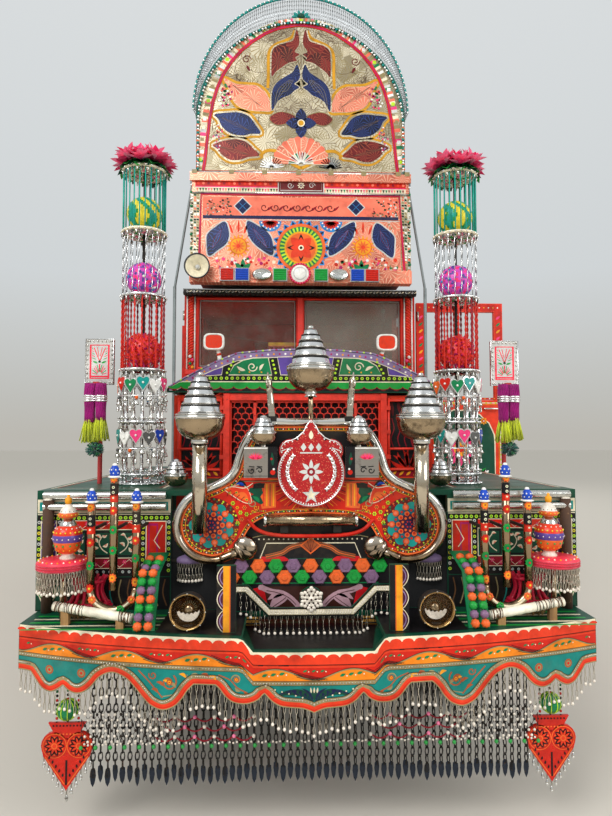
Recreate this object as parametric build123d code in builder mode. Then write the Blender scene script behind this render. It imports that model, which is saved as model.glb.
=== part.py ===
from build123d import *
import math
import os

# A long-nosed truck on a ladder frame, dressed with panels, chrome lamps, chains and a tall arch.
# Sizes are in millimetres, with +Z up. The truck faces -Y, and +X is its own left-hand side.
# The origin is on the ground under the middle of the front axle.

# Wheels and axles
WHEELBASE = 4240
TYRE_RADIUS = 500
TYRE_WIDTH = 235
RIM_RADIUS = 254
RIM_WALL = 14
RIM_LIP = 12
TYRE_SEAT_GAP = 0.5
WHEEL_CENTRE_X = 965
KINGPIN_X = 850
KINGPIN_RADIUS = 16
KINGPIN_EYE_RADIUS = 42
PIN_CLEARANCE = 0.3
SPINDLE_RADIUS = 36
HUB_RADIUS = 85
TWIN_GAP = 25
REAR_OUTER_X = 1195
REAR_TUBE_RADIUS = 60
DIFFERENTIAL_RADIUS = 190
AXLE_Z = TYRE_RADIUS

# Ladder frame
RAIL_X = 430
RAIL_WIDTH = 74
RAIL_LOW_Z = 650
RAIL_HIGH_Z = 850
RAIL_WALL = 10
RAIL_FRONT_Y = -1270
RAIL_REAR_Y = 6500
CROSS_DEPTH = 90
CROSS_HIGH = 90
CROSS_LOW = 50
SPRING_REAR_X = 520
SPRING_WIDTH = 76
SPRING_HALF_LENGTH = 600
SPRING_THICK = 42
SPRING_PAD = 30

# Engine, gearbox and driveline
ENGINE_HALF_WIDTH = 300
ENGINE_FRONT_Y = -400
ENGINE_REAR_Y = 560
ENGINE_TOP_Z = 1450
GEARBOX_REAR_Y = 1150
GEARBOX_HALF_WIDTH = 170
GEARBOX_TOP_Z = 960
SHAFT_RADIUS = 42

# Front bumper, with a bowed face and a scalloped apron
BUMPER_HALF_WIDTH = 1240
BUMPER_NOSE_Y = -1700
BUMPER_BOW = 220
BUMPER_TOP_Z = 880
BUMPER_THICK = 28
NOTCH_HALF_WIDTH = 240
NOTCH_SLOPE = 45
NOTCH_DEPTH = 52
SHELF_THICK = 20
BRACKET_LOW_Z = 700
APRON_Y = -1340
TOW_EYE_Y = -1410
TOW_EYE_Z = 655
TOW_EYE_THICK = 24
TOW_EYE_BORE = 18

# Wings beside the bonnet
WING_INNER_X = 500
FASCIA_INNER_X = 640
WING_OUTER_X = 1250
FASCIA_Y = -1300
WING_REAR_Y = 800
WING_TOP_Z = 1425
WING_WALL = 25
ARCH_RADIUS = 620
WING_LOW_Z = 844

# Nose, grille and bonnet
NOSE_Y = -550
NOSE_HALF_WIDTH = 775
NOSE_TOP_Z = 1915
NOSE_LOW_Z = 1000
NOSE_WALL = 25
GRILLE_HALF_WIDTH = 445
GRILLE_LOW_Z = 1200
GRILLE_HIGH_Z = 1880
BONNET_REAR_Y = 595
BONNET_WALL = 20
BONNET_RISE = 235
BONNET_REAR_RISE = 285
BONNET_GAP = 10
BROW_HALF_WIDTH = 815
BROW_THICK = 30
BONNET_HINGE_Y = 600
BONNET_HINGE_Z = 2062

# Cab
CAB_HALF_WIDTH = 975
CAB_WALL = 45
SCUTTLE_Y = 620
SCUTTLE_TOP_Z = 2035
SCREEN_Y = 900
SCREEN_LOW_Z = 2100
CAB_REAR_Y = 2150
CAB_LOW_Z = 1050
CAB_ROOF_Z = 2880
GLASS_HALF_WIDTH = 850
GLASS_LOW_Z = 2235
GLASS_HIGH_Z = 2835
GLASS_THICK = 8
POST_WIDTH = 60

# Doors. Each hinge line stands outside the cab, ahead of the door.
DOOR_HINGE_X = 995
DOOR_HINGE_Y = 955
DOOR_WIDTH = 750
DOOR_THICK = 40
DOOR_EDGE_GAP = 10
DOOR_LOW_Z = 1120
DOOR_HIGH_Z = 2820
DOOR_FRAME = 75
DOOR_SILL_Z = 1980

# Crown above the cab
CROWN_Y = 580
CROWN_THICK = 60
CROWN_LOW_Z = 2880
CROWN_RAIL_Z = 3770
CROWN_HALF_WIDTH = 880
ARCH_HALF_WIDTH = 835
ARCH_SPRING_Z = 4210
ARCH_TOP_Z = 5030
ARCH_THICK = 40
LACE_TOP_Z = 5260
LACE_HALF_WIDTH = 868
LACE_THICK = 16
LACE_BAND = 16
LACE_SPOKES = 33

# Cargo body
CARGO_HALF_WIDTH = 1200
CARGO_FRONT_Y = 2250
CARGO_REAR_Y = 6740
CARGO_FLOOR_Z = 1165
FLOOR_THICK = 45
BEARER_DEPTH = 60
CARGO_TOP_Z = 2850
CARGO_WALL = 45
RIB_DEPTH = 35
RIB_WIDTH = 60
GATE_HALF_WIDTH = 1145
GATE_TOP_Z = 2120
GATE_THICK = 40
GATE_HINGE_Z = 1155
GATE_HINGE_Y = 6795
GATE_GAP = 20

# Bull frame ahead of the grille
BULL_Y = -1360
BULL_THICK = 20
TUBE_RADIUS = 19
LOBE_X = 447
LOBE_Z = 1274
LOBE_RADIUS = 157
BULL_TOP_Z = 1738

# Flower towers on the wings
TOWER_Y = -950
TOWER_RADIUS = 115
TOWER_LEFT_X = 795
TOWER_RIGHT_X = -865
TOWER_RING_THICK = 14
TOWER_TOP_Z = 3106
FLOWER_RADIUS = 150
FLOWER_HEIGHT = 140
TOWER_RODS = 8
ROD_RADIUS = 5


def slab(x, y, z, mode=Mode.ADD):
    """A box between the two ends given along each axis."""
    with Locations(((x[0] + x[1]) / 2, (y[0] + y[1]) / 2, (z[0] + z[1]) / 2)):
        Box(abs(x[1] - x[0]), abs(y[1] - y[0]), abs(z[1] - z[0]), mode=mode)


def rod(start, end, radius, mode=Mode.ADD):
    """A round bar from one point to another."""
    run = Vector(*end) - Vector(*start)
    with Locations(Plane(origin=start, z_dir=run)):
        Cylinder(radius, run.length, align=(Align.CENTER, Align.CENTER, Align.MIN), mode=mode)


def both_sides(x):
    """The two ends of a strip, mirrored to the other side of the truck."""
    return [x, (-x[1], -x[0])]


def turned(points):
    """A solid of revolution about Z from (radius, height) points, starting and ending on the axis."""
    with BuildPart() as piece:
        with BuildSketch(Plane.XZ):
            with BuildLine():
                Polyline(*points, close=True)
            make_face()
        revolve(axis=Axis.Z)
    return piece.part


pieces = {}

# Ladder frame
CROSS_MEMBERS = [
    # y, lowest z, highest z
    (-1180, RAIL_LOW_Z, RAIL_LOW_Z + CROSS_HIGH),
    (-330, RAIL_LOW_Z, RAIL_LOW_Z + CROSS_LOW),
    (480, RAIL_LOW_Z, RAIL_LOW_Z + CROSS_LOW),
    (1050, RAIL_LOW_Z, RAIL_LOW_Z + CROSS_LOW),
    (1900, RAIL_HIGH_Z - CROSS_HIGH, RAIL_HIGH_Z),
    (3200, RAIL_HIGH_Z - CROSS_HIGH, RAIL_HIGH_Z),
    (5200, RAIL_LOW_Z, RAIL_HIGH_Z),
    (6440, RAIL_LOW_Z, RAIL_HIGH_Z),
]
rail_inner = RAIL_X - RAIL_WIDTH / 2
rail_outer = RAIL_X + RAIL_WIDTH / 2
with BuildPart() as frame_rails:
    for x in both_sides((rail_inner, rail_outer)):
        slab(x, (RAIL_FRONT_Y, RAIL_REAR_Y), (RAIL_LOW_Z, RAIL_HIGH_Z))
    for x in both_sides((rail_inner, rail_outer - RAIL_WALL)):
        slab(x, (RAIL_FRONT_Y, RAIL_REAR_Y), (RAIL_LOW_Z + RAIL_WALL, RAIL_HIGH_Z - RAIL_WALL), Mode.SUBTRACT)
    for y, low, high in CROSS_MEMBERS:
        slab((-rail_outer + RAIL_WALL, rail_outer - RAIL_WALL), (y - CROSS_DEPTH / 2, y + CROSS_DEPTH / 2), (low, high))
pieces["frame_rails"] = frame_rails

# Front axle: a dropped beam with an eye for each kingpin
EYE_HALF_HEIGHT = 45
SPRING_SEAT_Z = 540
with BuildPart() as front_axle:
    slab((-640, 640), (-40, 40), (425, 505))
    for x in both_sides((600, KINGPIN_X)):
        slab(x, (-40, 40), (AXLE_Z - EYE_HALF_HEIGHT, AXLE_Z + EYE_HALF_HEIGHT))
    for x in both_sides((RAIL_X - SPRING_WIDTH / 2, RAIL_X + SPRING_WIDTH / 2)):
        slab(x, (-60, 60), (500, SPRING_SEAT_Z))
    with Locations((KINGPIN_X, 0, AXLE_Z), (-KINGPIN_X, 0, AXLE_Z)):
        Cylinder(KINGPIN_EYE_RADIUS, 2 * EYE_HALF_HEIGHT)
        Cylinder(KINGPIN_RADIUS + PIN_CLEARANCE, 2 * EYE_HALF_HEIGHT, mode=Mode.SUBTRACT)
pieces["front_axle"] = front_axle

# Steering knuckles: a fork round the beam's eye, a spindle for the wheel and a steering arm
FORK_GAP = 5
FORK_THICK = 28
FORK_WEB_X = 900
FORK_WEB_THICK = 24
SPINDLE_END_X = 1024


def steering_knuckle(side):
    """One knuckle, with side 1 for the truck's left and -1 for its right."""
    web = (side * FORK_WEB_X, side * (FORK_WEB_X + FORK_WEB_THICK))
    arm_low = EYE_HALF_HEIGHT + FORK_GAP
    arm_high = arm_low + FORK_THICK
    with BuildPart() as knuckle:
        for low, high in ((AXLE_Z + arm_low, AXLE_Z + arm_high), (AXLE_Z - arm_high, AXLE_Z - arm_low)):
            with Locations((side * KINGPIN_X, 0, (low + high) / 2)):
                Cylinder(KINGPIN_EYE_RADIUS, high - low)
            slab((side * KINGPIN_X, web[1]), (-40, 40), (low, high))
        slab(web, (-40, 40), (AXLE_Z - arm_high, AXLE_Z + arm_high))
        rod((side * KINGPIN_X, 0, AXLE_Z - arm_high), (side * KINGPIN_X, 0, AXLE_Z + arm_high), KINGPIN_RADIUS)
        rod((web[1], 0, AXLE_Z), (side * SPINDLE_END_X, 0, AXLE_Z), SPINDLE_RADIUS)
        slab((side * 790, web[1]), (40, 70), (AXLE_Z - arm_high, AXLE_Z - arm_low))
        slab((side * 790, side * 830), (70, 170), (AXLE_Z - arm_high, AXLE_Z - arm_low))
    return knuckle


pieces["knuckle_left"] = steering_knuckle(1)
pieces["knuckle_right"] = steering_knuckle(-1)

# Tyres and rims. Each is turned about the axle line, then set in its place.
SHOULDER = 46
TREAD_EDGE = 34
BEAD_INSET = 26
BEAD_TO_LIP = 10
BULGE_RADIUS = 372


def tyre_ring(centres, y):
    """Tyres of one wheel, as rings about the axle line at the given X centres."""
    half = TYRE_WIDTH / 2
    seat = RIM_RADIUS + TYRE_SEAT_GAP
    with BuildPart() as ring:
        for centre in centres:
            with BuildSketch(Plane.XY):
                with BuildLine():
                    Line((centre - half + BEAD_INSET, seat), (centre + half - BEAD_INSET, seat))
                    ThreePointArc(
                        (centre + half - BEAD_INSET, seat),
                        (centre + half, BULGE_RADIUS),
                        (centre + half - TREAD_EDGE, TYRE_RADIUS - 8),
                    )
                    ThreePointArc(
                        (centre + half - TREAD_EDGE, TYRE_RADIUS - 8),
                        (centre, TYRE_RADIUS),
                        (centre - half + TREAD_EDGE, TYRE_RADIUS - 8),
                    )
                    ThreePointArc(
                        (centre - half + TREAD_EDGE, TYRE_RADIUS - 8),
                        (centre - half, BULGE_RADIUS),
                        (centre - half + BEAD_INSET, seat),
                    )
                make_face()
            revolve(axis=Axis.X)
    ring.part = ring.part.moved(Location((0, y, AXLE_Z)))
    return ring


def wheel_rim(side, inner_x, outer_x, disc_x, hub_inner_x, hub_outer_x, hub_radius, bore_radius, bore_end_x, y):
    """A rim with its barrel, two lips, disc and hub, bored from the inner end for the axle."""
    barrel_inner = RIM_RADIUS - RIM_WALL
    disc_thick = 24
    with BuildPart() as rim:
        rod((side * inner_x, 0, 0), (side * outer_x, 0, 0), RIM_RADIUS)
        for lip in ((inner_x - RIM_LIP, inner_x), (outer_x, outer_x + RIM_LIP)):
            rod((side * lip[0], 0, 0), (side * lip[1], 0, 0), RIM_RADIUS + 16)
        rod((side * (inner_x - RIM_LIP), 0, 0), (side * (outer_x + RIM_LIP), 0, 0), barrel_inner, Mode.SUBTRACT)
        rod((side * disc_x, 0, 0), (side * (disc_x + disc_thick), 0, 0), barrel_inner + 1)
        rod((side * hub_inner_x, 0, 0), (side * hub_outer_x, 0, 0), hub_radius)
        rod((side * hub_inner_x, 0, 0), (side * bore_end_x, 0, 0), bore_radius, Mode.SUBTRACT)
    rim.part = rim.part.moved(Location((0, y, AXLE_Z)))
    return rim


front_half = TYRE_WIDTH / 2 - BEAD_INSET + BEAD_TO_LIP
rear_outer_centre = REAR_OUTER_X - TYRE_WIDTH / 2
rear_inner_centre = rear_outer_centre - TYRE_WIDTH - TWIN_GAP
hub_bore = SPINDLE_RADIUS + PIN_CLEARANCE
tube_bore = REAR_TUBE_RADIUS + PIN_CLEARANCE
REAR_TUBE_END_X = 1050
for name, side in (("left", 1), ("right", -1)):
    pieces["tyre_front_" + name] = tyre_ring([side * WHEEL_CENTRE_X], 0)
    pieces["tyres_rear_" + name] = tyre_ring([side * rear_outer_centre, side * rear_inner_centre], WHEELBASE)
    pieces["rim_front_" + name] = wheel_rim(
        side, WHEEL_CENTRE_X - front_half, WHEEL_CENTRE_X + front_half, WHEEL_CENTRE_X + 25,
        FORK_WEB_X + FORK_WEB_THICK + 8, WHEEL_CENTRE_X + 100, HUB_RADIUS, hub_bore, SPINDLE_END_X + 10, 0)
    pieces["rims_rear_" + name] = wheel_rim(
        side, rear_inner_centre - front_half, rear_outer_centre + front_half,
        (rear_inner_centre + rear_outer_centre) / 2 - 12,
        880, 1125, HUB_RADIUS + 20, tube_bore, REAR_TUBE_END_X + 10, WHEELBASE)

# Rear axle with its differential
DIFFERENTIAL_NOSE = 240
with BuildPart() as rear_axle:
    rod((-REAR_TUBE_END_X, WHEELBASE, AXLE_Z), (REAR_TUBE_END_X, WHEELBASE, AXLE_Z), REAR_TUBE_RADIUS)
    with Locations((0, WHEELBASE, AXLE_Z)):
        Sphere(DIFFERENTIAL_RADIUS)
    rod((0, WHEELBASE, AXLE_Z), (0, WHEELBASE - DIFFERENTIAL_NOSE, AXLE_Z), 75)
    for x in both_sides((SPRING_REAR_X - SPRING_WIDTH / 2, SPRING_REAR_X + SPRING_WIDTH / 2)):
        slab(x, (WHEELBASE - 70, WHEELBASE + 70), (AXLE_Z, AXLE_Z + 75))
pieces["rear_axle"] = rear_axle

# Leaf springs between the axles and the rails
SPRINGS = [
    # x, y, seat z, hanger inner x
    (RAIL_X, 0, SPRING_SEAT_Z, RAIL_X - SPRING_WIDTH / 2),
    (SPRING_REAR_X, WHEELBASE, AXLE_Z + 75, rail_inner),
]
with BuildPart() as leaf_springs:
    for spring_x, spring_y, seat, hanger_x in SPRINGS:
        low_x = spring_x - SPRING_WIDTH / 2
        high_x = spring_x + SPRING_WIDTH / 2
        end_z = RAIL_LOW_Z - 50
        with BuildSketch(Plane.YZ.offset(low_x)) as leaf:
            with BuildLine():
                ThreePointArc(
                    (spring_y - SPRING_HALF_LENGTH, end_z), (spring_y, seat), (spring_y + SPRING_HALF_LENGTH, end_z))
                Line((spring_y + SPRING_HALF_LENGTH, end_z), (spring_y + SPRING_HALF_LENGTH, end_z + 14))
                ThreePointArc(
                    (spring_y + SPRING_HALF_LENGTH, end_z + 14),
                    (spring_y, seat + SPRING_THICK),
                    (spring_y - SPRING_HALF_LENGTH, end_z + 14))
                Line((spring_y - SPRING_HALF_LENGTH, end_z + 14), (spring_y - SPRING_HALF_LENGTH, end_z))
            make_face()
        extrude(amount=SPRING_WIDTH)
        for end in (-1, 1):
            y = spring_y + end * SPRING_HALF_LENGTH
            slab((hanger_x, high_x), (y - 22, y + 22), (end_z - 6, RAIL_LOW_Z))
    mirror(about=Plane.YZ)
pieces["leaf_springs"] = leaf_springs

# Engine and gearbox, one plain block each, resting on three cross members
with BuildPart() as engine_block:
    slab((-ENGINE_HALF_WIDTH, ENGINE_HALF_WIDTH), (ENGINE_FRONT_Y, ENGINE_REAR_Y),
         (RAIL_LOW_Z + CROSS_LOW, ENGINE_TOP_Z))
    slab((-GEARBOX_HALF_WIDTH, GEARBOX_HALF_WIDTH), (ENGINE_REAR_Y, GEARBOX_REAR_Y),
         (RAIL_LOW_Z + CROSS_LOW, GEARBOX_TOP_Z))
pieces["engine_block"] = engine_block

# Propeller shaft from the gearbox to the differential
SHAFT_FRONT_Z = 790
JOINT_LENGTH = 70
differential_nose_y = WHEELBASE - DIFFERENTIAL_NOSE
shaft_start = (0, GEARBOX_REAR_Y + JOINT_LENGTH, SHAFT_FRONT_Z - 60)
shaft_end = (0, differential_nose_y - JOINT_LENGTH, AXLE_Z)
with BuildPart() as propshaft:
    rod((0, GEARBOX_REAR_Y, shaft_start[2]), shaft_start, SHAFT_RADIUS + 8)
    rod(shaft_start, shaft_end, SHAFT_RADIUS)
    with Locations(shaft_start, shaft_end):
        Sphere(SHAFT_RADIUS + 8)
    rod(shaft_end, (0, differential_nose_y, AXLE_Z), SHAFT_RADIUS + 8)
pieces["propshaft"] = propshaft

# Fuel tank, strapped to the left rail
TANK_Y = (2420, 3300)
TANK_RADIUS = 215
TANK_X = rail_outer + 35 + TANK_RADIUS
TANK_Z = 800
with BuildPart() as fuel_tank:
    rod((TANK_X, TANK_Y[0], TANK_Z), (TANK_X, TANK_Y[1], TANK_Z), TANK_RADIUS)
    for y in (TANK_Y[0] + 160, TANK_Y[1] - 160):
        slab((rail_outer, TANK_X - TANK_RADIUS + 60), (y - 30, y + 30), (TANK_Z - 100, TANK_Z + 40))
pieces["fuel_tank"] = fuel_tank

# Front bumper: a bowed face with a dip in its top edge, a scalloped apron, a shelf and two brackets
bow_radius = (BUMPER_HALF_WIDTH ** 2 + BUMPER_BOW ** 2) / (2 * BUMPER_BOW)


def bow_y(x, inset=0):
    """How far forward the bumper's bowed face stands at x, less an inset."""
    return BUMPER_NOSE_Y + bow_radius - math.sqrt((bow_radius - inset) ** 2 - x ** 2)


# Lower edge from the middle outwards, as one row of x, z points for each smooth run between two corners
APRON_RUNS = [
    [(0, 594), (42, 610), (85, 614), (130, 620), (165, 638), (195, 668)],
    [(195, 668), (216, 646), (248, 631), (284, 627), (320, 634), (348, 653), (372, 682), (388, 697)],
    [(388, 697), (430, 697), (472, 697)],
    [(472, 697), (497, 672), (520, 638), (552, 607), (601, 591), (650, 607), (684, 637), (717, 673), (755, 706),
     (811, 723), (862, 702), (897, 663), (931, 636), (967, 626), (1000, 634), (1026, 652)],
    [(1026, 652), (1050, 634), (1085, 620), (1123, 630), (1152, 659), (1180, 692)],
    [(1180, 692), (1210, 694), (BUMPER_HALF_WIDTH, 694)],
]
with BuildPart() as front_bumper:
    with BuildSketch(Plane.XZ) as face_outline:
        with BuildLine():
            Polyline(
                APRON_RUNS[-1][-1], (BUMPER_HALF_WIDTH, BUMPER_TOP_Z),
                (NOTCH_HALF_WIDTH + NOTCH_SLOPE, BUMPER_TOP_Z), (NOTCH_HALF_WIDTH, BUMPER_TOP_Z - NOTCH_DEPTH),
                (0, BUMPER_TOP_Z - NOTCH_DEPTH))
            for run in APRON_RUNS:
                Spline(*run)
            mirror(about=Plane.YZ)
        make_face()
    extrude(amount=-(BUMPER_NOSE_Y - 100), both=False)
    with BuildSketch(Plane.XY) as band:
        with Locations((0, BUMPER_NOSE_Y + bow_radius)):
            Circle(bow_radius)
            Circle(bow_radius - BUMPER_THICK, mode=Mode.SUBTRACT)
    extrude(amount=2000, mode=Mode.INTERSECT)
    with BuildSketch(Plane.XY.offset(BUMPER_TOP_Z - SHELF_THICK)) as shelf:
        with Locations((0, BUMPER_NOSE_Y + bow_radius)):
            Circle(bow_radius - BUMPER_THICK + 1)
        with Locations((0, (BUMPER_NOSE_Y + FASCIA_Y + WING_WALL) / 2)):
            Rectangle(2 * BUMPER_HALF_WIDTH, FASCIA_Y + WING_WALL - BUMPER_NOSE_Y, mode=Mode.INTERSECT)
        with Locations((0, BUMPER_NOSE_Y)):
            Rectangle(2 * (NOTCH_HALF_WIDTH + NOTCH_SLOPE), 2 * (APRON_Y - BUMPER_NOSE_Y), mode=Mode.SUBTRACT)
    extrude(amount=SHELF_THICK)
    for x in both_sides((RAIL_X - 40, RAIL_X + 40)):
        slab(x, (bow_y(RAIL_X + 40, BUMPER_THICK) - 8, RAIL_FRONT_Y), (BRACKET_LOW_Z, BUMPER_TOP_Z - SHELF_THICK))
    slab((-NOTCH_HALF_WIDTH - 60, NOTCH_HALF_WIDTH + 60), (bow_y(0, BUMPER_THICK) - 2, FASCIA_Y + WING_WALL),
         (BUMPER_TOP_Z - NOTCH_DEPTH - SHELF_THICK, BUMPER_TOP_Z - NOTCH_DEPTH))
    for x in both_sides((RAIL_X - TOW_EYE_THICK / 2, RAIL_X + TOW_EYE_THICK / 2)):
        slab(x, (TOW_EYE_Y - 40, TOW_EYE_Y + 40), (TOW_EYE_Z - 40, BRACKET_LOW_Z))
        rod((x[0], TOW_EYE_Y, TOW_EYE_Z), (x[1], TOW_EYE_Y, TOW_EYE_Z), TOW_EYE_BORE, Mode.SUBTRACT)
pieces["front_bumper"] = front_bumper

# Wings: a deck, a painted front, an outer side with the wheel's arch and a rear wall


def wing(side):
    """One wing, with side 1 for the truck's left and -1 for its right."""
    deck_low = WING_TOP_Z - WING_WALL
    with BuildPart() as body:
        slab((side * WING_INNER_X, side * WING_OUTER_X), (FASCIA_Y, WING_REAR_Y), (deck_low, WING_TOP_Z))
        slab((side * FASCIA_INNER_X, side * WING_OUTER_X), (FASCIA_Y, FASCIA_Y + WING_WALL), (BUMPER_TOP_Z, deck_low))
        slab((side * (WING_OUTER_X - WING_WALL), side * WING_OUTER_X), (FASCIA_Y + WING_WALL, WING_REAR_Y),
             (WING_LOW_Z, deck_low))
        slab((side * rail_outer, side * WING_OUTER_X), (WING_REAR_Y - WING_WALL, WING_REAR_Y),
             (RAIL_HIGH_Z - 60, deck_low))
        rod((side * (WING_OUTER_X - WING_WALL - 5), 0, AXLE_Z), (side * (WING_OUTER_X + 5), 0, AXLE_Z),
            ARCH_RADIUS, Mode.SUBTRACT)
        slab((side * rail_outer, side * CAB_HALF_WIDTH), (SCUTTLE_Y, WING_REAR_Y), (CAB_LOW_Z, WING_TOP_Z),
             Mode.SUBTRACT)
    return body


pieces["wing_left"] = wing(1)
pieces["wing_right"] = wing(-1)

# Chrome rails along the top of each painted front, with their brackets and corner poles
RAIL_TUBE = 17
RAIL_STAND_OFF = 24
with BuildPart() as wing_rails:
    rail_y = FASCIA_Y - RAIL_STAND_OFF
    for z in (WING_TOP_Z - 20, WING_TOP_Z - 72):
        rod((FASCIA_INNER_X + 20, rail_y, z), (WING_OUTER_X - 40, rail_y, z), RAIL_TUBE)
        for x in (FASCIA_INNER_X + 80, (FASCIA_INNER_X + WING_OUTER_X) / 2, WING_OUTER_X - 110):
            slab((x - 12, x + 12), (rail_y, FASCIA_Y), (z - 10, z + 10))
    pole_x = 1185
    pole_y = FASCIA_Y - RAIL_TUBE
    rod((pole_x, pole_y, BUMPER_TOP_Z), (pole_x, pole_y, 1330), RAIL_TUBE)
    mirror(about=Plane.YZ)
pieces["wing_rails"] = wing_rails

# Nose sheet with its three openings, legs onto the rails, and the sides of the engine bay
with BuildPart() as nose_shell:
    slab((-NOSE_HALF_WIDTH, NOSE_HALF_WIDTH), (NOSE_Y, NOSE_Y + NOSE_WALL), (WING_TOP_Z, NOSE_TOP_Z))
    slab((-WING_INNER_X, WING_INNER_X), (NOSE_Y, NOSE_Y + NOSE_WALL), (NOSE_LOW_Z, WING_TOP_Z))
    slab((-GRILLE_HALF_WIDTH, GRILLE_HALF_WIDTH), (NOSE_Y, NOSE_Y + NOSE_WALL), (GRILLE_LOW_Z, GRILLE_HIGH_Z),
         Mode.SUBTRACT)
    for x in both_sides((GRILLE_HALF_WIDTH + 60, NOSE_HALF_WIDTH - 40)):
        slab(x, (NOSE_Y, NOSE_Y + NOSE_WALL), (WING_TOP_Z + 60, GRILLE_HIGH_Z), Mode.SUBTRACT)
    for x in both_sides((rail_inner, rail_outer)):
        slab(x, (NOSE_Y, NOSE_Y + NOSE_WALL), (RAIL_HIGH_Z, NOSE_LOW_Z))
    for x in both_sides((NOSE_HALF_WIDTH - NOSE_WALL, NOSE_HALF_WIDTH)):
        slab(x, (NOSE_Y + NOSE_WALL, SCUTTLE_Y), (WING_TOP_Z, NOSE_TOP_Z - BONNET_GAP))
pieces["nose_shell"] = nose_shell

# Grille: upright bars and crossing slats
GRILLE_BAR = 12
GRILLE_COLUMNS = 12
GRILLE_ROWS = 11
with BuildPart() as grille_lattice:
    with BuildSketch(Plane.XZ.offset(-NOSE_Y - NOSE_WALL + 7)):
        height = GRILLE_HIGH_Z - GRILLE_LOW_Z
        width = 2 * GRILLE_HALF_WIDTH
        with Locations((0, (GRILLE_LOW_Z + GRILLE_HIGH_Z) / 2)):
            with GridLocations(width / GRILLE_COLUMNS, 0, GRILLE_COLUMNS + 1, 1):
                Rectangle(GRILLE_BAR, height)
            with GridLocations(0, height / GRILLE_ROWS, 1, GRILLE_ROWS + 1):
                Rectangle(width, GRILLE_BAR)
            Rectangle(width, height, mode=Mode.INTERSECT)
    extrude(amount=12)
pieces["grille_lattice"] = grille_lattice

# Bull frame: a panel with two round lobes, inside a chrome tube


def lobe_point(degrees):
    """A point on the circle of the right-hand lobe."""
    angle = math.radians(degrees)
    return (LOBE_X + LOBE_RADIUS * math.cos(angle), LOBE_Z + LOBE_RADIUS * math.sin(angle))


def both_halves(points):
    """A row of x, z points from the middle outwards, with its mirror image in front of it."""
    return [(-x, z) for x, z in points[:0:-1]] + points


def inset(points, amount):
    """A row of points moved inwards, at a right angle to the row."""
    moved = []
    for index, (x, z) in enumerate(points):
        before = points[max(index - 1, 0)]
        after = points[min(index + 1, len(points) - 1)]
        run = (after[0] - before[0], after[1] - before[1])
        length = math.hypot(*run)
        moved.append((x + run[1] / length * amount, z - run[0] / length * amount))
    return moved


BULL_SHOULDER = [
    (0, BULL_TOP_Z), (110, BULL_TOP_Z), (200, BULL_TOP_Z - 5), (262, 1694), (303, 1631), (326, 1568), (343, 1518),
    (374, 1481), (423, 1453), (478, 1431),
]
BULL_LOWER = [(0, 1325), (160, 1318), (235, 1296), (275, 1262), (308, 1206), (343, 1152)]
PANEL_INSET = 12
bull_line = both_halves(BULL_SHOULDER + [lobe_point(angle) for angle in (55, 30, 0, -30, -60, -90, -110)])
tube_y = BULL_Y + BULL_THICK - TUBE_RADIUS
with BuildPart() as bull_tube:
    with BuildLine(Plane.XZ.offset(-tube_y)) as tube_path:
        Spline(*bull_line)
    with BuildSketch(Plane(origin=tube_path.line @ 0, z_dir=tube_path.line % 0)):
        Circle(TUBE_RADIUS)
    sweep(path=tube_path.line)
pieces["bull_tube"] = bull_tube

with BuildPart() as bull_panel:
    with BuildSketch(Plane.XZ.offset(-BULL_Y)):
        with BuildLine():
            panel_edge = Spline(*inset(bull_line, PANEL_INSET))
            Spline(panel_edge @ 1, *both_halves(BULL_LOWER)[::-1], panel_edge @ 0)
        make_face()
    extrude(amount=-BULL_THICK)
    add(bull_tube.part, mode=Mode.SUBTRACT)
pieces["bull_panel"] = bull_panel

# Shield on the bull frame, with a crest at its top
SHIELD_RADIUS = 152
SHIELD_Z = 1510
SHIELD_TOP_Z = 1756
SHIELD_THICK = 20
SHIELD_BACK_Y = -1388
with BuildPart() as shield:
    with BuildSketch(Plane.XZ.offset(-SHIELD_BACK_Y)):
        with Locations((0, SHIELD_Z)):
            Circle(SHIELD_RADIUS)
        with Locations((-92, SHIELD_Z + 100), (92, SHIELD_Z + 100)):
            Circle(52)
        Polygon((-75, SHIELD_Z + 120), (75, SHIELD_Z + 120), (0, SHIELD_TOP_Z), align=None)
    extrude(amount=SHIELD_THICK)
    for x in both_sides((50, 80)):
        slab(x, (SHIELD_BACK_Y, BULL_Y), (SHIELD_Z - 60, SHIELD_Z - 30))
pieces["shield"] = shield

# Tiered chrome lamps, with a bowl below and stacked rings above
LARGE_DOME = [
    # radius, height above the bottom of the bowl
    (0, 0), (34, 0), (72, 14), (98, 45), (109, 94), (109, 104), (90, 116), (85, 150), (74, 158), (69, 190),
    (59, 197), (55, 224), (46, 230), (42, 256), (32, 262), (28, 284), (15, 291), (10, 301), (0, 303),
]
HAND = [(0, 0), (17, 0), (14, 14), (14, 118), (20, 150), (19, 176), (9, 208), (0, 212)]
SMALL_DOME = [
    (0, 0), (22, 0), (48, 20), (60, 62), (60, 68), (46, 80), (50, 85), (30, 100), (34, 104), (10, 120), (0, 122),
]
DOME_X = 493
DOME_Y = -1424
DOME_LOW_Z = 1657
DOME_POST_RADIUS = 34
DOME_SOCKET_Z = 1285
CENTRE_DOME_Z = 1880
SMALL_DOME_X = 212
HAND_X = 176
BOX_LOW_Z = 1495
BOX_HIGH_Z = 1618
large_dome = turned(LARGE_DOME)
small_dome = turned(SMALL_DOME)
hand = turned(HAND)
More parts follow.
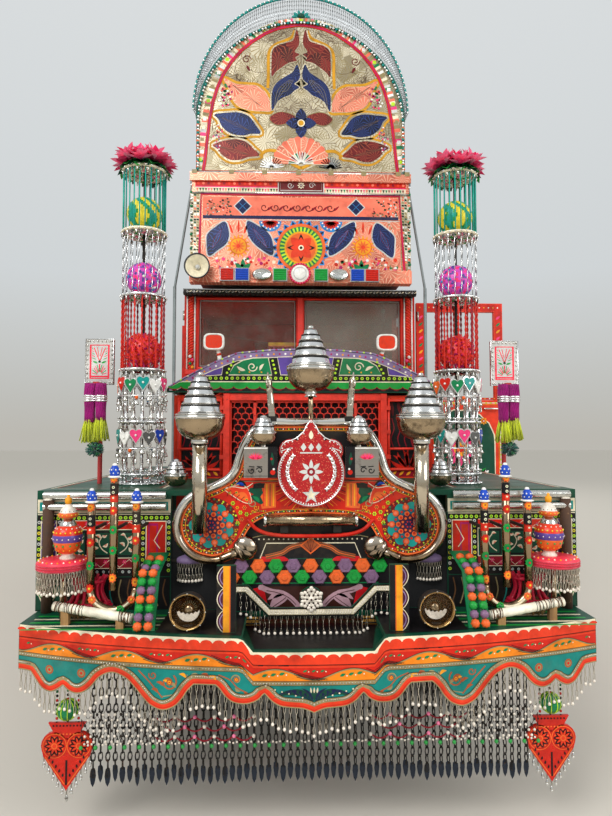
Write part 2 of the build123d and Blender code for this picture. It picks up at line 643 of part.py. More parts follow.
with BuildPart() as dome_lamps:
    with Locations((DOME_X, DOME_Y, DOME_LOW_Z)):
        add(large_dome)
    rod((DOME_X, DOME_Y, DOME_SOCKET_Z - 40), (DOME_X, DOME_Y, DOME_LOW_Z + 5), DOME_POST_RADIUS)
    rod((DOME_X, DOME_Y, DOME_SOCKET_Z), (DOME_X, BULL_Y, DOME_SOCKET_Z), DOME_POST_RADIUS)
    slab((SMALL_DOME_X - 52, SMALL_DOME_X + 52), (DOME_Y - 25, BULL_Y), (BOX_LOW_Z, BOX_HIGH_Z))
    rod((SMALL_DOME_X, DOME_Y, BOX_HIGH_Z), (SMALL_DOME_X, DOME_Y, BOX_HIGH_Z + 25), 12)
    with Locations((SMALL_DOME_X, DOME_Y, BOX_HIGH_Z + 20)):
        add(small_dome)
    with Locations((648, -1150, WING_TOP_Z)):
        add(small_dome)
    tube_top_z = BULL_TOP_Z + TUBE_RADIUS
    with Locations(Plane(origin=(HAND_X, tube_y, tube_top_z), z_dir=(0.09, 0, 1))):
        add(hand)
    slab((HAND_X - 21, HAND_X + 21), (tube_y - 19, tube_y + 19), (tube_top_z - 16, tube_top_z + 8))
    mirror(about=Plane.YZ)
    rod((0, tube_y, tube_top_z - 12), (0, tube_y, CENTRE_DOME_Z + 5), 12)
    with Locations((0, tube_y, CENTRE_DOME_Z)):
        add(large_dome)
    add(bull_tube.part, mode=Mode.SUBTRACT)
pieces["dome_lamps"] = dome_lamps

# Headlamps on the shelf, and the small fringed hoods behind them
HEADLAMP_X = 512
HEADLAMP_Y = -1600
HEADLAMP_Z = 960
HEADLAMP_RADIUS = 76
HOOD_X = 553
HOOD_Y = -1255
HOOD_Z = 1105
HOOD_RADIUS = 72
with BuildPart() as headlamps:
    rod((HEADLAMP_X, HEADLAMP_Y, HEADLAMP_Z), (HEADLAMP_X, HEADLAMP_Y + 40, HEADLAMP_Z), HEADLAMP_RADIUS)
    with Locations(Plane(origin=(HEADLAMP_X, HEADLAMP_Y + 40, HEADLAMP_Z), z_dir=(0, 1, 0))):
        Cone(HEADLAMP_RADIUS - 4, 34, 70, align=(Align.CENTER, Align.CENTER, Align.MIN))
    slab((HEADLAMP_X - 20, HEADLAMP_X + 20), (HEADLAMP_Y + 8, HEADLAMP_Y + 60), (BUMPER_TOP_Z, HEADLAMP_Z - 60))
    rod((HOOD_X, HOOD_Y, HOOD_Z - 16), (HOOD_X, HOOD_Y, HOOD_Z + 30), HOOD_RADIUS)
    slab((HOOD_X, FASCIA_INNER_X), (FASCIA_Y + 2, FASCIA_Y + WING_WALL), (HOOD_Z - 10, HOOD_Z + 10))
    mirror(about=Plane.YZ)
pieces["headlamps"] = headlamps

# Centre apron: the panel behind the reflectors, the two yellow posts, the sloping bar and its medallion
APRON_THICK = 20
APRON_HALF_WIDTH = 400
APRON_TOP_Z = 1325
POST_FRONT_Y = -1622
POST_X = (314, 392)
POST_TOP_Z = 1150
BAR_Y = -1420
BAR_WIDTH = 36
BAR_THICK = 14
BAR_SIDE_Z = 1002
BAR_LOW_Z = 902
notch_floor_z = BUMPER_TOP_Z - NOTCH_DEPTH
with BuildPart() as centre_apron:
    slab((-APRON_HALF_WIDTH, APRON_HALF_WIDTH), (APRON_Y, APRON_Y + APRON_THICK), (BUMPER_TOP_Z, APRON_TOP_Z))
    with BuildSketch(Plane.XZ.offset(-BAR_Y - BAR_THICK)):
        with BuildLine():
            bar_line = Polyline((-362, BAR_SIDE_Z), (-285, BAR_SIDE_Z), (-185, BAR_LOW_Z), (185, BAR_LOW_Z),
                                (285, BAR_SIDE_Z), (362, BAR_SIDE_Z))
        trace(bar_line, BAR_WIDTH)
        with Locations((0, 958)):
            Circle(52)
        slab_width = 30
        with Locations((0, 915)):
            Rectangle(slab_width, 40)
    extrude(amount=BAR_THICK)
    for x in both_sides((325, 355)):
        slab(x, (BAR_Y + BAR_THICK, APRON_Y), (BAR_SIDE_Z - BAR_WIDTH / 2, BAR_SIDE_Z))
    for x in both_sides(POST_X):
        slab(x, (POST_FRONT_Y, POST_FRONT_Y + 20), (BUMPER_TOP_Z, POST_TOP_Z))
pieces["centre_apron"] = centre_apron

# Six-sided reflectors in two rows on the apron
HEX_PITCH = 79
HEX_FLATS = 62
HEX_THICK = 20
HEX_ROWS = [
    # middle x, z
    (0, 1086),
    (-HEX_PITCH / 2, 1036),
]
with BuildPart() as hex_reflectors:
    for middle, z in HEX_ROWS:
        with BuildSketch(Plane.XZ.offset(-APRON_Y)):
            with Locations((middle, z)):
                with GridLocations(HEX_PITCH, 0, 9, 1):
                    RegularPolygon(HEX_FLATS / 2, 6, major_radius=False, rotation=30)
        extrude(amount=HEX_THICK, taper=12)
pieces["hex_reflectors"] = hex_reflectors

# Flower tubes and the wrapped bars on the shelf
FLOWER_TUBE_Y = -1500
FLOWER_TUBES = [
    # x, foot z, top z
    (748, 1036, 1445),
    (843, 1026, 1552),
    (938, 1036, 1446),
]
FLOWER_TUBE_RADIUS = 17
FLOWER_BEND_RADIUS = 95
WRAPPED_BAR = ((745, -1560, 922), (1095, -1480, 954))
WRAPPED_BAR_RADIUS = 19
with BuildPart() as flower_tubes:
    for x, foot, top in FLOWER_TUBES:
        rod((x, FLOWER_TUBE_Y, foot), (x, FLOWER_TUBE_Y, top - 40), FLOWER_TUBE_RADIUS)
        with Locations((x, FLOWER_TUBE_Y, top - 44)):
            Cone(26, 6, 44, align=(Align.CENTER, Align.CENTER, Align.MIN))
        slab((x - 5, x + 5), (FLOWER_TUBE_Y, FASCIA_Y), (1270, 1282))
    bend_x = FLOWER_TUBES[1][0]
    bend_z = FLOWER_TUBES[0][1]
    with BuildSketch(Plane(origin=(bend_x - FLOWER_BEND_RADIUS, FLOWER_TUBE_Y, bend_z), z_dir=(0, 0, 1))):
        Circle(FLOWER_TUBE_RADIUS)
    bend_axis = Axis((bend_x, FLOWER_TUBE_Y, bend_z), (0, -1, 0))
    revolve(axis=bend_axis, revolution_arc=180)
    rod(*WRAPPED_BAR, WRAPPED_BAR_RADIUS)
    for share in (0.15, 0.85):
        point = Vector(*WRAPPED_BAR[0]) + (Vector(*WRAPPED_BAR[1]) - Vector(*WRAPPED_BAR[0])) * share
        slab((point.X - 14, point.X + 14), (point.Y - 14, point.Y + 14), (BUMPER_TOP_Z, point.Z - 10))
    mirror(about=Plane.YZ)
pieces["flower_tubes"] = flower_tubes

# Bead pads: two columns of balls on a strip that leans back from the shelf
BEAD_RADIUS = 20
BEAD_ROWS = 8
PAD_LOW = (692, -1582, BUMPER_TOP_Z)
PAD_HIGH = (655, -1430, 1165)
with BuildPart() as bead_pads:
    pad_run = Vector(*PAD_HIGH) - Vector(*PAD_LOW)
    with Locations(Plane(origin=PAD_LOW, x_dir=(1, 0, 0.13), z_dir=pad_run)):
        Box(84, 12, pad_run.length, align=(Align.CENTER, Align.CENTER, Align.MIN))
    for row in range(BEAD_ROWS):
        share = (row + 0.5) / BEAD_ROWS
        middle = Vector(*PAD_LOW) + pad_run * share
        with Locations((middle.X - 21, middle.Y - 10, middle.Z), (middle.X + 21, middle.Y - 10, middle.Z)):
            Sphere(BEAD_RADIUS)
    slab((PAD_HIGH[0] - 12, PAD_HIGH[0] + 12), (PAD_HIGH[1], FASCIA_Y), (PAD_HIGH[2] - 40, PAD_HIGH[2] - 20))
    mirror(about=Plane.YZ)
    slab((-1000, 1000), (-1700, -1300), (BUMPER_TOP_Z - 60, BUMPER_TOP_Z), Mode.SUBTRACT)
pieces["bead_pads"] = bead_pads

# Urns on their round stands
STAND_X = 1075
STAND_Y = -1440
STAND_RADIUS = 106
STAND_Z = 1112
URN_X = 1040
URN = [
    (0, 0), (22, 0), (30, 14), (24, 30), (50, 62), (58, 96), (52, 124), (40, 132), (44, 140), (26, 156), (30, 176),
    (18, 190), (20, 204), (8, 226), (10, 234), (0, 246),
]
urn = turned(URN)
with BuildPart() as urns:
    rod((STAND_X, STAND_Y, BUMPER_TOP_Z), (STAND_X, STAND_Y, STAND_Z + 5), 15)
    rod((STAND_X, STAND_Y, STAND_Z), (STAND_X, STAND_Y, STAND_Z + 30), STAND_RADIUS)
    with Locations((URN_X, STAND_Y, STAND_Z + 29)):
        add(urn)
    mirror(about=Plane.YZ)
pieces["urns"] = urns

# Flower towers: ring plates on upright rods, balls on a middle rod and a crown of flowers
TOWER_RINGS = [WING_TOP_Z + 48, 1740, 2008, 2394, 2774, TOWER_TOP_Z - TOWER_RING_THICK]
TOWER_BALLS = [
    # middle z, radius
    (2117, 95),
    (2498, 90),
    (2874, 86),
]
FLOWER_CROWN = [(0, 0), (100, 0), (135, 28), (FLOWER_RADIUS, 66), (138, 110), (92, 134), (0, FLOWER_HEIGHT)]
flower_crown = turned(FLOWER_CROWN)


def tower(x):
    """One tower, standing on its wing at x."""
    with BuildPart() as body:
        for z in [WING_TOP_Z] + TOWER_RINGS:
            rod((x, TOWER_Y, z), (x, TOWER_Y, z + TOWER_RING_THICK), TOWER_RADIUS)
        with Locations((x, TOWER_Y, (WING_TOP_Z + TOWER_TOP_Z) / 2)):
            with PolarLocations(TOWER_RADIUS - 2 * ROD_RADIUS, TOWER_RODS):
                Cylinder(ROD_RADIUS, TOWER_TOP_Z - WING_TOP_Z)
            Cylinder(2 * ROD_RADIUS, TOWER_TOP_Z - WING_TOP_Z)
        for z, radius in TOWER_BALLS:
            with Locations((x, TOWER_Y, z)):
                Sphere(radius)
        with Locations((x, TOWER_Y, TOWER_TOP_Z - 1)):
            add(flower_crown)
    return body


pieces["tower_left"] = tower(TOWER_LEFT_X)
pieces["tower_right"] = tower(TOWER_RIGHT_X)

# Sign boards beside the towers, and the tassels that hang under them
SIGNS_X = (1060, -1095)
SIGN_WIDTH = 146
SIGN_LOW_Z = 1945
SIGN_HIGH_Z = 2185
SIGN_Y = -930
SIGN_THICK = 20
SIGN_POST_RADIUS = 12
with BuildPart() as sign_boards:
    for x in SIGNS_X:
        slab((x - SIGN_WIDTH / 2, x + SIGN_WIDTH / 2), (SIGN_Y, SIGN_Y + SIGN_THICK), (SIGN_LOW_Z, SIGN_HIGH_Z))
        post_y = SIGN_Y + SIGN_THICK + SIGN_POST_RADIUS - 2
        rod((x, post_y, WING_TOP_Z), (x, post_y, SIGN_HIGH_Z - 30), SIGN_POST_RADIUS)
        slab((x - 14, x + 14), (SIGN_Y - 60, SIGN_Y), (SIGN_LOW_Z, SIGN_LOW_Z + 10))
pieces["sign_boards"] = sign_boards

TASSEL = [
    # radius, height below the hook
    (0, 0), (10, 0), (14, -20), (34, -60), (38, -120), (40, -190), (46, -260), (52, -330), (30, -342), (0, -345),
]
tassel = turned(TASSEL)
with BuildPart() as tassels:
    with Locations(*[(x, SIGN_Y - 56, SIGN_LOW_Z) for x in SIGNS_X]):
        add(tassel)
pieces["tassels"] = tassels

# Chains under the bumper: bells along the scalloped edge, and a curtain of leaf chains on a rail behind
BELL_PITCH = 27
BELL_DROP = 100
BELL = [(0, 0), (10, 0), (8, 14), (4, 22), (3, 26), (3, BELL_DROP + 10), (0, BELL_DROP + 10)]
RAIL_Y = -1500
RAIL_BAR = 16
HEART_X = 1022
CURTAIN_HALF_WIDTH = 900
CURTAIN_PITCH = 40
CURTAIN_LOW_Z = 235
LEAF_LENGTH = 62
LEAF_WIDTH = 20
LINK_WIDTH = 7
CURTAIN_THICK = 6


def edge_z(x):
    """The height of the bumper's lower edge at x."""
    for run in APRON_RUNS:
        for (near, near_z), (far, far_z) in zip(run, run[1:]):
            if near <= abs(x) <= far:
                return near_z + (far_z - near_z) * (abs(x) - near) / (far - near)
    return APRON_RUNS[-1][-1][1]


bell = turned(BELL)
bell_count = int((BUMPER_HALF_WIDTH - 30) / BELL_PITCH)
with BuildPart() as bell_fringe:
    spots = []
    for index in range(-bell_count, bell_count + 1):
        x = index * BELL_PITCH
        spots.append((x, bow_y(x, BUMPER_THICK / 2), edge_z(x) - BELL_DROP))
    with Locations(*spots):
        add(bell)
    add(front_bumper.part, mode=Mode.SUBTRACT)
pieces["bell_fringe"] = bell_fringe

curtain_count = int(CURTAIN_HALF_WIDTH / CURTAIN_PITCH)
with BuildPart() as chain_curtain:
    slab((-HEART_X - 20, HEART_X + 20), (RAIL_Y - RAIL_BAR / 2, RAIL_Y + RAIL_BAR / 2),
         (BRACKET_LOW_Z - RAIL_BAR, BRACKET_LOW_Z))
    with BuildSketch(Plane.XZ.offset(-RAIL_Y - CURTAIN_THICK / 2)):
        for index in range(-curtain_count, curtain_count + 1):
            x = index * CURTAIN_PITCH
            low = CURTAIN_LOW_Z + 36 * (index % 2)
            with Locations((x, (low + LEAF_LENGTH + BRACKET_LOW_Z - 4) / 2)):
                Rectangle(LINK_WIDTH, BRACKET_LOW_Z - 4 - low - LEAF_LENGTH)
            for leaf in range(4):
                z = low + leaf * 1.5 * LEAF_LENGTH
                Polygon((x, z), (x + LEAF_WIDTH / 2, z + LEAF_LENGTH * 0.55), (x, z + LEAF_LENGTH + 4),
                        (x - LEAF_WIDTH / 2, z + LEAF_LENGTH * 0.55), align=None)
    extrude(amount=CURTAIN_THICK)
pieces["chain_curtain"] = chain_curtain

# Heart pendants at the two ends of the curtain's rail
HEART_TOP_Z = 450
HEART_LOW_Z = 205
HEART_THICK = 16
with BuildPart() as heart_pendants:
    with BuildSketch(Plane.XZ.offset(-RAIL_Y - HEART_THICK / 2)):
        with Locations((HEART_X - 52, HEART_TOP_Z - 60), (HEART_X + 52, HEART_TOP_Z - 60)):
            Circle(56)
        Polygon((HEART_X - 103, HEART_TOP_Z - 84), (HEART_X, HEART_LOW_Z), (HEART_X + 103, HEART_TOP_Z - 84),
                (HEART_X, HEART_TOP_Z - 30), align=None)
    extrude(amount=HEART_THICK)
    rod((HEART_X, RAIL_Y, HEART_TOP_Z - 80), (HEART_X, RAIL_Y, BRACKET_LOW_Z - RAIL_BAR), 5)
    with Locations((HEART_X, RAIL_Y, HEART_TOP_Z + 60)):
        Sphere(30)
    mirror(about=Plane.YZ)
pieces["heart_pendants"] = heart_pendants

# Cab: hollow, with its windows and door openings cut, on four mounts
REAR_WINDOW = ((-450, 450), (2250, 2650))
DOOR_OPENING_Y = (DOOR_HINGE_Y, DOOR_HINGE_Y + DOOR_WIDTH + 2 * DOOR_EDGE_GAP + 10)
DOOR_OPENING_Z = (DOOR_LOW_Z - 15, DOOR_HIGH_Z + 10)
CAB_SIDE = [
    (SCUTTLE_Y, CAB_LOW_Z), (SCUTTLE_Y, SCUTTLE_TOP_Z), (SCREEN_Y, SCREEN_LOW_Z), (SCREEN_Y, CAB_ROOF_Z),
    (CAB_REAR_Y, CAB_ROOF_Z), (CAB_REAR_Y, CAB_LOW_Z),
]
cab_inner = CAB_HALF_WIDTH - CAB_WALL
with BuildPart() as cab_body:
    with BuildSketch(Plane.YZ.offset(-CAB_HALF_WIDTH)):
        Polygon(*CAB_SIDE, align=None)
    extrude(amount=2 * CAB_HALF_WIDTH)
    with BuildSketch(Plane.YZ.offset(-cab_inner)):
        Polygon(*CAB_SIDE, align=None)
        offset(amount=-CAB_WALL, kind=Kind.INTERSECTION)
    extrude(amount=2 * cab_inner, mode=Mode.SUBTRACT)
    for x in both_sides((POST_WIDTH / 2, GLASS_HALF_WIDTH)):
        slab(x, (SCREEN_Y - 1, SCREEN_Y + CAB_WALL + 1), (GLASS_LOW_Z, GLASS_HIGH_Z), Mode.SUBTRACT)
    slab(REAR_WINDOW[0], (CAB_REAR_Y - CAB_WALL - 1, CAB_REAR_Y + 1), REAR_WINDOW[1], Mode.SUBTRACT)
    for x in both_sides((cab_inner - 1, CAB_HALF_WIDTH + 1)):
        slab(x, DOOR_OPENING_Y, DOOR_OPENING_Z, Mode.SUBTRACT)
    for y in (760, 1980):
        for x in both_sides((rail_inner, rail_outer)):
            slab(x, (y - 50, y + 50), (RAIL_HIGH_Z, CAB_LOW_Z))
pieces["cab_body"] = cab_body

with BuildPart() as windscreen_glass:
    for x in both_sides((POST_WIDTH / 2, GLASS_HALF_WIDTH)):
        slab(x, (SCREEN_Y + 18, SCREEN_Y + 18 + GLASS_THICK), (GLASS_LOW_Z, GLASS_HIGH_Z))
pieces["windscreen_glass"] = windscreen_glass

VISOR_HALF_WIDTH = 965
with BuildPart() as sun_visor:
    with BuildSketch(Plane.YZ.offset(-VISOR_HALF_WIDTH)):
        Polygon((SCREEN_Y, 2878), (SCREEN_Y - 120, 2868), (SCREEN_Y - 128, 2848), (SCREEN_Y, 2846), align=None)
    extrude(amount=2 * VISOR_HALF_WIDTH)
pieces["sun_visor"] = sun_visor


def door(side, turn):
    """A door, made closed on one side of the cab and turned about its hinge line."""
    inner = DOOR_HINGE_X - DOOR_EDGE_GAP - DOOR_THICK
    outer = DOOR_HINGE_X - DOOR_EDGE_GAP
    front = DOOR_HINGE_Y + DOOR_EDGE_GAP
    rear = front + DOOR_WIDTH
    with BuildPart() as leaf:
        slab((side * inner, side * outer), (front, rear), (DOOR_LOW_Z, DOOR_HIGH_Z))
        slab((side * (inner - 1), side * (outer + 1)), (front + DOOR_FRAME, rear - DOOR_FRAME),
             (DOOR_SILL_Z, DOOR_HIGH_Z - DOOR_FRAME), Mode.SUBTRACT)
    leaf.part = leaf.part.rotate(Axis((side * DOOR_HINGE_X, DOOR_HINGE_Y, 0), (0, 0, 1)), turn)
    return leaf


pieces["door_left"] = door(1, -90)
pieces["door_right"] = door(-1, 0)

# Inside the cab: a bench with its back, and a dashboard with the steering wheel
SEAT_TOP_Z = 1520
with BuildPart() as bench_seat:
    slab((-850, 850), (1500, 2000), (CAB_LOW_Z + CAB_WALL, SEAT_TOP_Z))
    slab((-850, 850), (1980, CAB_REAR_Y - CAB_WALL), (SEAT_TOP_Z - 60, 2150))
pieces["bench_seat"] = bench_seat

STEERING_X = -450
STEERING_RADIUS = 215
STEERING_CENTRE = (STEERING_X, 1240, 2000)
with BuildPart() as dashboard:
    slab((-cab_inner, cab_inner), (700, DOOR_HINGE_Y), (1740, 1980))
    slab((-cab_inner + 15, cab_inner - 15), (DOOR_HINGE_Y, 1100), (1740, 1980))
    rod((STEERING_X, 1060, 1840), STEERING_CENTRE, 20)
    with Locations(Plane(origin=STEERING_CENTRE, z_dir=(0, 0.7, 0.7))):
        Torus(STEERING_RADIUS, 14)
        Box(2 * STEERING_RADIUS, 26, 10)
        Cylinder(45, 24)
pieces["dashboard"] = dashboard

# Crown: a lower panel with its lamp strip, an arched panel and a ring of lace
STRIP_Y = 550
STRIP_HIGH_Z = 2985
CROWN_TOP_HALF = 867
with BuildPart() as crown_lower:
    with BuildSketch(Plane.XZ.offset(-CROWN_Y - CROWN_THICK)):
        Polygon((-CROWN_HALF_WIDTH, CROWN_LOW_Z), (CROWN_HALF_WIDTH, CROWN_LOW_Z), (CROWN_TOP_HALF, CROWN_RAIL_Z),
                (-CROWN_TOP_HALF, CROWN_RAIL_Z), align=None)
    extrude(amount=CROWN_THICK)
    slab((-CROWN_HALF_WIDTH, CROWN_HALF_WIDTH), (STRIP_Y, CROWN_Y), (CROWN_LOW_Z, STRIP_HIGH_Z))
    slab((-CROWN_TOP_HALF - 15, CROWN_TOP_HALF + 15), (CROWN_Y - 22, CROWN_Y), (CROWN_RAIL_Z - 70, CROWN_RAIL_Z))
pieces["crown_lower"] = crown_lower

arch_back_y = CROWN_Y + 10 + ARCH_THICK


def arch_face():
    """The outline of the arched panel."""
    side = Line((ARCH_HALF_WIDTH, CROWN_RAIL_Z), (ARCH_HALF_WIDTH, ARCH_SPRING_Z))
    ThreePointArc(side @ 1, (0, ARCH_TOP_Z), (-ARCH_HALF_WIDTH, ARCH_SPRING_Z))
    Polyline((-ARCH_HALF_WIDTH, ARCH_SPRING_Z), (-ARCH_HALF_WIDTH, CROWN_RAIL_Z), side @ 0)


with BuildPart() as crown_arch:
    with BuildSketch(Plane.XZ.offset(-arch_back_y)):
        with BuildLine():
            arch_face()
        make_face()
    extrude(amount=ARCH_THICK)
pieces["crown_arch"] = crown_arch

with BuildSketch(Plane.XZ.offset(-arch_back_y + 12)) as lace_area:
    with BuildLine():
        foot = Line((-LACE_HALF_WIDTH, ARCH_SPRING_Z - 30), (LACE_HALF_WIDTH, ARCH_SPRING_Z - 30))
        ThreePointArc(foot @ 1, (0, LACE_TOP_Z), foot @ 0)
    make_face()
    with BuildLine():
        arch_face()
    make_face(mode=Mode.SUBTRACT)
with BuildSketch(Plane.XZ.offset(-arch_back_y + 12)) as lace_spokes:
    with Locations((0, ARCH_SPRING_Z)):
        with PolarLocations(0, LACE_SPOKES, start_angle=0, angular_range=180, endpoint=True):
            with Locations((ARCH_HALF_WIDTH, 0)):
                Rectangle(700, 9)
    add(lace_area.sketch, mode=Mode.INTERSECT)
with BuildPart() as crown_lace:
    with BuildSketch(Plane.XZ.offset(-arch_back_y + 12)):
        add(lace_area.sketch)
        offset(lace_area.sketch, amount=-LACE_BAND, kind=Kind.INTERSECTION, mode=Mode.SUBTRACT)
        add(lace_spokes.sketch)
    extrude(amount=LACE_THICK)
pieces["crown_lace"] = crown_lace

# Crown frame: a platform over the cab, side walls, posts behind the arch, struts, stays and cab-side poles
PLATFORM_LOW_Z = 2930
PLATFORM_HIGH_Z = 2955
POLE_X = 1020
POLE_Y = 700
POLE_RADIUS = 13
STAY_TOP = (880, 690, 3745)
with BuildPart() as crown_frame:
    crown_back_y = CROWN_Y + CROWN_THICK
    slab((-830, 830), (crown_back_y, CARGO_FRONT_Y), (PLATFORM_LOW_Z, PLATFORM_HIGH_Z))
    for y in (1000, 1500, 2050):
        slab((-830, 830), (y, y + 60), (CAB_ROOF_Z, PLATFORM_LOW_Z))
    with BuildSketch(Plane.YZ.offset(805)):
        Polygon((crown_back_y, PLATFORM_HIGH_Z), (crown_back_y, 3735), (1350, 3560), (CARGO_FRONT_Y, 3080),
                (CARGO_FRONT_Y, PLATFORM_HIGH_Z), align=None)
    extrude(amount=25)
    slab((400, 440), (crown_back_y, crown_back_y + 40), (PLATFORM_HIGH_Z, 4760))
    slab((400, 440), (arch_back_y, crown_back_y), (CROWN_RAIL_Z, 4760))
    rod((420, crown_back_y + 20, 4600), (420, 2150, PLATFORM_HIGH_Z), 20)
    slab((390, 895), (crown_back_y, crown_back_y + 60), (3700, 3760))
    rod((POLE_X, POLE_Y, WING_TOP_Z), (POLE_X, POLE_Y, 2880), POLE_RADIUS)
    rod((POLE_X, POLE_Y, 2870), STAY_TOP, POLE_RADIUS - 3)
    mirror(about=Plane.YZ)
pieces["crown_frame"] = crown_frame

# Marker lamps in a row on the strip, and a horn at its right-hand end
MARKERS = [
    # x, half width
    (0, 80), (161, 48), (302, 66), (453, 50), (569, 50),
]
MARKER_Z = 2934
HORN_X = -805
with BuildPart() as roof_lamps:
    for x, half in MARKERS:
        for place in {x, -x}:
            slab((place - half, place + half), (STRIP_Y - 30, STRIP_Y), (MARKER_Z - 44, MARKER_Z + 44))
    with Locations(Plane(origin=(HORN_X, STRIP_Y, MARKER_Z), z_dir=(0, -1, 0))):
        Cone(35, 98, 95, align=(Align.CENTER, Align.CENTER, Align.MIN))
pieces["roof_lamps"] = roof_lamps

# Mirrors on stalks from the windscreen's lower rail
MIRROR_X = 695
MIRROR_Y = 695
MIRROR_Z = 2415
with BuildPart() as mirrors:
    slab((MIRROR_X - 95, MIRROR_X + 95), (MIRROR_Y - 25, MIRROR_Y + 25), (MIRROR_Z - 85, MIRROR_Z + 85))
    rod((MIRROR_X - 45, SCREEN_Y, 2170), (MIRROR_X - 45, MIRROR_Y + 40, 2240), 13)
    rod((MIRROR_X - 45, MIRROR_Y + 45, 2236), (MIRROR_X - 20, MIRROR_Y, MIRROR_Z - 60), 13)
    mirror(about=Plane.YZ)
    slab((-900, 900), (SCREEN_Y, SCREEN_Y + 100), (2000, 2400), Mode.SUBTRACT)
pieces["mirrors"] = mirrors

# Bonnet: an arched sheet with a painted brow board at its front
bonnet_low_z = NOSE_TOP_Z + BONNET_GAP
bonnet_half = NOSE_HALF_WIDTH + 10


def bonnet_section(y, half, rise, low):
    """An arched section of the bonnet at one Y."""
    with BuildSketch(Plane.XZ.offset(-y)) as section:
        with BuildLine():
            base = Line((-half, low), (half, low))
            ThreePointArc(base @ 1, (0, low + rise), base @ 0)
        make_face()
    return section.sketch


with BuildPart() as bonnet:
    loft([bonnet_section(NOSE_Y, bonnet_half, BONNET_RISE, bonnet_low_z),
          bonnet_section(BONNET_REAR_Y, bonnet_half, BONNET_REAR_RISE, bonnet_low_z)], ruled=True)
    loft([bonnet_section(NOSE_Y, bonnet_half - BONNET_WALL, BONNET_RISE - BONNET_WALL, bonnet_low_z),
          bonnet_section(BONNET_REAR_Y, bonnet_half - BONNET_WALL, BONNET_REAR_RISE - BONNET_WALL, bonnet_low_z)],
         ruled=True, mode=Mode.SUBTRACT)
    with BuildSketch(Plane.XZ.offset(-NOSE_Y)):
        with BuildLine():
            base = Line((-BROW_HALF_WIDTH, bonnet_low_z + 5), (BROW_HALF_WIDTH, bonnet_low_z + 5))
            edge = Line(base @ 1, (BROW_HALF_WIDTH, bonnet_low_z + 27))
            right = ThreePointArc(edge @ 1, (600, 2072), (400, 2160))
            top = ThreePointArc(right @ 1, (0, 2184), (-400, 2160))
            left = ThreePointArc(top @ 1, (-600, 2072), (-BROW_HALF_WIDTH, bonnet_low_z + 27))
            Line(left @ 1, base @ 0)
        make_face()
    extrude(amount=BROW_THICK)
pieces["bonnet"] = bonnet

# Cargo body: floor on cross bearers and runners, walls with ribs, and a drop tailgate
BEARERS_Y = [2300, 2900, 3480, WHEELBASE - 560 + 1160, 5500, 6100, 6690]
BEARER_WIDTH = 70
floor_low = CARGO_FLOOR_Z - FLOOR_THICK
bearer_low = floor_low - BEARER_DEPTH
wall_inner = CARGO_HALF_WIDTH - CARGO_WALL
with BuildPart() as cargo_floor:
    slab((-wall_inner, wall_inner), (CARGO_FRONT_Y + CARGO_WALL, CARGO_REAR_Y), (floor_low, CARGO_FLOOR_Z))
    for y in BEARERS_Y:
        slab((-CARGO_HALF_WIDTH + 20, CARGO_HALF_WIDTH - 20), (y - BEARER_WIDTH / 2, y + BEARER_WIDTH / 2),
             (bearer_low, floor_low))
    for x in both_sides((rail_inner, rail_outer)):
        slab(x, (CARGO_FRONT_Y, RAIL_REAR_Y), (RAIL_HIGH_Z, floor_low))
pieces["cargo_floor"] = cargo_floor

RIB_COUNT = 7
TOP_RAIL = 60
with BuildPart() as cargo_walls:
    slab((-CARGO_HALF_WIDTH, CARGO_HALF_WIDTH), (CARGO_FRONT_Y, CARGO_FRONT_Y + CARGO_WALL),
         (CARGO_FLOOR_Z - FLOOR_THICK, CARGO_TOP_Z))
    for x in both_sides((wall_inner, CARGO_HALF_WIDTH)):
        slab(x, (CARGO_FRONT_Y + CARGO_WALL, CARGO_REAR_Y), (CARGO_FLOOR_Z - FLOOR_THICK, CARGO_TOP_Z))
    for x in both_sides((CARGO_HALF_WIDTH, CARGO_HALF_WIDTH + RIB_DEPTH)):
        for index in range(RIB_COUNT):
            y = CARGO_FRONT_Y + index * (CARGO_REAR_Y - CARGO_FRONT_Y - RIB_WIDTH) / (RIB_COUNT - 1)
            slab(x, (y, y + RIB_WIDTH), (CARGO_FLOOR_Z - FLOOR_THICK, CARGO_TOP_Z))
        slab(x, (CARGO_FRONT_Y, CARGO_REAR_Y), (CARGO_TOP_Z - TOP_RAIL, CARGO_TOP_Z))
        slab(x, (CARGO_FRONT_Y, CARGO_REAR_Y), (CARGO_FLOOR_Z - FLOOR_THICK, CARGO_FLOOR_Z + 35))
    slab((-wall_inner, wall_inner), (CARGO_REAR_Y - 60, CARGO_REAR_Y), (CARGO_TOP_Z - TOP_RAIL, CARGO_TOP_Z))
pieces["cargo_walls"] = cargo_walls

with BuildPart() as tailgate:
    slab((-GATE_HALF_WIDTH, GATE_HALF_WIDTH), (GATE_HINGE_Y - GATE_THICK, GATE_HINGE_Y),
         (GATE_HINGE_Z + GATE_GAP, GATE_TOP_Z))
pieces["tailgate"] = tailgate

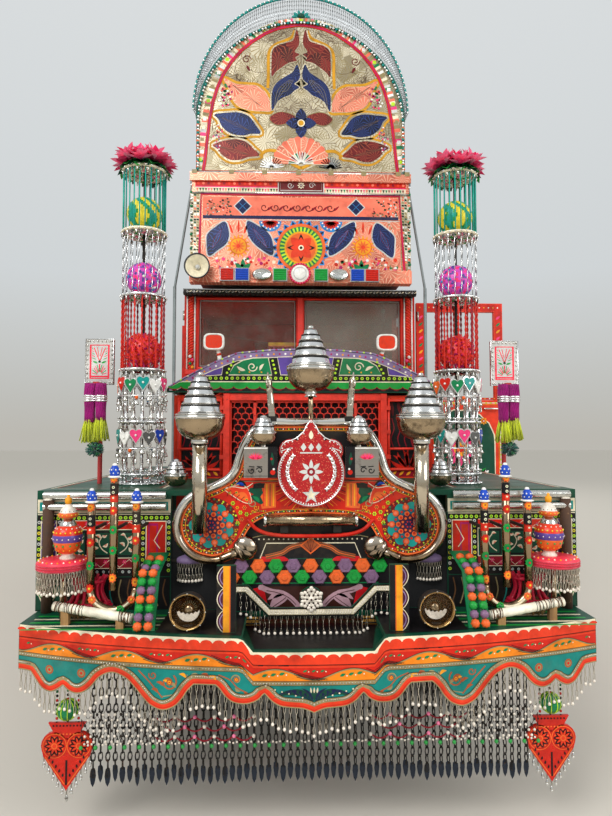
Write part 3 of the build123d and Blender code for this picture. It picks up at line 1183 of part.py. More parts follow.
# Rear bumper with tail lamps and the jaw for a towing pin
REAR_BAR_Y = (6540, 6600)
REAR_BAR_Z = (660, 780)
JAW_Y = 6668
JAW_BORE = 20.5
JAW_Z = (700, 780)
JAW_PLATE = 18
with BuildPart() as rear_bumper:
    slab((-1150, 1150), REAR_BAR_Y, REAR_BAR_Z)
    for x in both_sides((rail_inner, rail_outer)):
        slab(x, (RAIL_REAR_Y, REAR_BAR_Y[0]), REAR_BAR_Z)
    for z in ((JAW_Z[0], JAW_Z[0] + JAW_PLATE), (JAW_Z[1] - JAW_PLATE, JAW_Z[1])):
        slab((-50, 50), (REAR_BAR_Y[1], JAW_Y + 50), z)
    rod((0, JAW_Y, JAW_Z[0] - 1), (0, JAW_Y, JAW_Z[1] + 1), JAW_BORE, Mode.SUBTRACT)
    for x in both_sides((880, 1100)):
        slab(x, (REAR_BAR_Y[1], REAR_BAR_Y[1] + 45), (REAR_BAR_Z[0] + 15, REAR_BAR_Z[1] - 15))
pieces["rear_bumper"] = rear_bumper

# Painted skirts under the cargo floor, and mud flaps behind the rear wheels
SKIRT_LOW_Z = 800
SKIRT_THICK = 15
FLAP_Y = WHEELBASE + 600
with BuildPart() as side_skirts:
    skirt_x = CARGO_HALF_WIDTH - 20
    for x in both_sides((skirt_x, skirt_x + SKIRT_THICK)):
        for y in ((CARGO_FRONT_Y + 20, 3560), (4940, CARGO_REAR_Y - 20)):
            slab(x, y, (SKIRT_LOW_Z, floor_low))
    for x in both_sides((705, 1190 - SKIRT_THICK)):
        slab(x, (FLAP_Y, FLAP_Y + 12), (320, bearer_low))
pieces["side_skirts"] = side_skirts

os.makedirs("parts", exist_ok=True)
for label, piece in pieces.items():
    piece.part.label = label
    export_step(piece.part, "parts/" + label + ".step")
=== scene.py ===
import random
from math import asin, atan2, ceil, copysign, cos, hypot, pi, radians, sin, sqrt

import bmesh
import bpy
from mathutils import Matrix, Vector


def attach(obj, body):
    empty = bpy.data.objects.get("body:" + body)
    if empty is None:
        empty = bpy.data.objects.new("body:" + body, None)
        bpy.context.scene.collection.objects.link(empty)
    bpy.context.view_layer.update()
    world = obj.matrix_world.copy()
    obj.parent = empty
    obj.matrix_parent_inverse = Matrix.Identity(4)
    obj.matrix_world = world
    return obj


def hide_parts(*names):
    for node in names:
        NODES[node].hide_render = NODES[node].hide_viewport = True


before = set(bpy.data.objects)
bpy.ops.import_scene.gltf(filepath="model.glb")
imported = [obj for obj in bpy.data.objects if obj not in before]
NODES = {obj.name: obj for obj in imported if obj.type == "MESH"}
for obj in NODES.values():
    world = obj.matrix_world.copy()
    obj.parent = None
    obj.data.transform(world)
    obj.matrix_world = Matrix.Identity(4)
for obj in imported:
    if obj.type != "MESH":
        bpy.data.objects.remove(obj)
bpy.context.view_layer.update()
X = Vector((1, 0, 0))
TAU = 2 * pi

PALETTE = {"red": "#C8200F", "scarlet": "#E03A1C", "orange": "#E8662A", "amber": "#EE9C1E",
           "yellow": "#E8D036", "lime": "#B4DC2C", "green": "#17963A", "leaf": "#0E7A48", "forest": "#0B4632",
           "teal": "#0E8E86", "sky": "#2E86C8", "blue": "#1746B4", "navy": "#141C46", "purple": "#5E4696",
           "mauve": "#8A749C", "pink": "#F0407E", "magenta": "#A8145E", "salmon": "#F0765C",
           "maroon": "#641418", "wine": "#8C0F22", "white": "#EFEDE6", "cream": "#E8DDBE", "black": "#131114",
           "brown": "#64432A", "khaki": "#94855C", "rust": "#A8522A", "silver": "#C9C9C4", "grey": "#5A5A58",
           "rose": "#FF3A78", "blush": "#FF86AC", "fern": "#2E9A44", "lemon": "#F4DE3C", "aqua": "#1FA08E",
           "coral": "#F0384E", "crimson": "#C6161E", "umber": "#3C1C16", "heather": "#80607E",
           "jade": "#0B7C74", "plum": "#4A1430", "orchid": "#B8909A", "saffron": "#EE8418",
           "ochre": "#C9901E", "fuchsia": "#D44CB6", "ruby": "#C01636", "lagoon": "#0A5F70",}


def linear(code):
    """The linear colour of a hex code."""
    parts = [int(code[i:i + 2], 16) / 255 for i in (1, 3, 5)]
    return tuple(c / 12.92 if c <= 0.04045 else ((c + 0.055) / 1.055) ** 2.4 for c in parts) + (1.0,)


def shade(colour, share):
    """A colour made lighter or darker by a share."""
    return tuple(min(1.0, c * share) for c in colour[:3]) + (1.0,)


# Materials
def blank(name, sockets):
    """A new material with constants set on its shader."""
    made = bpy.data.materials.new(name)
    made.use_nodes = True
    body = made.node_tree.nodes["Principled BSDF"]
    for key, value in sockets.items():
        body.inputs[key].default_value = value
    return made, made.node_tree, body


def texture(tree, kind, sockets, vector=None, **settings):
    """A texture node on the object's own coordinates."""
    made = tree.nodes.new(kind)
    for key, value in settings.items():
        setattr(made, key, value)
    for key, value in sockets.items():
        made.inputs[key].default_value = value
    if vector is None:
        coords = tree.nodes.get("coords") or tree.nodes.new("ShaderNodeTexCoord")
        coords.name = "coords"
        vector = coords.outputs["Object"]
    tree.links.new(vector, made.inputs["Vector"])
    return made


def ramp(tree, factor, stops, mode="LINEAR"):
    """A colour ramp from (position, colour) stops."""
    made = tree.nodes.new("ShaderNodeValToRGB")
    made.color_ramp.interpolation = mode
    entries = made.color_ramp.elements
    while len(entries) < len(stops):
        entries.new(0.5)
    for entry, (position, colour) in zip(entries, stops):
        entry.position = position
        entry.color = colour
    tree.links.new(factor, made.inputs["Fac"])
    return made.outputs["Color"]


def grey(value):
    return (value, value, value, 1.0)


def mixed(tree, factor, first, second, blend="MIX"):
    """Two colours mixed by a factor socket or number."""
    made = tree.nodes.new("ShaderNodeMix")
    made.data_type = "RGBA"
    made.blend_type = blend
    for socket, value in ((made.inputs[0], factor), (made.inputs[6], first), (made.inputs[7], second)):
        if hasattr(value, "node"):
            tree.links.new(value, socket)
        else:
            socket.default_value = value
    return made.outputs[2]


def calc(tree, kind, first, second=0.0):
    """One Math node."""
    made = tree.nodes.new("ShaderNodeMath")
    made.operation = kind
    for socket, value in zip(made.inputs, (first, second)):
        if hasattr(value, "node"):
            tree.links.new(value, socket)
        else:
            socket.default_value = value
    return made.outputs[0]


def bumped(tree, body, height, strength, distance):
    made = tree.nodes.new("ShaderNodeBump")
    made.inputs["Strength"].default_value = strength
    made.inputs["Distance"].default_value = distance
    tree.links.new(height, made.inputs["Height"])
    tree.links.new(made.outputs["Normal"], body.inputs["Normal"])


MADE = {}
DUST = linear("#8F7A5A")


def paint(colour, rough=0.34, coat=0.07, dust=0.22):
    """Brushed enamel: uneven colour, fine strokes and a little road dust."""
    key = ("paint", colour, rough)
    if key in MADE:
        return MADE[key]
    base = linear(PALETTE[colour])
    made, tree, body = blank("enamel_" + colour + ("" if rough == 0.34 else "_%d" % (rough * 100)),
                             {"Coat Weight": coat, "Coat Roughness": 0.2, "Specular IOR Level": 0.2})
    cloud = texture(tree, "ShaderNodeTexNoise", {"Scale": 11.0, "Detail": 5.0, "Roughness": 0.6})
    tone = ramp(tree, cloud.outputs["Fac"],
                [(0.30, shade(base, 0.66)), (0.52, base), (0.74, shade(base, 1.22))])
    dirt = texture(tree, "ShaderNodeTexNoise", {"Scale": 3.1, "Detail": 8.0, "Roughness": 0.72})
    mask = ramp(tree, dirt.outputs["Fac"], [(0.52, grey(0.0)), (0.80, grey(dust))])
    tree.links.new(mixed(tree, mask, tone, DUST), body.inputs["Base Color"])
    tree.links.new(ramp(tree, dirt.outputs["Fac"], [(0.3, grey(rough)), (0.75, grey(rough + 0.28))]),
                   body.inputs["Roughness"])
    grain = texture(tree, "ShaderNodeTexNoise", {"Scale": 140.0, "Detail": 3.0})
    bumped(tree, body, grain.outputs["Fac"], 0.25, 0.0006)
    MADE[key] = made
    return made


def chrome(name, tint="#D6D4CE", low=0.05, high=0.3, wave=0.5, dark="#6E6960"):
    """Hand-beaten plated sheet: shallow dents, cloudy patches and brown grime."""
    if name in MADE:
        return MADE[name]
    made, tree, body = blank(name, {"Metallic": 1.0})
    cloud = texture(tree, "ShaderNodeTexNoise", {"Scale": 17.0, "Detail": 7.0, "Roughness": 0.65})
    tree.links.new(ramp(tree, cloud.outputs["Fac"],
                        [(0.28, linear(dark)), (0.45, linear(tint)), (0.8, shade(linear(tint), 1.1))]),
                   body.inputs["Base Color"])
    tree.links.new(ramp(tree, cloud.outputs["Fac"], [(0.3, grey(high)), (0.62, grey(low))]),
                   body.inputs["Roughness"])
    dents = texture(tree, "ShaderNodeTexNoise", {"Scale": 26.0, "Detail": 2.0})
    bumped(tree, body, dents.outputs["Fac"], wave, 0.004)
    MADE[name] = made
    return made


def ground_reflecting_chrome(name, low, high):
    """Bright plating with a painted brown reflection of the ground towards its foot, between two heights in
    metres.
    """
    made = chrome(name, wave=0.18)
    tree = made.node_tree
    body = next(node for node in tree.nodes if node.type == "BSDF_PRINCIPLED")
    place = tree.nodes.new("ShaderNodeSeparateXYZ")
    tree.links.new(tree.nodes["coords"].outputs["Object"], place.inputs["Vector"])
    height = tree.nodes.new("ShaderNodeMapRange")
    height.inputs["From Min"].default_value = low
    height.inputs["From Max"].default_value = high
    tree.links.new(place.outputs["Z"], height.inputs["Value"])
    plating = body.inputs["Base Color"].links[0].from_socket
    # painted brown reflection of the ground: full below the lower height, gone above the upper one
    brown = texture(tree, "ShaderNodeTexNoise", {"Scale": 21.0, "Detail": 6.0})
    painted_reflection_tone = ramp(tree, brown.outputs["Fac"], [(0.3, linear("#5E4630")), (0.65, linear("#AE9068"))])
    tree.links.new(mixed(tree, height.outputs["Result"], painted_reflection_tone, plating), body.inputs["Base Color"])
    return made


def fan_lines(tree, scale, count):
    """Lines that fan out from scattered centres, as scored foil has, with each fan's tone and reach."""
    coords = tree.nodes.get("coords") or tree.nodes.new("ShaderNodeTexCoord")
    coords.name = "coords"
    flat = tree.nodes.new("ShaderNodeMapping")
    flat.inputs["Scale"].default_value = (1, 0, 1)
    tree.links.new(coords.outputs["Object"], flat.inputs["Vector"])
    cells = texture(tree, "ShaderNodeTexVoronoi", {"Scale": scale, "Randomness": 0.85},
                    flat.outputs["Vector"])
    away = tree.nodes.new("ShaderNodeVectorMath")
    away.operation = "SUBTRACT"
    tree.links.new(flat.outputs["Vector"], away.inputs[0])
    tree.links.new(cells.outputs["Position"], away.inputs[1])
    parts = tree.nodes.new("ShaderNodeSeparateXYZ")
    tree.links.new(away.outputs["Vector"], parts.inputs["Vector"])
    turn = calc(tree, "ARCTAN2", parts.outputs["Z"], parts.outputs["X"])
    comb = calc(tree, "SINE", calc(tree, "MULTIPLY", turn, float(count)))
    tone = tree.nodes.new("ShaderNodeSeparateColor")
    tree.links.new(cells.outputs["Color"], tone.inputs["Color"])
    return comb, tone.outputs["Red"], cells.outputs["Distance"]


def foil(name, light, deep, line, scale=9.0, count=16, metallic=0.85, rough=0.24):
    """Reflective foil in small tiles, scored with fans of fine lines."""
    if name in MADE:
        return MADE[name]
    made, tree, body = blank(name, {"Metallic": metallic, "Roughness": rough})
    comb, tone, far = fan_lines(tree, scale, count)
    base = ramp(tree, tone, [(0.0, linear(deep)), (0.5, linear(light)), (1.0, shade(linear(light), 1.25))])
    cut = ramp(tree, comb, [(0.72, grey(0.0)), (0.90, grey(1.0))])
    tree.links.new(mixed(tree, cut, base, linear(line)), body.inputs["Base Color"])
    chips = texture(tree, "ShaderNodeTexVoronoi", {"Scale": 90.0})
    bumped(tree, body, mixed(tree, 0.5, comb, chips.outputs["Distance"]), 0.3, 0.0007)
    MADE[name] = made
    return made


def glitter(name, colour, scale=420.0):
    """Lacquer full of small bright flakes."""
    if name in MADE:
        return MADE[name]
    base = linear(PALETTE[colour])
    made, tree, body = blank(name, {"Metallic": 0.3, "Roughness": 0.34, "Coat Weight": 0.1})
    flakes = texture(tree, "ShaderNodeTexVoronoi", {"Scale": scale})
    tone = tree.nodes.new("ShaderNodeSeparateColor")
    tree.links.new(flakes.outputs["Color"], tone.inputs["Color"])
    tree.links.new(ramp(tree, tone.outputs["Red"], [(0.0, shade(base, 0.5)), (0.75, base), (0.955, base),
                                                    (0.985, linear("#F0A878"))]), body.inputs["Base Color"])
    bumped(tree, body, tone.outputs["Green"], 0.35, 0.001)
    MADE[name] = made
    return made


def plastic(colour, rough=0.3):
    """Moulded plastic with scuffs."""
    key = ("plastic", colour, rough)
    if key in MADE:
        return MADE[key]
    base = linear(PALETTE[colour])
    made, tree, body = blank("plastic_" + colour + "_%d" % (rough * 100),
                             {"Coat Weight": 0.04, "Specular IOR Level": 0.3, "Subsurface Weight": 0.0})
    scuffs = texture(tree, "ShaderNodeTexNoise", {"Scale": 34.0, "Detail": 6.0, "Roughness": 0.7})
    tree.links.new(ramp(tree, scuffs.outputs["Fac"], [(0.3, shade(base, 0.74)), (0.55, base),
                                                      (0.85, shade(base, 1.25))]), body.inputs["Base Color"])
    tree.links.new(ramp(tree, scuffs.outputs["Fac"], [(0.3, grey(rough + 0.18)), (0.7, grey(rough))]),
                   body.inputs["Roughness"])
    bumped(tree, body, scuffs.outputs["Fac"], 0.2, 0.0008)
    MADE[key] = made
    return made


def worn(name, colour, under, rough=0.6, metallic=0.0, scale=7.0, amount=0.62, grain=0.5):
    """Old paint or metal, worn through to what is under it."""
    if name in MADE:
        return MADE[name]
    base = linear(colour)
    made, tree, body = blank(name, {"Metallic": metallic})
    cloud = texture(tree, "ShaderNodeTexNoise", {"Scale": scale, "Detail": 9.0, "Roughness": 0.7})
    chips = ramp(tree, cloud.outputs["Fac"], [(amount, grey(0.0)), (amount + 0.05, grey(1.0))])
    tone = ramp(tree, cloud.outputs["Fac"], [(0.25, shade(base, 0.6)), (0.6, shade(base, 1.2))])
    tree.links.new(mixed(tree, chips, tone, linear(under)), body.inputs["Base Color"])
    tree.links.new(ramp(tree, cloud.outputs["Fac"], [(0.3, grey(rough)), (0.7, grey(min(1, rough + 0.25)))]),
                   body.inputs["Roughness"])
    fine = texture(tree, "ShaderNodeTexNoise", {"Scale": 75.0, "Detail": 5.0})
    bumped(tree, body, fine.outputs["Fac"], grain, 0.002)
    MADE[name] = made
    return made


def cloth(name, colour, weave=260.0, sheen=0.4):
    if name in MADE:
        return MADE[name]
    base = linear(colour)
    made, tree, body = blank(name, {"Roughness": 0.85, "Sheen Weight": sheen, "Specular IOR Level": 0.2})
    threads = texture(tree, "ShaderNodeTexWave", {"Scale": weave, "Distortion": 1.5, "Detail": 2.0})
    cloud = texture(tree, "ShaderNodeTexNoise", {"Scale": 18.0, "Detail": 4.0})
    tone = ramp(tree, cloud.outputs["Fac"], [(0.3, shade(base, 0.6)), (0.7, shade(base, 1.2))])
    tree.links.new(mixed(tree, ramp(tree, threads.outputs["Fac"], [(0.3, grey(0.0)), (0.8, grey(0.45))]),
                         tone, shade(base, 0.45)), body.inputs["Base Color"])
    bumped(tree, body, threads.outputs["Fac"], 0.5, 0.001)
    MADE[name] = made
    return made


def timber(name, light, dark, axis=(1.0, 1.0, 14.0)):
    """Planks with grain along one way."""
    if name in MADE:
        return MADE[name]
    made, tree, body = blank(name, {"Roughness": 0.7})
    coords = tree.nodes.new("ShaderNodeTexCoord")
    coords.name = "coords"
    stretch = tree.nodes.new("ShaderNodeMapping")
    stretch.inputs["Scale"].default_value = axis
    tree.links.new(coords.outputs["Object"], stretch.inputs["Vector"])
    grain = texture(tree, "ShaderNodeTexNoise", {"Scale": 3.0, "Detail": 9.0, "Roughness": 0.6},
                    stretch.outputs["Vector"])
    tree.links.new(ramp(tree, grain.outputs["Fac"], [(0.3, linear(dark)), (0.62, linear(light))]),
                   body.inputs["Base Color"])
    bumped(tree, body, grain.outputs["Fac"], 0.5, 0.002)
    MADE[name] = made
    return made


def clear(name, tint, rough=0.03):
    """Dusty window glass, seen through."""
    if name in MADE:
        return MADE[name]
    made, tree, body = blank(name, {"Base Color": linear(tint), "Transmission Weight": 0.88, "IOR": 1.45})
    smear = texture(tree, "ShaderNodeTexNoise", {"Scale": 5.0, "Detail": 8.0, "Roughness": 0.7})
    tree.links.new(ramp(tree, smear.outputs["Fac"], [(0.45, grey(rough)), (0.8, grey(0.3))]),
                   body.inputs["Roughness"])
    MADE[name] = made
    return made


def pane(name, tint, cover, rough=0.05, left_film=0.0):
    """Thin glass over a share of what is behind it, dustier in places and on the truck's left half."""
    if name in MADE:
        return MADE[name]
    made, tree, body = blank(name, {"Base Color": linear(tint), "Roughness": rough})
    smear = texture(tree, "ShaderNodeTexNoise", {"Scale": 4.0, "Detail": 8.0, "Roughness": 0.7})
    share = ramp(tree, smear.outputs["Fac"], [(0.42, grey(cover)), (0.85, grey(min(1.0, cover + 0.3)))])
    place = tree.nodes.new("ShaderNodeSeparateXYZ")
    tree.links.new(tree.nodes["coords"].outputs["Object"], place.inputs["Vector"])
    film = calc(tree, "MULTIPLY", calc(tree, "GREATER_THAN", place.outputs["X"], 0.0), left_film)
    tree.links.new(calc(tree, "ADD", share, film), body.inputs["Alpha"])
    MADE[name] = made
    return made


BRIGHT = chrome("plated_bright", wave=0.18)
SATIN = chrome("plated_satin", "#DADBDB", 0.16, 0.34, 0.8, "#8F8E8A")
# plating with a painted brown reflection of the ground, below 1.33 m
GROUND_REFLECTING = ground_reflecting_chrome("plated_ground_reflection", 1.110, 1.330)
# plating tinted brown all over: a painted reflection of the sandy ground
BROWN_REFLECTING = chrome("plated_brown_reflection", "#A89478", 0.12, 0.42, 0.9, "#3E3024")
TINSEL = chrome("tinsel_white", "#F2F2F0", 0.2, 0.38, 0.2, "#C4C2BC")
LINKS = chrome("bare_links", "#B4AEA2", 0.22, 0.5, 0.2, "#5A5046")
IRON = worn("dark_iron", "#2A2622", "#5A4030", 0.62, 0.5, 30.0, 0.6)
SILVER = foil("foil_silver", "#C6BCA2", "#948A70", "#8A6F38", 8.0, 18, 0.45, 0.36)
NAVY = foil("foil_navy", "#101B48", "#070B20", "#2E4480", 9.0, 14, 0.3, 0.36)
MAROON = foil("foil_maroon", "#6E1A1A", "#3E0C10", "#A04C34", 9.0, 14, 0.35, 0.34)
SALMON = foil("foil_salmon", "#E88468", "#C2654E", "#F2C2A2", 9.0, 14, 0.4, 0.3)
GOLD = paint("amber")
RUBBER = worn("tyre_rubber", "#1A1918", "#6E604C", 0.82, 0.0, 4.0, 0.66, 0.6)
CHASSIS = worn("chassis_black", "#1C1A19", "#6A4630", 0.6, 0.0, 8.0, 0.62)
STEEL = worn("bare_steel", "#5C5A57", "#6E4A32", 0.5, 0.8, 12.0, 0.6)


# Shapes: each is a list of points and a list of faces
def lathe(profile, sides=24):
    """A profile of (radius, height) turned about Z."""
    points, faces = [], []
    for radius, height in profile:
        for a in around(sides):
            points.append(Vector((radius * cos(a), radius * sin(a), height)))
    for j in range(len(profile) - 1):
        for i in range(sides):
            k = (i + 1) % sides
            corner = (j * sides + i, j * sides + k, (j + 1) * sides + k, (j + 1) * sides + i)
            if profile[j][0] == 0:
                corner = (corner[0], corner[2], corner[3])
            elif profile[j + 1][0] == 0:
                corner = (corner[0], corner[1], corner[2])
            faces.append(corner)
    return points, faces


def ball(radius, rings=6, sides=10, squash=1.0):
    steps = [pi * j / rings for j in range(rings + 1)]
    profile = [(0 if j in (0, rings) else radius * sin(a), -radius * squash * cos(a)) for j,
               a in enumerate(steps)]
    return lathe(profile, sides)


def tube(points, radius, sides=8, closed=False):
    """A round tube along points. The radius may be one for each point."""
    points = [Vector(p) for p in points]
    count = len(points)
    radii = radius if isinstance(radius, (list, tuple)) else [radius] * count
    rings, faces = [], []
    normal = None
    for i, p in enumerate(points):
        after = points[(i + 1) % count] if closed or i < count - 1 else p
        before = points[i - 1] if closed or i else p
        along = (after - before).normalized()
        if normal is None:
            normal = along.orthogonal().normalized()
        normal = (normal - along * normal.dot(along)).normalized()
        side = along.cross(normal)
        rings += [p + (normal * cos(TAU * k / sides) + side * sin(TAU * k / sides)) * radii[i]
                  for k in range(sides)]
    for i in range(count if closed else count - 1):
        j = (i + 1) % count
        for k in range(sides):
            n = (k + 1) % sides
            faces.append((i * sides + k, i * sides + n, j * sides + n, j * sides + k))
    if not closed:
        faces.append(tuple(reversed(range(sides))))
        faces.append(tuple(range((count - 1) * sides, count * sides)))
    return rings, faces


def plate(outline, thick):
    """An outline of (x, z) points as a plate facing -Y, with its front on Y 0."""
    count = len(outline)
    points = [Vector((x, 0, z)) for x, z in outline] + [Vector((x, thick, z)) for x, z in outline]
    faces = [tuple(range(count)), tuple(reversed(range(count, 2 * count)))]
    faces += [(i, i + count, (i + 1) % count + count, (i + 1) % count) for i in range(count)]
    return points, faces


def block(low, high):
    """A box between two corners."""
    (a, b, c), (d, e, f) = low, high
    points = [Vector(p) for p in ((a, b, c), (d, b, c), (d, e, c), (a, e, c), (a, b, f), (d, b, f),
                                  (d, e, f), (a, e, f))]
    return points, [(0, 3, 2, 1), (4, 5, 6, 7), (0, 1, 5, 4), (1, 2, 6, 5), (2, 3, 7, 6), (3, 0, 4, 7)]


def moved(at=(0, 0, 0), turn=0.0, about="Z", scale=1.0, along=None):
    """A placing matrix: scaled, turned about an axis or laid along a direction, then moved."""
    spin = Matrix.Rotation(turn, 4, about)
    if along is not None:
        spin = Vector(along).to_track_quat("Z", "Y").to_matrix().to_4x4() @ spin
    size = scale if isinstance(scale, (tuple, list)) else (scale, scale, scale)
    return Matrix.Translation(Vector(at)) @ spin @ Matrix.Diagonal((*size, 1.0))


def facing(at, turn=0.0, scale=1.0):
    """A placing matrix for a shape whose Z faces forwards."""
    return moved(at, turn, along=(0, -1, 0), scale=scale)


class Build:
    """Gathers many small shapes into one mesh."""

    def __init__(self, name):
        self.name, self.points, self.faces, self.mats, self.skins, self.soft = name, [], [], [], [], []

    def skin(self, mat):
        if mat not in self.mats:
            self.mats.append(mat)
        return self.mats.index(mat)

    def add(self, shape, mat, place=None, smooth=True, both=False):
        """Adds a shape, and its mirror image if both."""
        points, faces = shape
        for flip in ((False, True) if both else (False,)):
            base = len(self.points)
            for p in points:
                q = place @ p if place is not None else p
                self.points.append((-q.x, q.y, q.z) if flip else (q.x, q.y, q.z))
            for face in faces:
                ring = [base + i for i in face]
                self.faces.append(ring[::-1] if flip else ring)
            self.skins += [self.skin(mat)] * len(faces)
            self.soft += [smooth] * len(faces)

    def pair(self, shape, mat, place=None, smooth=True):
        """Adds a shape and its mirror image."""
        self.add(shape, mat, place, smooth, True)

    def done(self, body, slot, *nodes, angle=None):
        """Makes the object, riding on a body, in place of any CAD nodes named; the slot is not used."""
        mesh = bpy.data.meshes.new(self.name)
        mesh.from_pydata(self.points, [], self.faces)
        for mat in self.mats:
            mesh.materials.append(mat)
        mesh.polygons.foreach_set("material_index", self.skins)
        mesh.polygons.foreach_set("use_smooth", self.soft)
        if angle is not None:
            mesh.set_sharp_from_angle(angle=radians(angle))
        mesh.validate()
        made = bpy.data.objects.new(self.name, mesh)
        bpy.context.scene.collection.objects.link(made)
        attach(made, body)
        if nodes:
            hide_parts(*nodes)
        return made


class Paint(Build):
    """Flat painted shapes on a surface, where place(u, v, lift) gives a point, all mirrored with both."""

    def __init__(self, name, place, cut=None, step=0.0005, both=False):
        super().__init__(name)
        self.place, self.cut, self.step, self.both = place, cut, step, both

    def sides(self, both):
        """The signs of u that a shape is drawn with. None takes the sheet's own choice."""
        return (1, -1) if (self.both if both is None else both) else (1,)

    def poly(self, outline, colour, layer=1, both=None):
        """A filled outline of (u, v) points, on a layer above the surface."""
        mat = paint(colour) if isinstance(colour, str) else colour
        for flip in self.sides(both):
            points = [Vector((u * flip, 0, v)) for u, v in outline]
            area = sum(points[i - 1].x * p.z - p.x * points[i - 1].z for i, p in enumerate(points))
            if area < 0:
                points.reverse()
            work = bmesh.new()
            work.faces.new([work.verts.new(p) for p in points])
            if self.cut:
                reach = [p.x for p in points]
                if max(reach) - min(reach) > self.cut:
                    bmesh.ops.triangulate(work, faces=work.faces[:])
                    x = ceil(min(reach) / self.cut) * self.cut
                    while x < max(reach):
                        bmesh.ops.bisect_plane(work, geom=work.verts[:] + work.edges[:] + work.faces[:],
                                               plane_co=(x, 0, 0), plane_no=(1, 0, 0))
                        x += self.cut
            work.verts.index_update()
            base = len(self.points)
            self.points += [tuple(self.place(p.co.x, p.co.z, layer * self.step)) for p in work.verts]
            for face in work.faces:
                self.faces.append([base + p.index for p in face.verts])
                self.skins.append(self.skin(mat))
                self.soft.append(False)
            work.free()

    def band(self, first, last, low, high, colour, layer=1, step=0.02, both=None):
        """A strip from u first to last between two heights, each a number or a function of u."""
        mat = paint(colour) if isinstance(colour, str) else colour
        count = max(1, ceil(abs(last - first) / step))
        for flip in self.sides(both):
            base = len(self.points)
            for i in range(count + 1):
                u = first + (last - first) * i / count
                pair = sorted((low(u) if callable(low) else low, high(u) if callable(high) else high))
                self.points += [tuple(self.place(u * flip, v, layer * self.step)) for v in pair]
            for i in range(count):
                a = base + 2 * i
                self.faces.append([a, a + 2, a + 3, a + 1][::flip])
                self.skins.append(self.skin(mat))
                self.soft.append(False)

    def line(self, points, width, colour, layer=2, closed=False, both=None):
        """A ribbon of one width along points."""
        mat = paint(colour) if isinstance(colour, str) else colour
        path = [Vector(p).to_2d() for p in points]
        count = len(path)
        for flip in self.sides(both):
            base = len(self.points)
            for i, p in enumerate(path):
                after = path[(i + 1) % count] if closed or i < count - 1 else p
                before = path[i - 1] if closed or i else p
                along = (after - before)
                along = along.normalized() if along.length > 1e-9 else Vector((1, 0))
                side = Vector((-along.y, along.x)) * width / 2
                for q in (p - side, p + side):
                    self.points.append(tuple(self.place(q.x * flip, q.y, layer * self.step)))
            for i in range(count if closed else count - 1):
                a, b = base + 2 * i, base + 2 * ((i + 1) % count)
                self.faces.append([a, b, b + 1, a + 1][::flip])
                self.skins.append(self.skin(mat))
                self.soft.append(False)

    def dots(self, centres, radius, colour, layer=2, sides=8, both=None):
        for u, v in centres:
            self.poly(ring((u, v), radius, sides), colour, layer, both)


# Flat outlines
def around(count, start=0.0):
    """Even turns of a full circle, in radians."""
    return [start + TAU * k / count for k in range(count)]


def polar(centre, radius, angle):
    """A point at a radius and an angle from a centre."""
    return (centre[0] + radius * cos(angle), centre[1] + radius * sin(angle))


def ring(centre, radius, sides=20, high=None, start=0.0):
    high = radius if high is None else high
    return [(centre[0] + radius * cos(start + TAU * i / sides),
             centre[1] + high * sin(start + TAU * i / sides)) for i in range(sides)]


def rect(x0, x1, z0, z1):
    return [(x0, z0), (x1, z0), (x1, z1), (x0, z1)]


def star(centre, outer, inner, points=5, turn=pi / 2):
    return [polar(centre, inner if i % 2 else outer, turn + pi * i / points) for i in range(2 * points)]


def leaf(foot, tip, width, bend=0.0, swing=0.0, steps=12):
    """A leaf from foot to tip. A bend bows it, a swing gives it an S."""
    foot, tip = Vector(foot), Vector(tip)
    side = Vector((-(tip - foot).y, (tip - foot).x))
    left, right = [], []
    for i in range(steps + 1):
        t = i / steps
        middle = foot.lerp(tip, t) + side * (bend * sin(pi * t) + swing * sin(TAU * t))
        half = side.normalized() * width / 2 * sin(pi * t) ** 0.8 * (1.25 - 0.5 * t)
        left.append(tuple(middle + half))
        if 0 < i < steps:
            right.append(tuple(middle - half))
    return left + right[::-1]


def curve(points, steps=8, closed=False):
    """A smooth path through points."""
    path = [Vector(p) for p in points]
    count = len(path)
    made = []
    for i in range(count if closed else count - 1):
        if closed:
            a, b, c, d = (path[(i + k) % count] for k in (-1, 0, 1, 2))
        else:
            a, b, c, d = path[max(i - 1, 0)], path[i], path[i + 1], path[min(i + 2, count - 1)]
        for k in range(steps):
            t = k / steps
            made.append(0.5 * ((2 * b) + (c - a) * t + (2 * a - 5 * b + 4 * c - d) * t * t
                               + (3 * b - a - 3 * c + d) * t ** 3))
    if not closed:
        made.append(path[-1])
    return made


def curl(centre, radius, turns=1.2, start=0.0, hand=1):
    """A spiral scroll."""
    count = int(16 * turns)
    return [polar(centre, radius * (1 - 0.8 * i / count), start + hand * TAU * turns * i / count)
            for i in range(count + 1)]


def petals(sheet, centre, radius, count, colour, layer=2, width=0.5, start=0.0, inner=0.15, both=None):
    for i in range(count):
        a = start + TAU * i / count
        foot = polar(centre, radius * inner, a)
        tip = polar(centre, radius, a)
        sheet.poly(leaf(foot, tip, radius * width, steps=7), colour, layer, both)


def discs(sheet, centre, *rows, both=None):
    """Round spots one over the other, each row with its radius, colour, layer and number of sides."""
    for radius, colour, layer, sides in rows:
        sheet.poly(ring(centre, radius, sides), colour, layer, both)


def flower(sheet, centre, radius, colours, layer=2, count=8, both=None):
    """A round flower: petals, a ring and a heart."""
    petals(sheet, centre, radius, count, colours[0], layer, 2.2 / count * 1.5, both=both)
    discs(sheet, centre, (radius * 0.42, colours[1], layer + 1, 14),
          (radius * 0.2, colours[2], layer + 2, 10), both=both)


def front(y):
    """Places a pattern on a plane that faces forwards."""
    return lambda u, v, lift: (u, y - lift, v)


def rear(y):
    return lambda u, v, lift: (-u, y + lift, v)


def on_side(sign, x):
    """Places a pattern drawn in (y, z) on the wall at x of one side."""
    return lambda u, v, lift: (sign * (x + lift), u, v)


def finish_nodes(names, mat):
    for name in names.split():
        node = NODES[name]
        if node.material_slots:
            for entry in node.material_slots:
                entry.material = mat
        else:
            node.data.materials.append(mat)


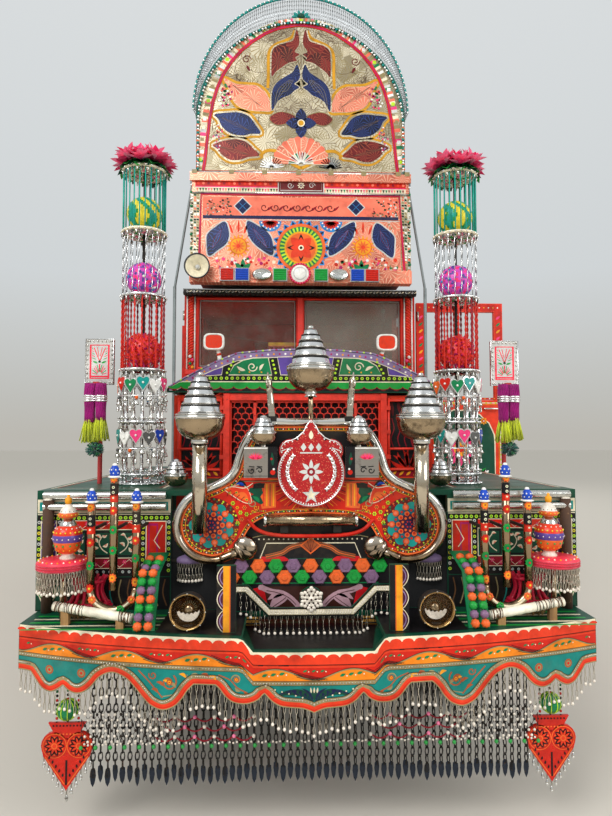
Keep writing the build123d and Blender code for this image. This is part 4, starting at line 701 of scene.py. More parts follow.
# Camera, floor and light
FOCAL_PX = 589.0
camera = bpy.data.objects.new("camera", bpy.data.cameras.new("camera"))
bpy.context.scene.collection.objects.link(camera)
camera.data.sensor_width = 36.0
camera.data.lens = 36.0 * FOCAL_PX / 816.0
camera.location = (-0.106, -4.05, 1.68)
camera.rotation_euler = (radians(92.62), 0.0, radians(-1.8))
camera.data.clip_end = 200.0
bpy.context.scene.camera = camera

floor_mesh = bpy.data.meshes.new("floor")
floor_mesh.from_pydata([(-40, -40, 0), (40, -40, 0), (40, 60, 0), (-40, 60, 0)], [], [(0, 1, 2, 3)])
floor = bpy.data.objects.new("floor", floor_mesh)
bpy.context.scene.collection.objects.link(floor)
floor_mat, _, _ = blank("floor_pale", {"Base Color": linear("#CFC8BC"), "Roughness": 0.9})
floor_mesh.materials.append(floor_mat)

world = bpy.data.worlds.new("studio")
bpy.context.scene.world = world
world.use_nodes = True
sky = world.node_tree
sky.nodes["Background"].inputs["Strength"].default_value = 0.85
view_dir = sky.nodes.new("ShaderNodeTexCoord")
split = sky.nodes.new("ShaderNodeSeparateXYZ")
sky.links.new(view_dir.outputs["Generated"], split.inputs["Vector"])
sky.links.new(ramp(sky, split.outputs["Z"], [(0.0, linear("#C9C6BE")), (0.06, linear("#CDCDC8")),
                                             (0.25, linear("#DFE4E6")), (1.0, linear("#F4F7F8"))]),
              sky.nodes["Background"].inputs["Color"])


def lamp(name, size, energy, at, aim):
    made = bpy.data.objects.new(name, bpy.data.lights.new(name, "AREA"))
    made.data.shape = "RECTANGLE"
    made.data.size, made.data.size_y = size
    made.data.energy = energy
    made.location = at
    made.rotation_euler = (Vector(aim) - Vector(at)).to_track_quat("-Z", "Y").to_euler()
    bpy.context.scene.collection.objects.link(made)


lamp("key", (5, 4), 620, (-4.5, -7.5, 7.5), (0, -0.8, 1.8))
lamp("fill", (5, 4), 260, (6.5, -5.5, 4.5), (0, 0, 1.8))
lamp("back", (6, 5), 420, (2.0, 14.0, 9.0), (0, 4, 1.5))
bpy.context.scene.view_settings.view_transform = "Standard"
bpy.context.scene.view_settings.look = "None"
bpy.context.scene.view_settings.exposure = 0.0

# CAD nodes that keep their own shape
finish_nodes("frame_rails front_axle knuckle_left knuckle_right rear_axle rear_bumper", CHASSIS)
finish_nodes("leaf_springs engine_block propshaft", STEEL)
finish_nodes("fuel_tank", worn("tank_green", "#2B5A3C", "#6A4A34", 0.5, 0.0, 9.0, 0.64))
finish_nodes("wing_left wing_right", paint("forest"))
finish_nodes("front_bumper centre_apron", paint("forest"))
finish_nodes("nose_shell", paint("scarlet"))
finish_nodes("grille_lattice", paint("scarlet"))
finish_nodes("cab_body", paint("red"))
finish_nodes("crown_frame", worn("frame_steel", "#7E8686", "#4A3C30", 0.42, 0.5, 8.0, 0.66))
finish_nodes("bull_panel", paint("black"))
# the bull tube's brown foot is a painted reflection of the ground
finish_nodes("bull_tube", GROUND_REFLECTING)
finish_nodes("wing_rails", chrome("rail_chrome", "#C9C8C2", 0.1, 0.4, 0.5, "#7A6A58"))
finish_nodes("dome_lamps", SATIN)
finish_nodes("shield", glitter("shield_glitter", "crimson"))
finish_nodes("crown_lower", SALMON)
finish_nodes("crown_arch", SILVER)
finish_nodes("sun_visor", paint("black"))
finish_nodes("bonnet", paint("forest"))
finish_nodes("cargo_floor", timber("bed_planks", "#8A6A45", "#4A3524", (14.0, 1.0, 14.0)))
finish_nodes("cargo_walls tailgate", paint("red"))
finish_nodes("side_skirts", paint("forest"))
finish_nodes("door_left door_right", paint("scarlet"))
finish_nodes("bench_seat", cloth("seat_cloth", "#7A1426"))
finish_nodes("dashboard", timber("dash_wood", "#7A4A22", "#3A2010", (1.0, 8.0, 8.0)))
finish_nodes("windscreen_glass", pane("window_glass", "#857F74", 0.10, 0.05, 0.38))
finish_nodes("mirrors", paint("white"))

# Bumper: painted bands, scalloped teal panels, studs
BOW_RADIUS = 3.6045
BUMPER_NOSE = -1.700
BUMPER_TOP, NOTCH_FLOOR = 0.880, 0.828
EDGE_RUNS = (((0, 0.594), (0.042, 0.610), (0.085, 0.614), (0.130, 0.620), (0.165, 0.638), (0.195, 0.668)),
             ((0.195, 0.668), (0.216, 0.646), (0.248, 0.631), (0.284, 0.627), (0.320, 0.634), (0.348, 0.653),
              (0.372, 0.682), (0.388, 0.697)), ((0.388, 0.697), (0.430, 0.697), (0.472, 0.697)),
             ((0.472, 0.697), (0.497, 0.672), (0.520, 0.638), (0.552, 0.607), (0.601, 0.591), (0.650, 0.607),
              (0.684, 0.637), (0.717, 0.673), (0.755, 0.706), (0.811, 0.723), (0.862, 0.702), (0.897, 0.663),
              (0.931, 0.636), (0.967, 0.626), (1.000, 0.634), (1.026, 0.652)),
             ((1.026, 0.652), (1.050, 0.634), (1.085, 0.620), (1.123, 0.630), (1.152, 0.659), (1.180, 0.692)),
             ((1.180, 0.692), (1.210, 0.694), (1.238, 0.694)),)
EDGE = []
for run in EDGE_RUNS:
    EDGE += [(p.x, p.y) for p in curve(run, 5)[(1 if EDGE else 0):]]
END = 1.238


def bow(x):
    return BUMPER_NOSE + BOW_RADIUS - sqrt(BOW_RADIUS ** 2 - x * x)


def edge(x):
    """The height of the bumper's wavy lower edge at x."""
    x = abs(x)
    for (near, low), (far, high) in zip(EDGE, EDGE[1:]):
        if near <= x <= far:
            return low + (high - low) * (x - near) / max(far - near, 1e-6)
    return EDGE[-1][1]


def crest(x):
    """The height of the bumper's top edge at x, which drops over the notch."""
    share = min(1.0, max(0.0, (abs(x) - 0.240) / 0.045))
    return NOTCH_FLOOR + (BUMPER_TOP - NOTCH_FLOOR) * share


def on_bumper(u, v, lift):
    return (u, bow(u) - lift, v)


def under_crest(u, v, lift):
    return (u, bow(u) - lift, crest(u) - v)


bands = Paint("bumper_bands", under_crest, 0.03)
LAST_SPRIG = 1.21
bands.band(-END, END, 0.0, 0.020, "cream")
bands.band(-END, END, 0.020, 0.048, "scarlet")
HALF_TURN = [pi * k / 8 for k in range(9)]
for i in range(50):
    u = -1.225 + i * 0.05
    bands.poly([(u + 0.023 * cos(a), 0.021 - 0.013 * sin(a)) for a in HALF_TURN], "scarlet", 2)
bands.band(-END, END, 0.048, 0.053, "black", 2)
bands.band(-END, END, 0.053, 0.112, "red")
WAVE = 0.306
bands.band(-END, END, 0.050, 0.060, "scarlet", 2)


def swell(u):
    """The upper edge of the band's orange waves."""
    return 0.109 - 0.041 * (0.5 - 0.5 * cos(TAU * u / WAVE)) ** 0.85


bands.band(-END, END, swell, 0.1105, "saffron", 2, 0.01)
for drop, width, tone in ((0.002, 0.0045, "khaki"), (0.0055, 0.0018, "black")):
    bands.line([(-END + 0.01 * i, swell(-END + 0.01 * i) - drop) for i in range(248)], width, tone, 3)
for i in range(-8, 9):
    low = i * WAVE
    for k in range(4):
        reach = [(low - 0.100 + 0.010 * k, 0.066 + 0.009 * k), (low - 0.03, 0.088 + 0.005 * k),
                 (low + 0.052 - 0.01 * k, 0.1035 + 0.0015 * k)]
        if abs(low) < 1.10:
            bands.line(curve(reach, 4), 0.002, "black", 4)
    for k in range(3):
        u = low + WAVE / 2 - 0.040 + 0.034 * k
        if abs(u) < LAST_SPRIG:
            bands.poly(leaf((u - 0.012, 0.093 - 0.004 * k), (u + 0.011, 0.084 - 0.003 * k), 0.011, steps=5),
                       "leaf", 4)
            bands.poly(ring((u + 0.016, 0.092 - 0.003 * k), 0.0032, 6), "cream", 4)
        u = low - 0.035 + 0.034 * k
        if abs(u) < LAST_SPRIG:
            bands.poly(leaf((u - 0.009, 0.075), (u + 0.008, 0.068), 0.0075, steps=5), "leaf", 4)
            bands.poly(ring((u + 0.013, 0.074), 0.0028, 6), "cream", 4)
for top, foot, tone, layer in ((0.112, 0.127, "khaki", 2), (0.110, 0.112, "black", 3),
                               (0.127, 0.1285, "black", 3)):
    bands.band(-END, END, top, foot, tone, layer)
bands.done("chassis", "bumper_paint")

skirt = Paint("bumper_scallops", on_bumper, 0.03, both=True)
INWARD = []
for i, (u, v) in enumerate(EDGE):
    (u0, v0), (u1, v1) = EDGE[max(i - 1, 0)], EDGE[min(i + 1, len(EDGE) - 1)]
    long = hypot(u1 - u0, v1 - v0) if i else 1.0
    INWARD.append((-(v1 - v0) / long, (u1 - u0) / long) if i else (0.0, 1.0))


def hem(deep):
    """The lower edge moved into the board, and stopped at the band above it."""
    return [(max(0.0, min(END, u + n * deep)), min(v + m * deep, crest(u) - 0.113)) for (u, v),
            (n, m) in zip(EDGE, INWARD)]


def hemmed(near, far, colour, layer):
    """A strip along the lower edge between two depths."""
    low, high = hem(near), hem(far)
    for a, b, c, d in zip(low, low[1:], high[1:], high):
        outline = [p for i, p in enumerate((a, b, c, d)) if p != (a, b, c, d)[i - 1]]
        if len(outline) > 2 and abs(sum(outline[i - 1][0] * q[1] - q[0] * outline[i - 1][1] for i,
                                        q in enumerate(outline))) > 2e-6:
            skirt.poly(outline, colour, layer)


skirt.band(-END, END, lambda u: min(edge(u) + 0.03, crest(u) - 0.127), lambda u: crest(u) - 0.127, "jade", 1,
           0.01, both=False)
for near, far, tone, layer in ((0.001, 0.0055, "khaki", 3), (0.005, 0.0245, "scarlet", 2),
                               (0.0095, 0.0115, "red", 4), (0.024, 0.039, "khaki", 3),
                               (0.039, 0.0415, "black", 4)):
    hemmed(near, far, tone, layer)
# ornament in each teal field: rosettes, scrolls and a fan at the middle
for x in (0.945, 1.090):
    for ring_r, tone in ((0.0185, "rust"), (0.012, "khaki"), (0.006, "red")):
        skirt.poly(ring((x, 0.710), ring_r, 10), tone, 2 + int(ring_r < 0.015) + int(ring_r < 0.01))
skirt.line(curve([(0.700, 0.742), (0.655, 0.700), (0.625, 0.668), (0.600, 0.640)], 5), 0.005, "rust", 2)
skirt.line(curl((0.575, 0.702), 0.034, 1.3, 2.2, 1), 0.006, "rust", 2)
skirt.line(curl((0.640, 0.726), 0.017, 1.2, 0.4, -1), 0.005, "rust", 2)
skirt.line(curve([(0.600, 0.645), (0.548, 0.660), (0.512, 0.705), (0.500, 0.735)], 5), 0.004, "khaki", 2)
for k, (x, z) in enumerate(((0.612, 0.692), (0.585, 0.700), (0.560, 0.688), (0.632, 0.664), (0.520, 0.728),
                            (0.470, 0.730), (0.430, 0.732), (0.400, 0.724))):
    skirt.poly(leaf((x - 0.016, z - 0.006), (x + 0.014, z + 0.008), 0.013, 0.2, steps=6),
               ("rust", "amber", "khaki")[k % 3], 3)
flower(skirt, (0.572, 0.702), 0.016, ("rust", "amber", "red"), 4)
skirt.line(curve([(0.375, 0.738), (0.330, 0.720), (0.300, 0.690), (0.262, 0.672)], 5), 0.0045, "rust", 2)
skirt.line(curl((0.305, 0.722), 0.020, 1.2, 0.0, 1), 0.005, "khaki", 2)
flower(skirt, (0.305, 0.722), 0.013, ("rust", "amber", "red"), 4)
for k in range(3):
    skirt.poly(leaf((0.345 - 0.035 * k, 0.704 - 0.012 * k), (0.322 - 0.035 * k, 0.688 - 0.010 * k), 0.010,
                    0.2), ("rust", "khaki")[k % 2], 3)
for k in range(7):
    a = radians(12 + 13 * k)
    far = (0.168 * cos(a) ** 0.8, 0.640 + 0.052 * sin(a))
    skirt.poly(leaf((0.004, 0.640), far, 0.011, 0.15, steps=6), "navy" if k % 2 else "forest", 2)
for k in range(5):
    skirt.poly(ring((0.045 + 0.027 * k, 0.655 + 0.0075 * k), 0.0034, 6), "cream", 4)
for x in (-0.014, 0.0, 0.014):
    skirt.poly(leaf((x * 0.8, 0.672), (x, 0.694), 0.007), "cream", 4, both=False)
skirt.done("chassis", "bumper_paint")

studs = Build("bumper_studs")
stud = lathe([(0.0036, 0), (0.0026, 0.0022), (0, 0.0032)], 6)
count = 206
for i in range(count):
    u = -1.23 + 2.46 * i / (count - 1)
    studs.add(stud, LINKS, facing((u, bow(u) - 0.001, crest(u) - 0.120)))
for u, v in hem(0.0315):
    for side in ((1, -1) if u else (1,)):
        studs.add(stud, LINKS, facing((side * u, bow(u) - 0.001, v)))
studs.done("chassis", "ornament_chrome")


# Chains, fringes and bells
def oval(half_wide, half_high, thick):
    """One upright chain link."""
    return tube([(half_wide * cos(a), 0, half_high * sin(a)) for a in around(8)], thick, 4, True)


LINK = oval(0.0042, 0.0105, 0.0016)
BELL = lathe([(0.0012, 0.014), (0.004, 0.011), (0.0058, 0.002), (0.0075, -0.002), (0.0055, -0.003)], 8)
DROP = ball(0.0058, 4, 6, 1.25)


def strand(build, x, y, z, length, scale=1.0):
    """Links hanging down from a point, with a bell and a drop at the end."""
    pitch = 0.0165 * scale
    links = max(1, int((length - 0.02 * scale) / pitch))
    for k in range(links):
        build.add(LINK, LINKS, moved((x, y, z - pitch * (k + 0.5)), pi / 2 * (k % 2), "Z", scale))
    foot = z - pitch * links
    build.add(BELL, BRIGHT, moved((x, y, foot - 0.012 * scale), scale=scale))
    build.add(DROP, TINSEL, moved((x, y, foot - 0.020 * scale), scale=scale))


PEARL = worn("pearl_bead", "#E4DACB", "#A89478", 0.25, 0.1, 40.0, 0.66)
LONG = oval(0.0046, 0.0152, 0.0015)
LONG_PITCH = 0.0265
PALE = chrome("pale_links", "#D2CABA", 0.24, 0.46, 0.2, "#8A7C66")
PEA = ball(0.0068, 5, 8, 1.05)


def hanging(build, x, y, z, length, links):
    """Long links that fill a length below a point, each turned across the one before."""
    pitch = length / links
    for k in range(links):
        build.add(LONG, PALE,
                  moved((x, y, z - pitch * (k + 0.5)), pi / 2 * (k % 2), "Z", (1, 1, pitch / LONG_PITCH)))


def pendant(build, x, y, z, length):
    """Long links hanging down from a point, with a round bead at the end."""
    hanging(build, x, y, z, length - 0.014, max(2, round((length - 0.014) / 0.026)))
    build.add(PEA, PEARL, moved((x, y, z - length + 0.0065)))


def draped(build, x, y, z, length, floor):
    """A pendant that reaches a floor below it and lies forwards on it with the rest of its length."""
    foot = z - floor - 0.0020
    if foot > length - 0.008:
        pendant(build, x, y, z, length)
        return
    hanging(build, x, y, z, foot, max(1, round(foot / 0.026)))
    lying = max(1, round((length - foot) / 0.026))
    for k in range(lying):
        build.add(LONG, PALE, facing((x, y - LONG_PITCH * (k + 0.5), floor + (0.0030 if k % 2 else 0.0060)),
                                     pi / 2 * ((k + 1) % 2)))
    build.add(PEA, PEARL, moved((x, y - LONG_PITCH * lying - 0.005, floor + 0.0074)))


fringe = Build("bell_fringe_front")
rng = random.Random(11)
count = 107
for i in range(count):
    x = -1.228 + 2.456 * i / (count - 1)
    hang = 0.092 + 0.006 * rng.random() + (0.006 if i % 2 else 0)
    pendant(fringe, x, bow(x) + 0.006, edge(x) + 0.004, hang)
fringe.done("chassis", "ornament_chrome", "bell_fringe")

# Bead net behind the fringe: cream diamonds outside, red loops inside, a row of green beads below
swags = Build("bead_swags")
bead = ball(0.0062, 4, 6)
NET_Y, MESH = -1.524, 0.0245
STRING = worn("net_string", "#2A2018", "#5A4A38", 0.8)
for side in (-1, 1):
    for row in range(6):
        z = 0.520 - 0.022 * row
        for k in range(15):
            x = side * (0.600 + MESH * k + MESH / 2 * (row % 2))
            if abs(x) > 0.955:
                continue
            swags.add(bead, PEARL if (k + row) % 4 else STRING, moved((x, NET_Y, z)))
            for reach in (-MESH / 2, MESH / 2):
                swags.add(tube([(x, NET_Y, z), (x + reach, NET_Y, z + 0.022)], 0.0013, 3), STRING)
    for row in range(3):
        z = 0.505 - 0.040 * row
        for k in range(5 - row % 2):
            x = 0.245 + 0.082 * k + 0.041 * (row % 2)
            loop = [(side * (x + 0.082 * t / 8), -1.520, z - 0.020 * sin(pi * t / 8)) for t in range(9)]
            swags.add(tube(loop, 0.0034, 5), plastic("wine"))
            swags.add(bead, plastic("blush") if k % 2 else PEARL, moved((side * x, NET_Y, z), scale=1.4))
    for k in range(16):
        x = side * (0.060 + 0.060 * k)
        swags.add(tube([(x, -1.518, 0.500), (x, -1.518, 0.392)], 0.0016, 4), STRING)
        swags.add(bead, plastic("fern"), moved((x, -1.520, 0.384), scale=1.5))
        for j in range(3):
            swags.add(bead, PEARL,
                      moved((x - side * (0.015 + 0.015 * j), -1.522, 0.400 - 0.004 * (j == 1)), scale=0.8))
swags.done("chassis", "ornament_chrome")

curtain = Build("chain_curtain_links")
heavy = oval(0.0085, 0.021, 0.003)
CURTAIN_Y, RAIL_FOOT, FIRST_LINK, HEAVY_PITCH = -1.5, 0.684, 0.668, 0.033
blade = plate([(0, 0.0), (0.008, 0.016), (0.0125, 0.044), (0.0105, 0.066), (0.003, 0.072), (-0.003, 0.072),
               (-0.0105, 0.066), (-0.0125, 0.044), (-0.008, 0.016)], 0.002)
curtain.add(block((-1.042, -1.508, RAIL_FOOT), (1.042, -1.492, 0.700)), IRON, smooth=False)
NIGHT = worn("blade_dark", "#1B2330", "#4A3428", 0.45, 0.4, 30.0, 0.62)
for i in range(-30, 31):
    x = i * 0.0305
    low = 0.212 + 0.010 * (i % 2) + 0.012 * rng.random()
    steps = int((RAIL_FOOT - low - 0.07) / HEAVY_PITCH)
    for k in range(steps + 1):
        curtain.add(heavy, IRON, moved((x, CURTAIN_Y, FIRST_LINK - HEAVY_PITCH * k), pi / 2 * (k % 2) + 0.4))
    foot = FIRST_LINK - HEAVY_PITCH * steps - 0.012
    curtain.add(tube([(x, CURTAIN_Y, foot), (x, CURTAIN_Y, low + 0.066)], 0.0022, 4), IRON)
    curtain.add(blade, NIGHT, moved((x, CURTAIN_Y, low), rng.uniform(-0.5, 0.5)), smooth=False)
curtain.done("chassis", "ornament_chrome", "chain_curtain")

# Heart pendants with their bells, and the green ball each hangs from
hearts = Build("heart_plates")
HEART_X, HEART_Y = 1.022, -1.508
lobes = [polar((0.052, 0.390), 0.054, a) for a in [radians(-20 + 20 * k) for k in range(10)]]
outline = [(0.0, 0.207), (0.095, 0.345)] + lobes + [(0.0, 0.432)]
outline += [(-x, z) for x, z in reversed(lobes)] + [(-0.095, 0.345)]
RED_PLATE = plastic("red", 0.22)
HANGER = [(-0.046, 0.420), (0.046, 0.420), (0.058, 0.448), (0.078, 0.482), (-0.078, 0.482), (-0.058, 0.448)]
for shape, thick in ((outline, 0.016), (HANGER, 0.012)):
    hearts.pair(plate(shape, thick), RED_PLATE, moved((HEART_X, HEART_Y, 0)), smooth=False)
for x, low in ((0.045, 0.47), (-0.045, 0.47), (0, 0.48)):
    for k in range(12):
        z = low + (0.69 - low) * (k + 0.5) / 12
        hearts.pair(bead, plastic("red") if k % 4 == 1 else plastic("leaf") if k % 4 == 3 else IRON,
                    moved((HEART_X + x, HEART_Y + 0.006, z)))
hearts.pair(ball(0.042, 8, 14), plastic("leaf"), moved((HEART_X, HEART_Y + 0.004, 0.535)))
for a in around(10):
    hearts.pair(tube([(HEART_X + 0.043 * cos(a) * cos(t), HEART_Y + 0.004 + 0.043 * sin(a) * cos(t), 0.535
                       + 0.043 * sin(t)) for t in [radians(-80 + 20 * i) for i in range(9)]], 0.0022, 4),
                plastic("lime"))
for k in range(11):
    t = abs(k - 5) / 5
    x, z = HEART_X + 0.095 * (k - 5) / 5, 0.207 + 0.138 * t
    for side in (1, -1):
        strand(hearts, side * x, HEART_Y + 0.006, z + 0.012, 0.055)
hearts.done("chassis", "pendant_plastic", "heart_pendants")
painted = Paint("heart_patterns", front(HEART_Y))
for side in (1, -1):
    c = HEART_X * side
    for k in (-1, 1):
        m = (c + k * 0.050, 0.388)
        discs(painted, m, (0.0500, "orange", 1, 24), (0.0465, "red", 2, 24))
        petals(painted, m, 0.0430, 10, "black", 3, 0.44)
        petals(painted, m, 0.0350, 10, "scarlet", 4, 0.26)
        for j in range(10):
            t = TAU * (j + 0.5) / 10
            painted.poly(ring(polar(m, 0.036, t), 0.0036, 6), "orange", 4)
        discs(painted, m, (0.0130, "orange", 5, 12), (0.0080, "scarlet", 6, 10))
        painted.line([(c + k * 0.006, 0.232), (c + k * 0.088, 0.345)], 0.005, "orange", 2)
        for j in range(5):
            foot = (c + k * (0.016 + 0.014 * j), 0.262 + 0.018 * j)
            painted.poly(leaf(foot, (foot[0] - k * 0.003, foot[1] + 0.016), 0.008, steps=4), "black", 3)
    painted.line([(c, 0.23), (c, 0.33)], 0.008, "black", 2)
    painted.dots([(c - 0.056 + 0.014 * j, 0.470) for j in range(9)], 0.0042, "black", 2)
    painted.dots([(c - 0.042 + 0.014 * j, 0.436) for j in range(7)], 0.0036, "orange", 2)
painted.done("chassis", "pendant_plastic")

# Centre apron: panel with the red scroll, white dots, sloping bar, medallion, posts and reflectors
APRON = -1.340
panel = Paint("apron_panel", front(APRON))
panel.poly(rect(-0.40, 0.40, 0.885, 1.322), "black", 1)
panel.line([(-0.236, 1.104), (-0.202, 1.188), (0.202, 1.188), (0.236, 1.104)], 0.005, "cream", 2)
for k in range(22):
    panel.poly(ring((-0.235 + 0.0224 * k, 1.206), 0.0040, 6), "cream", 3)
panel.line([(-0.300, 1.150), (-0.262, 1.214), (-0.225, 1.222), (0.225, 1.222), (0.262, 1.214),
            (0.300, 1.150)], 0.004, "khaki", 2)
panel.poly([(0.090, 1.108), (0.236, 1.104), (0.222, 1.128), (0.120, 1.128)], "crimson", 3, True)
arm = curve([(0.012, 1.186), (0.060, 1.178), (0.096, 1.166), (0.126, 1.146), (0.160, 1.136), (0.204, 1.126)],
            5)
for width, tone, layer in ((0.021, "rust", 4), (0.014, "brown", 5), (0.004, "orange", 6)):
    panel.line(arm, width, tone, layer, both=True)
panel.poly([(0.0, 1.214), (0.050, 1.178), (0.0, 1.138), (-0.050, 1.178)], "orange", 7)
panel.poly([(0.0, 1.206), (0.041, 1.177), (0.0, 1.145), (-0.041, 1.177)], "rust", 8)
for k in range(5):
    panel.line([(0.0, 1.147), (0.030 - 0.015 * k, 1.182 + 0.016 * (k % 2))], 0.0022, "maroon", 9)
panel.line([(-0.31, 1.008), (0.31, 1.008)], 0.005, "leaf", 2)
panel.line([(-0.31, 1.118), (0.31, 1.118)], 0.004, "forest", 2)
panel.poly([(-0.165, 0.886), (0.165, 0.886), (0.235, 0.994), (-0.235, 0.994)], "umber", 2)
panel.poly([(0.192, 0.902), (0.214, 0.902), (0.262, 0.984), (0.214, 0.994)], "crimson", 3, True)
stem = curve([(0.226, 0.993), (0.205, 0.982), (0.170, 0.970), (0.131, 0.964), (0.094, 0.944), (0.064, 0.915),
              (0.046, 0.888)], 6)
panel.line(stem, 0.024, "orchid", 4, both=True)
panel.poly(leaf((0.098, 0.954), (0.188, 0.891), 0.046, 0.10), "orchid", 5, both=True)
panel.poly(leaf((0.118, 0.962), (0.196, 0.934), 0.026, 0.10), "orchid", 5, both=True)
panel.dots([(0.226, 0.990)], 0.0125, "orchid", 5, both=True)
panel.line(curve([(0.112, 0.944), (0.140, 0.924), (0.172, 0.902)], 4), 0.003, "umber", 7, both=True)
panel.line(curve([(0.200, 0.976), (0.150, 0.966), (0.100, 0.944), (0.066, 0.912)], 5), 0.003,
           "umber", 7, both=True)
panel.done("chassis", "apron_green")

BAR = -1.4205
bar = Paint("apron_bar", front(BAR))
bar_path = [(-0.362, 1.002), (-0.285, 1.002), (-0.185, 0.902), (0.185, 0.902), (0.285, 1.002), (0.362, 1.002)]
for width, tone, layer in ((0.0375, "black", 1), (0.0250, "khaki", 2), (0.0215, "cream", 3)):
    bar.line(bar_path, width, tone, layer)
bar.done("chassis", "ornament_chrome")
hang = Build("apron_fringe")
walk = []
for (a, b), (c, d) in zip(bar_path, bar_path[1:]):
    length = hypot(c - a, d - b)
    steps = max(1, round(length / 0.0265))
    walk += [(a + (c - a) * k / steps, b + (d - b) * k / steps) for k in range(steps)]
for k, (x, z) in enumerate(walk + [bar_path[-1]]):
    low = abs(x) < 0.250
    draped(hang, x, BAR + 0.004, z - 0.008, (0.146 if low else 0.106) + 0.004 * (k % 2),
           0.829 if low else 0.881)
for (a, b), (c, d) in zip(bar_path, bar_path[1:]):
    for k in range(int(hypot(c - a, d - b) / 0.011)):
        t = (k + 0.5) * 0.011 / hypot(c - a, d - b)
        for off in (-0.006, 0.001, 0.007):
            hang.add(stud, PEARL, facing((a + (c - a) * t + 0.003 * (off > 0), BAR - 0.001,
                                          b + (d - b) * t + off), scale=1.1))
STRAW_GOLD = worn("straw_gold", "#B98A3A", "#6E4A1C", 0.7, 0.0, 60.0, 0.6)
for side in (-1, 1):
    for k in range(15):
        x = side * (0.232 + 0.0055 * k)
        hang.add(tube([(x, BAR + 0.030, 0.836), (x + rng.uniform(-0.003, 0.003), BAR + 0.026, 0.874)], 0.0026,
                      5), STRAW_GOLD)
    for z in (0.846, 0.864):
        hang.add(tube([(side * 0.229, BAR + 0.025, z), (side * 0.312, BAR + 0.025, z)], 0.0028, 5), IRON)
hang.done("chassis", "ornament_chrome")

# Six-lobed cream flower on its round plate
medal = Build("apron_medallion")
medal.add(lathe([(0.050, 0), (0.050, 0.003), (0, 0.003)], 24), worn("medal_brown", "#2E1712", "#4A2A1C", 0.7),
          facing((0, BAR - 0.0005, 0.958)))
for k in range(6):
    spoke = moved((0, BAR - 0.004, 0.958)) @ Matrix.Rotation(TAU * k / 6, 4, "Y")
    medal.add(plate([(-0.0045, 0.010), (0.0045, 0.010), (0.0060, 0.030), (-0.0060, 0.030)], 0.004), PEARL,
              spoke @ moved((0, -0.004, 0)), False)
    for x, z, size, squash in ((0, 0.047, 0.0098, 1.1), (-0.0110, 0.038, 0.0088, 1.0),
                               (0.0110, 0.038, 0.0088, 1.0), (-0.0075, 0.027, 0.0068, 1.0),
                               (0.0075, 0.027, 0.0068, 1.0)):
        medal.add(ball(size, 5, 8, squash), PEARL, spoke @ moved((x, -0.002, z), scale=(1, 0.55, 1)))
    medal.add(ball(0.0030, 4, 6), plastic("umber"), spoke @ moved((0, -0.0075, 0.036)))
medal.add(ball(0.0135, 6, 10), PEARL, moved((0, BAR - 0.007, 0.958), scale=(1, 0.6, 1)))
medal.add(ball(0.0050, 4, 8), plastic("umber"), moved((0, BAR - 0.0145, 0.958)))
medal.done("chassis", "ornament_chrome")

POST_FACE = -1.622
posts = Paint("apron_posts", front(POST_FACE))
for x0, x1, tone, layer in ((0.314, 0.392, "black", 1), (0.336, 0.366, "amber", 2),
                            (0.336, 0.340, "orange", 3)):
    posts.poly(rect(x0, x1, 0.883, 1.148), tone, layer, True)
for k in range(3):
    z = 0.927 + 0.088 * k
    for reach, share, tone, layer in ((0.0255, 1.0, "cream", 2), (0.0215, 0.93, "plum", 3),
                                      (0.0150, 0.7, "mauve", 4), (0.0105, 0.55, "plum", 5)):
        posts.poly([(0.3660 + reach * sin(pi * t / 12) ** 0.8, z - 0.044 * share + 0.0073333 * t * share)
                    for t in range(13)], tone, layer, True)
posts.done("chassis", "apron_green")

hexes = Build("reflector_hexes")
hexagon = lathe([(0.0358, 0), (0.0358, 0.008), (0.030, 0.016), (0.0155, 0.0155), (0.0135, 0.020),
                 (0, 0.0205)], 6)
order = ("heather", "orange", "green")
for row, (middle, z) in enumerate(((0.0, 1.086), (-0.0395, 1.036))):
    for i in range(9):
        tone = order[(i + row) % 3]
        hexes.add(hexagon, plastic(tone, 0.34), facing((middle + 0.079 * (i - 4), APRON, z)), False)
hexes.done("chassis", "reflector_plastic", "hex_reflectors")

# Chrome tube and red lower rail across the bull frame, and the two barrels below it
rails = Build("bull_crossbars")
# the cross tube's brown tint is a painted reflection of the ground
rails.add(tube([(-0.205, -1.372, 1.296), (0.205, -1.372, 1.296)], 0.026, 16), BROWN_REFLECTING)
for x in (-0.205, 0.205):
    rails.add(lathe([(0, -0.006), (0.030, -0.006), (0.030, 0.006), (0, 0.006)], 16), BRIGHT,
              moved((x, -1.372, 1.296), along=X))
for x in (-0.12, 0.12):
    rails.add(block((x - 0.018, -1.376, 1.240), (x + 0.018, -1.346, 1.285)), IRON, smooth=False)
rails.add(tube(curve([(-0.285, -1.366, 1.300), (-0.235, -1.366, 1.250), (-0.13, -1.366, 1.226),
                      (0.13, -1.366, 1.226), (0.235, -1.366, 1.250), (0.285, -1.366, 1.300)], 4), 0.009, 8),
          paint("red"))
globe = lathe([(0, -0.058), (0.020, -0.054), (0.040, -0.040), (0.053, -0.018), (0.054, -0.008),
               (0.050, -0.004), (0.055, 0.000), (0.052, 0.022), (0.040, 0.040), (0.020, 0.053), (0, 0.057)],
              24)
# barrels and their stubs: plating with a painted brown reflection of the ground towards the foot
rails.pair(globe, GROUND_REFLECTING, moved((0.296, -1.356, 1.170), scale=(1, 0.55, 1)) @ moved(along=(-0.6, 0, 1)))
rails.pair(tube([(0.408, -1.359, 1.1212), (0.393, -1.359, 1.1268), (0.362, -1.358, 1.1385),
                 (0.322, -1.357, 1.1560)], 0.0204, 16), GROUND_REFLECTING)
rails.pair(lathe([(0.0200, 0), (0.0270, 0.014), (0.0390, 0.026), (0.0480, 0.034),
                  (0.0490, 0.040), (0.0400, 0.044)], 24), GROUND_REFLECTING,
           moved((0.357, -1.357, 1.1405), scale=(1, 0.56, 1)) @ moved(along=(-0.92, 0, 0.40)))
rails.done("chassis", "ornament_chrome")

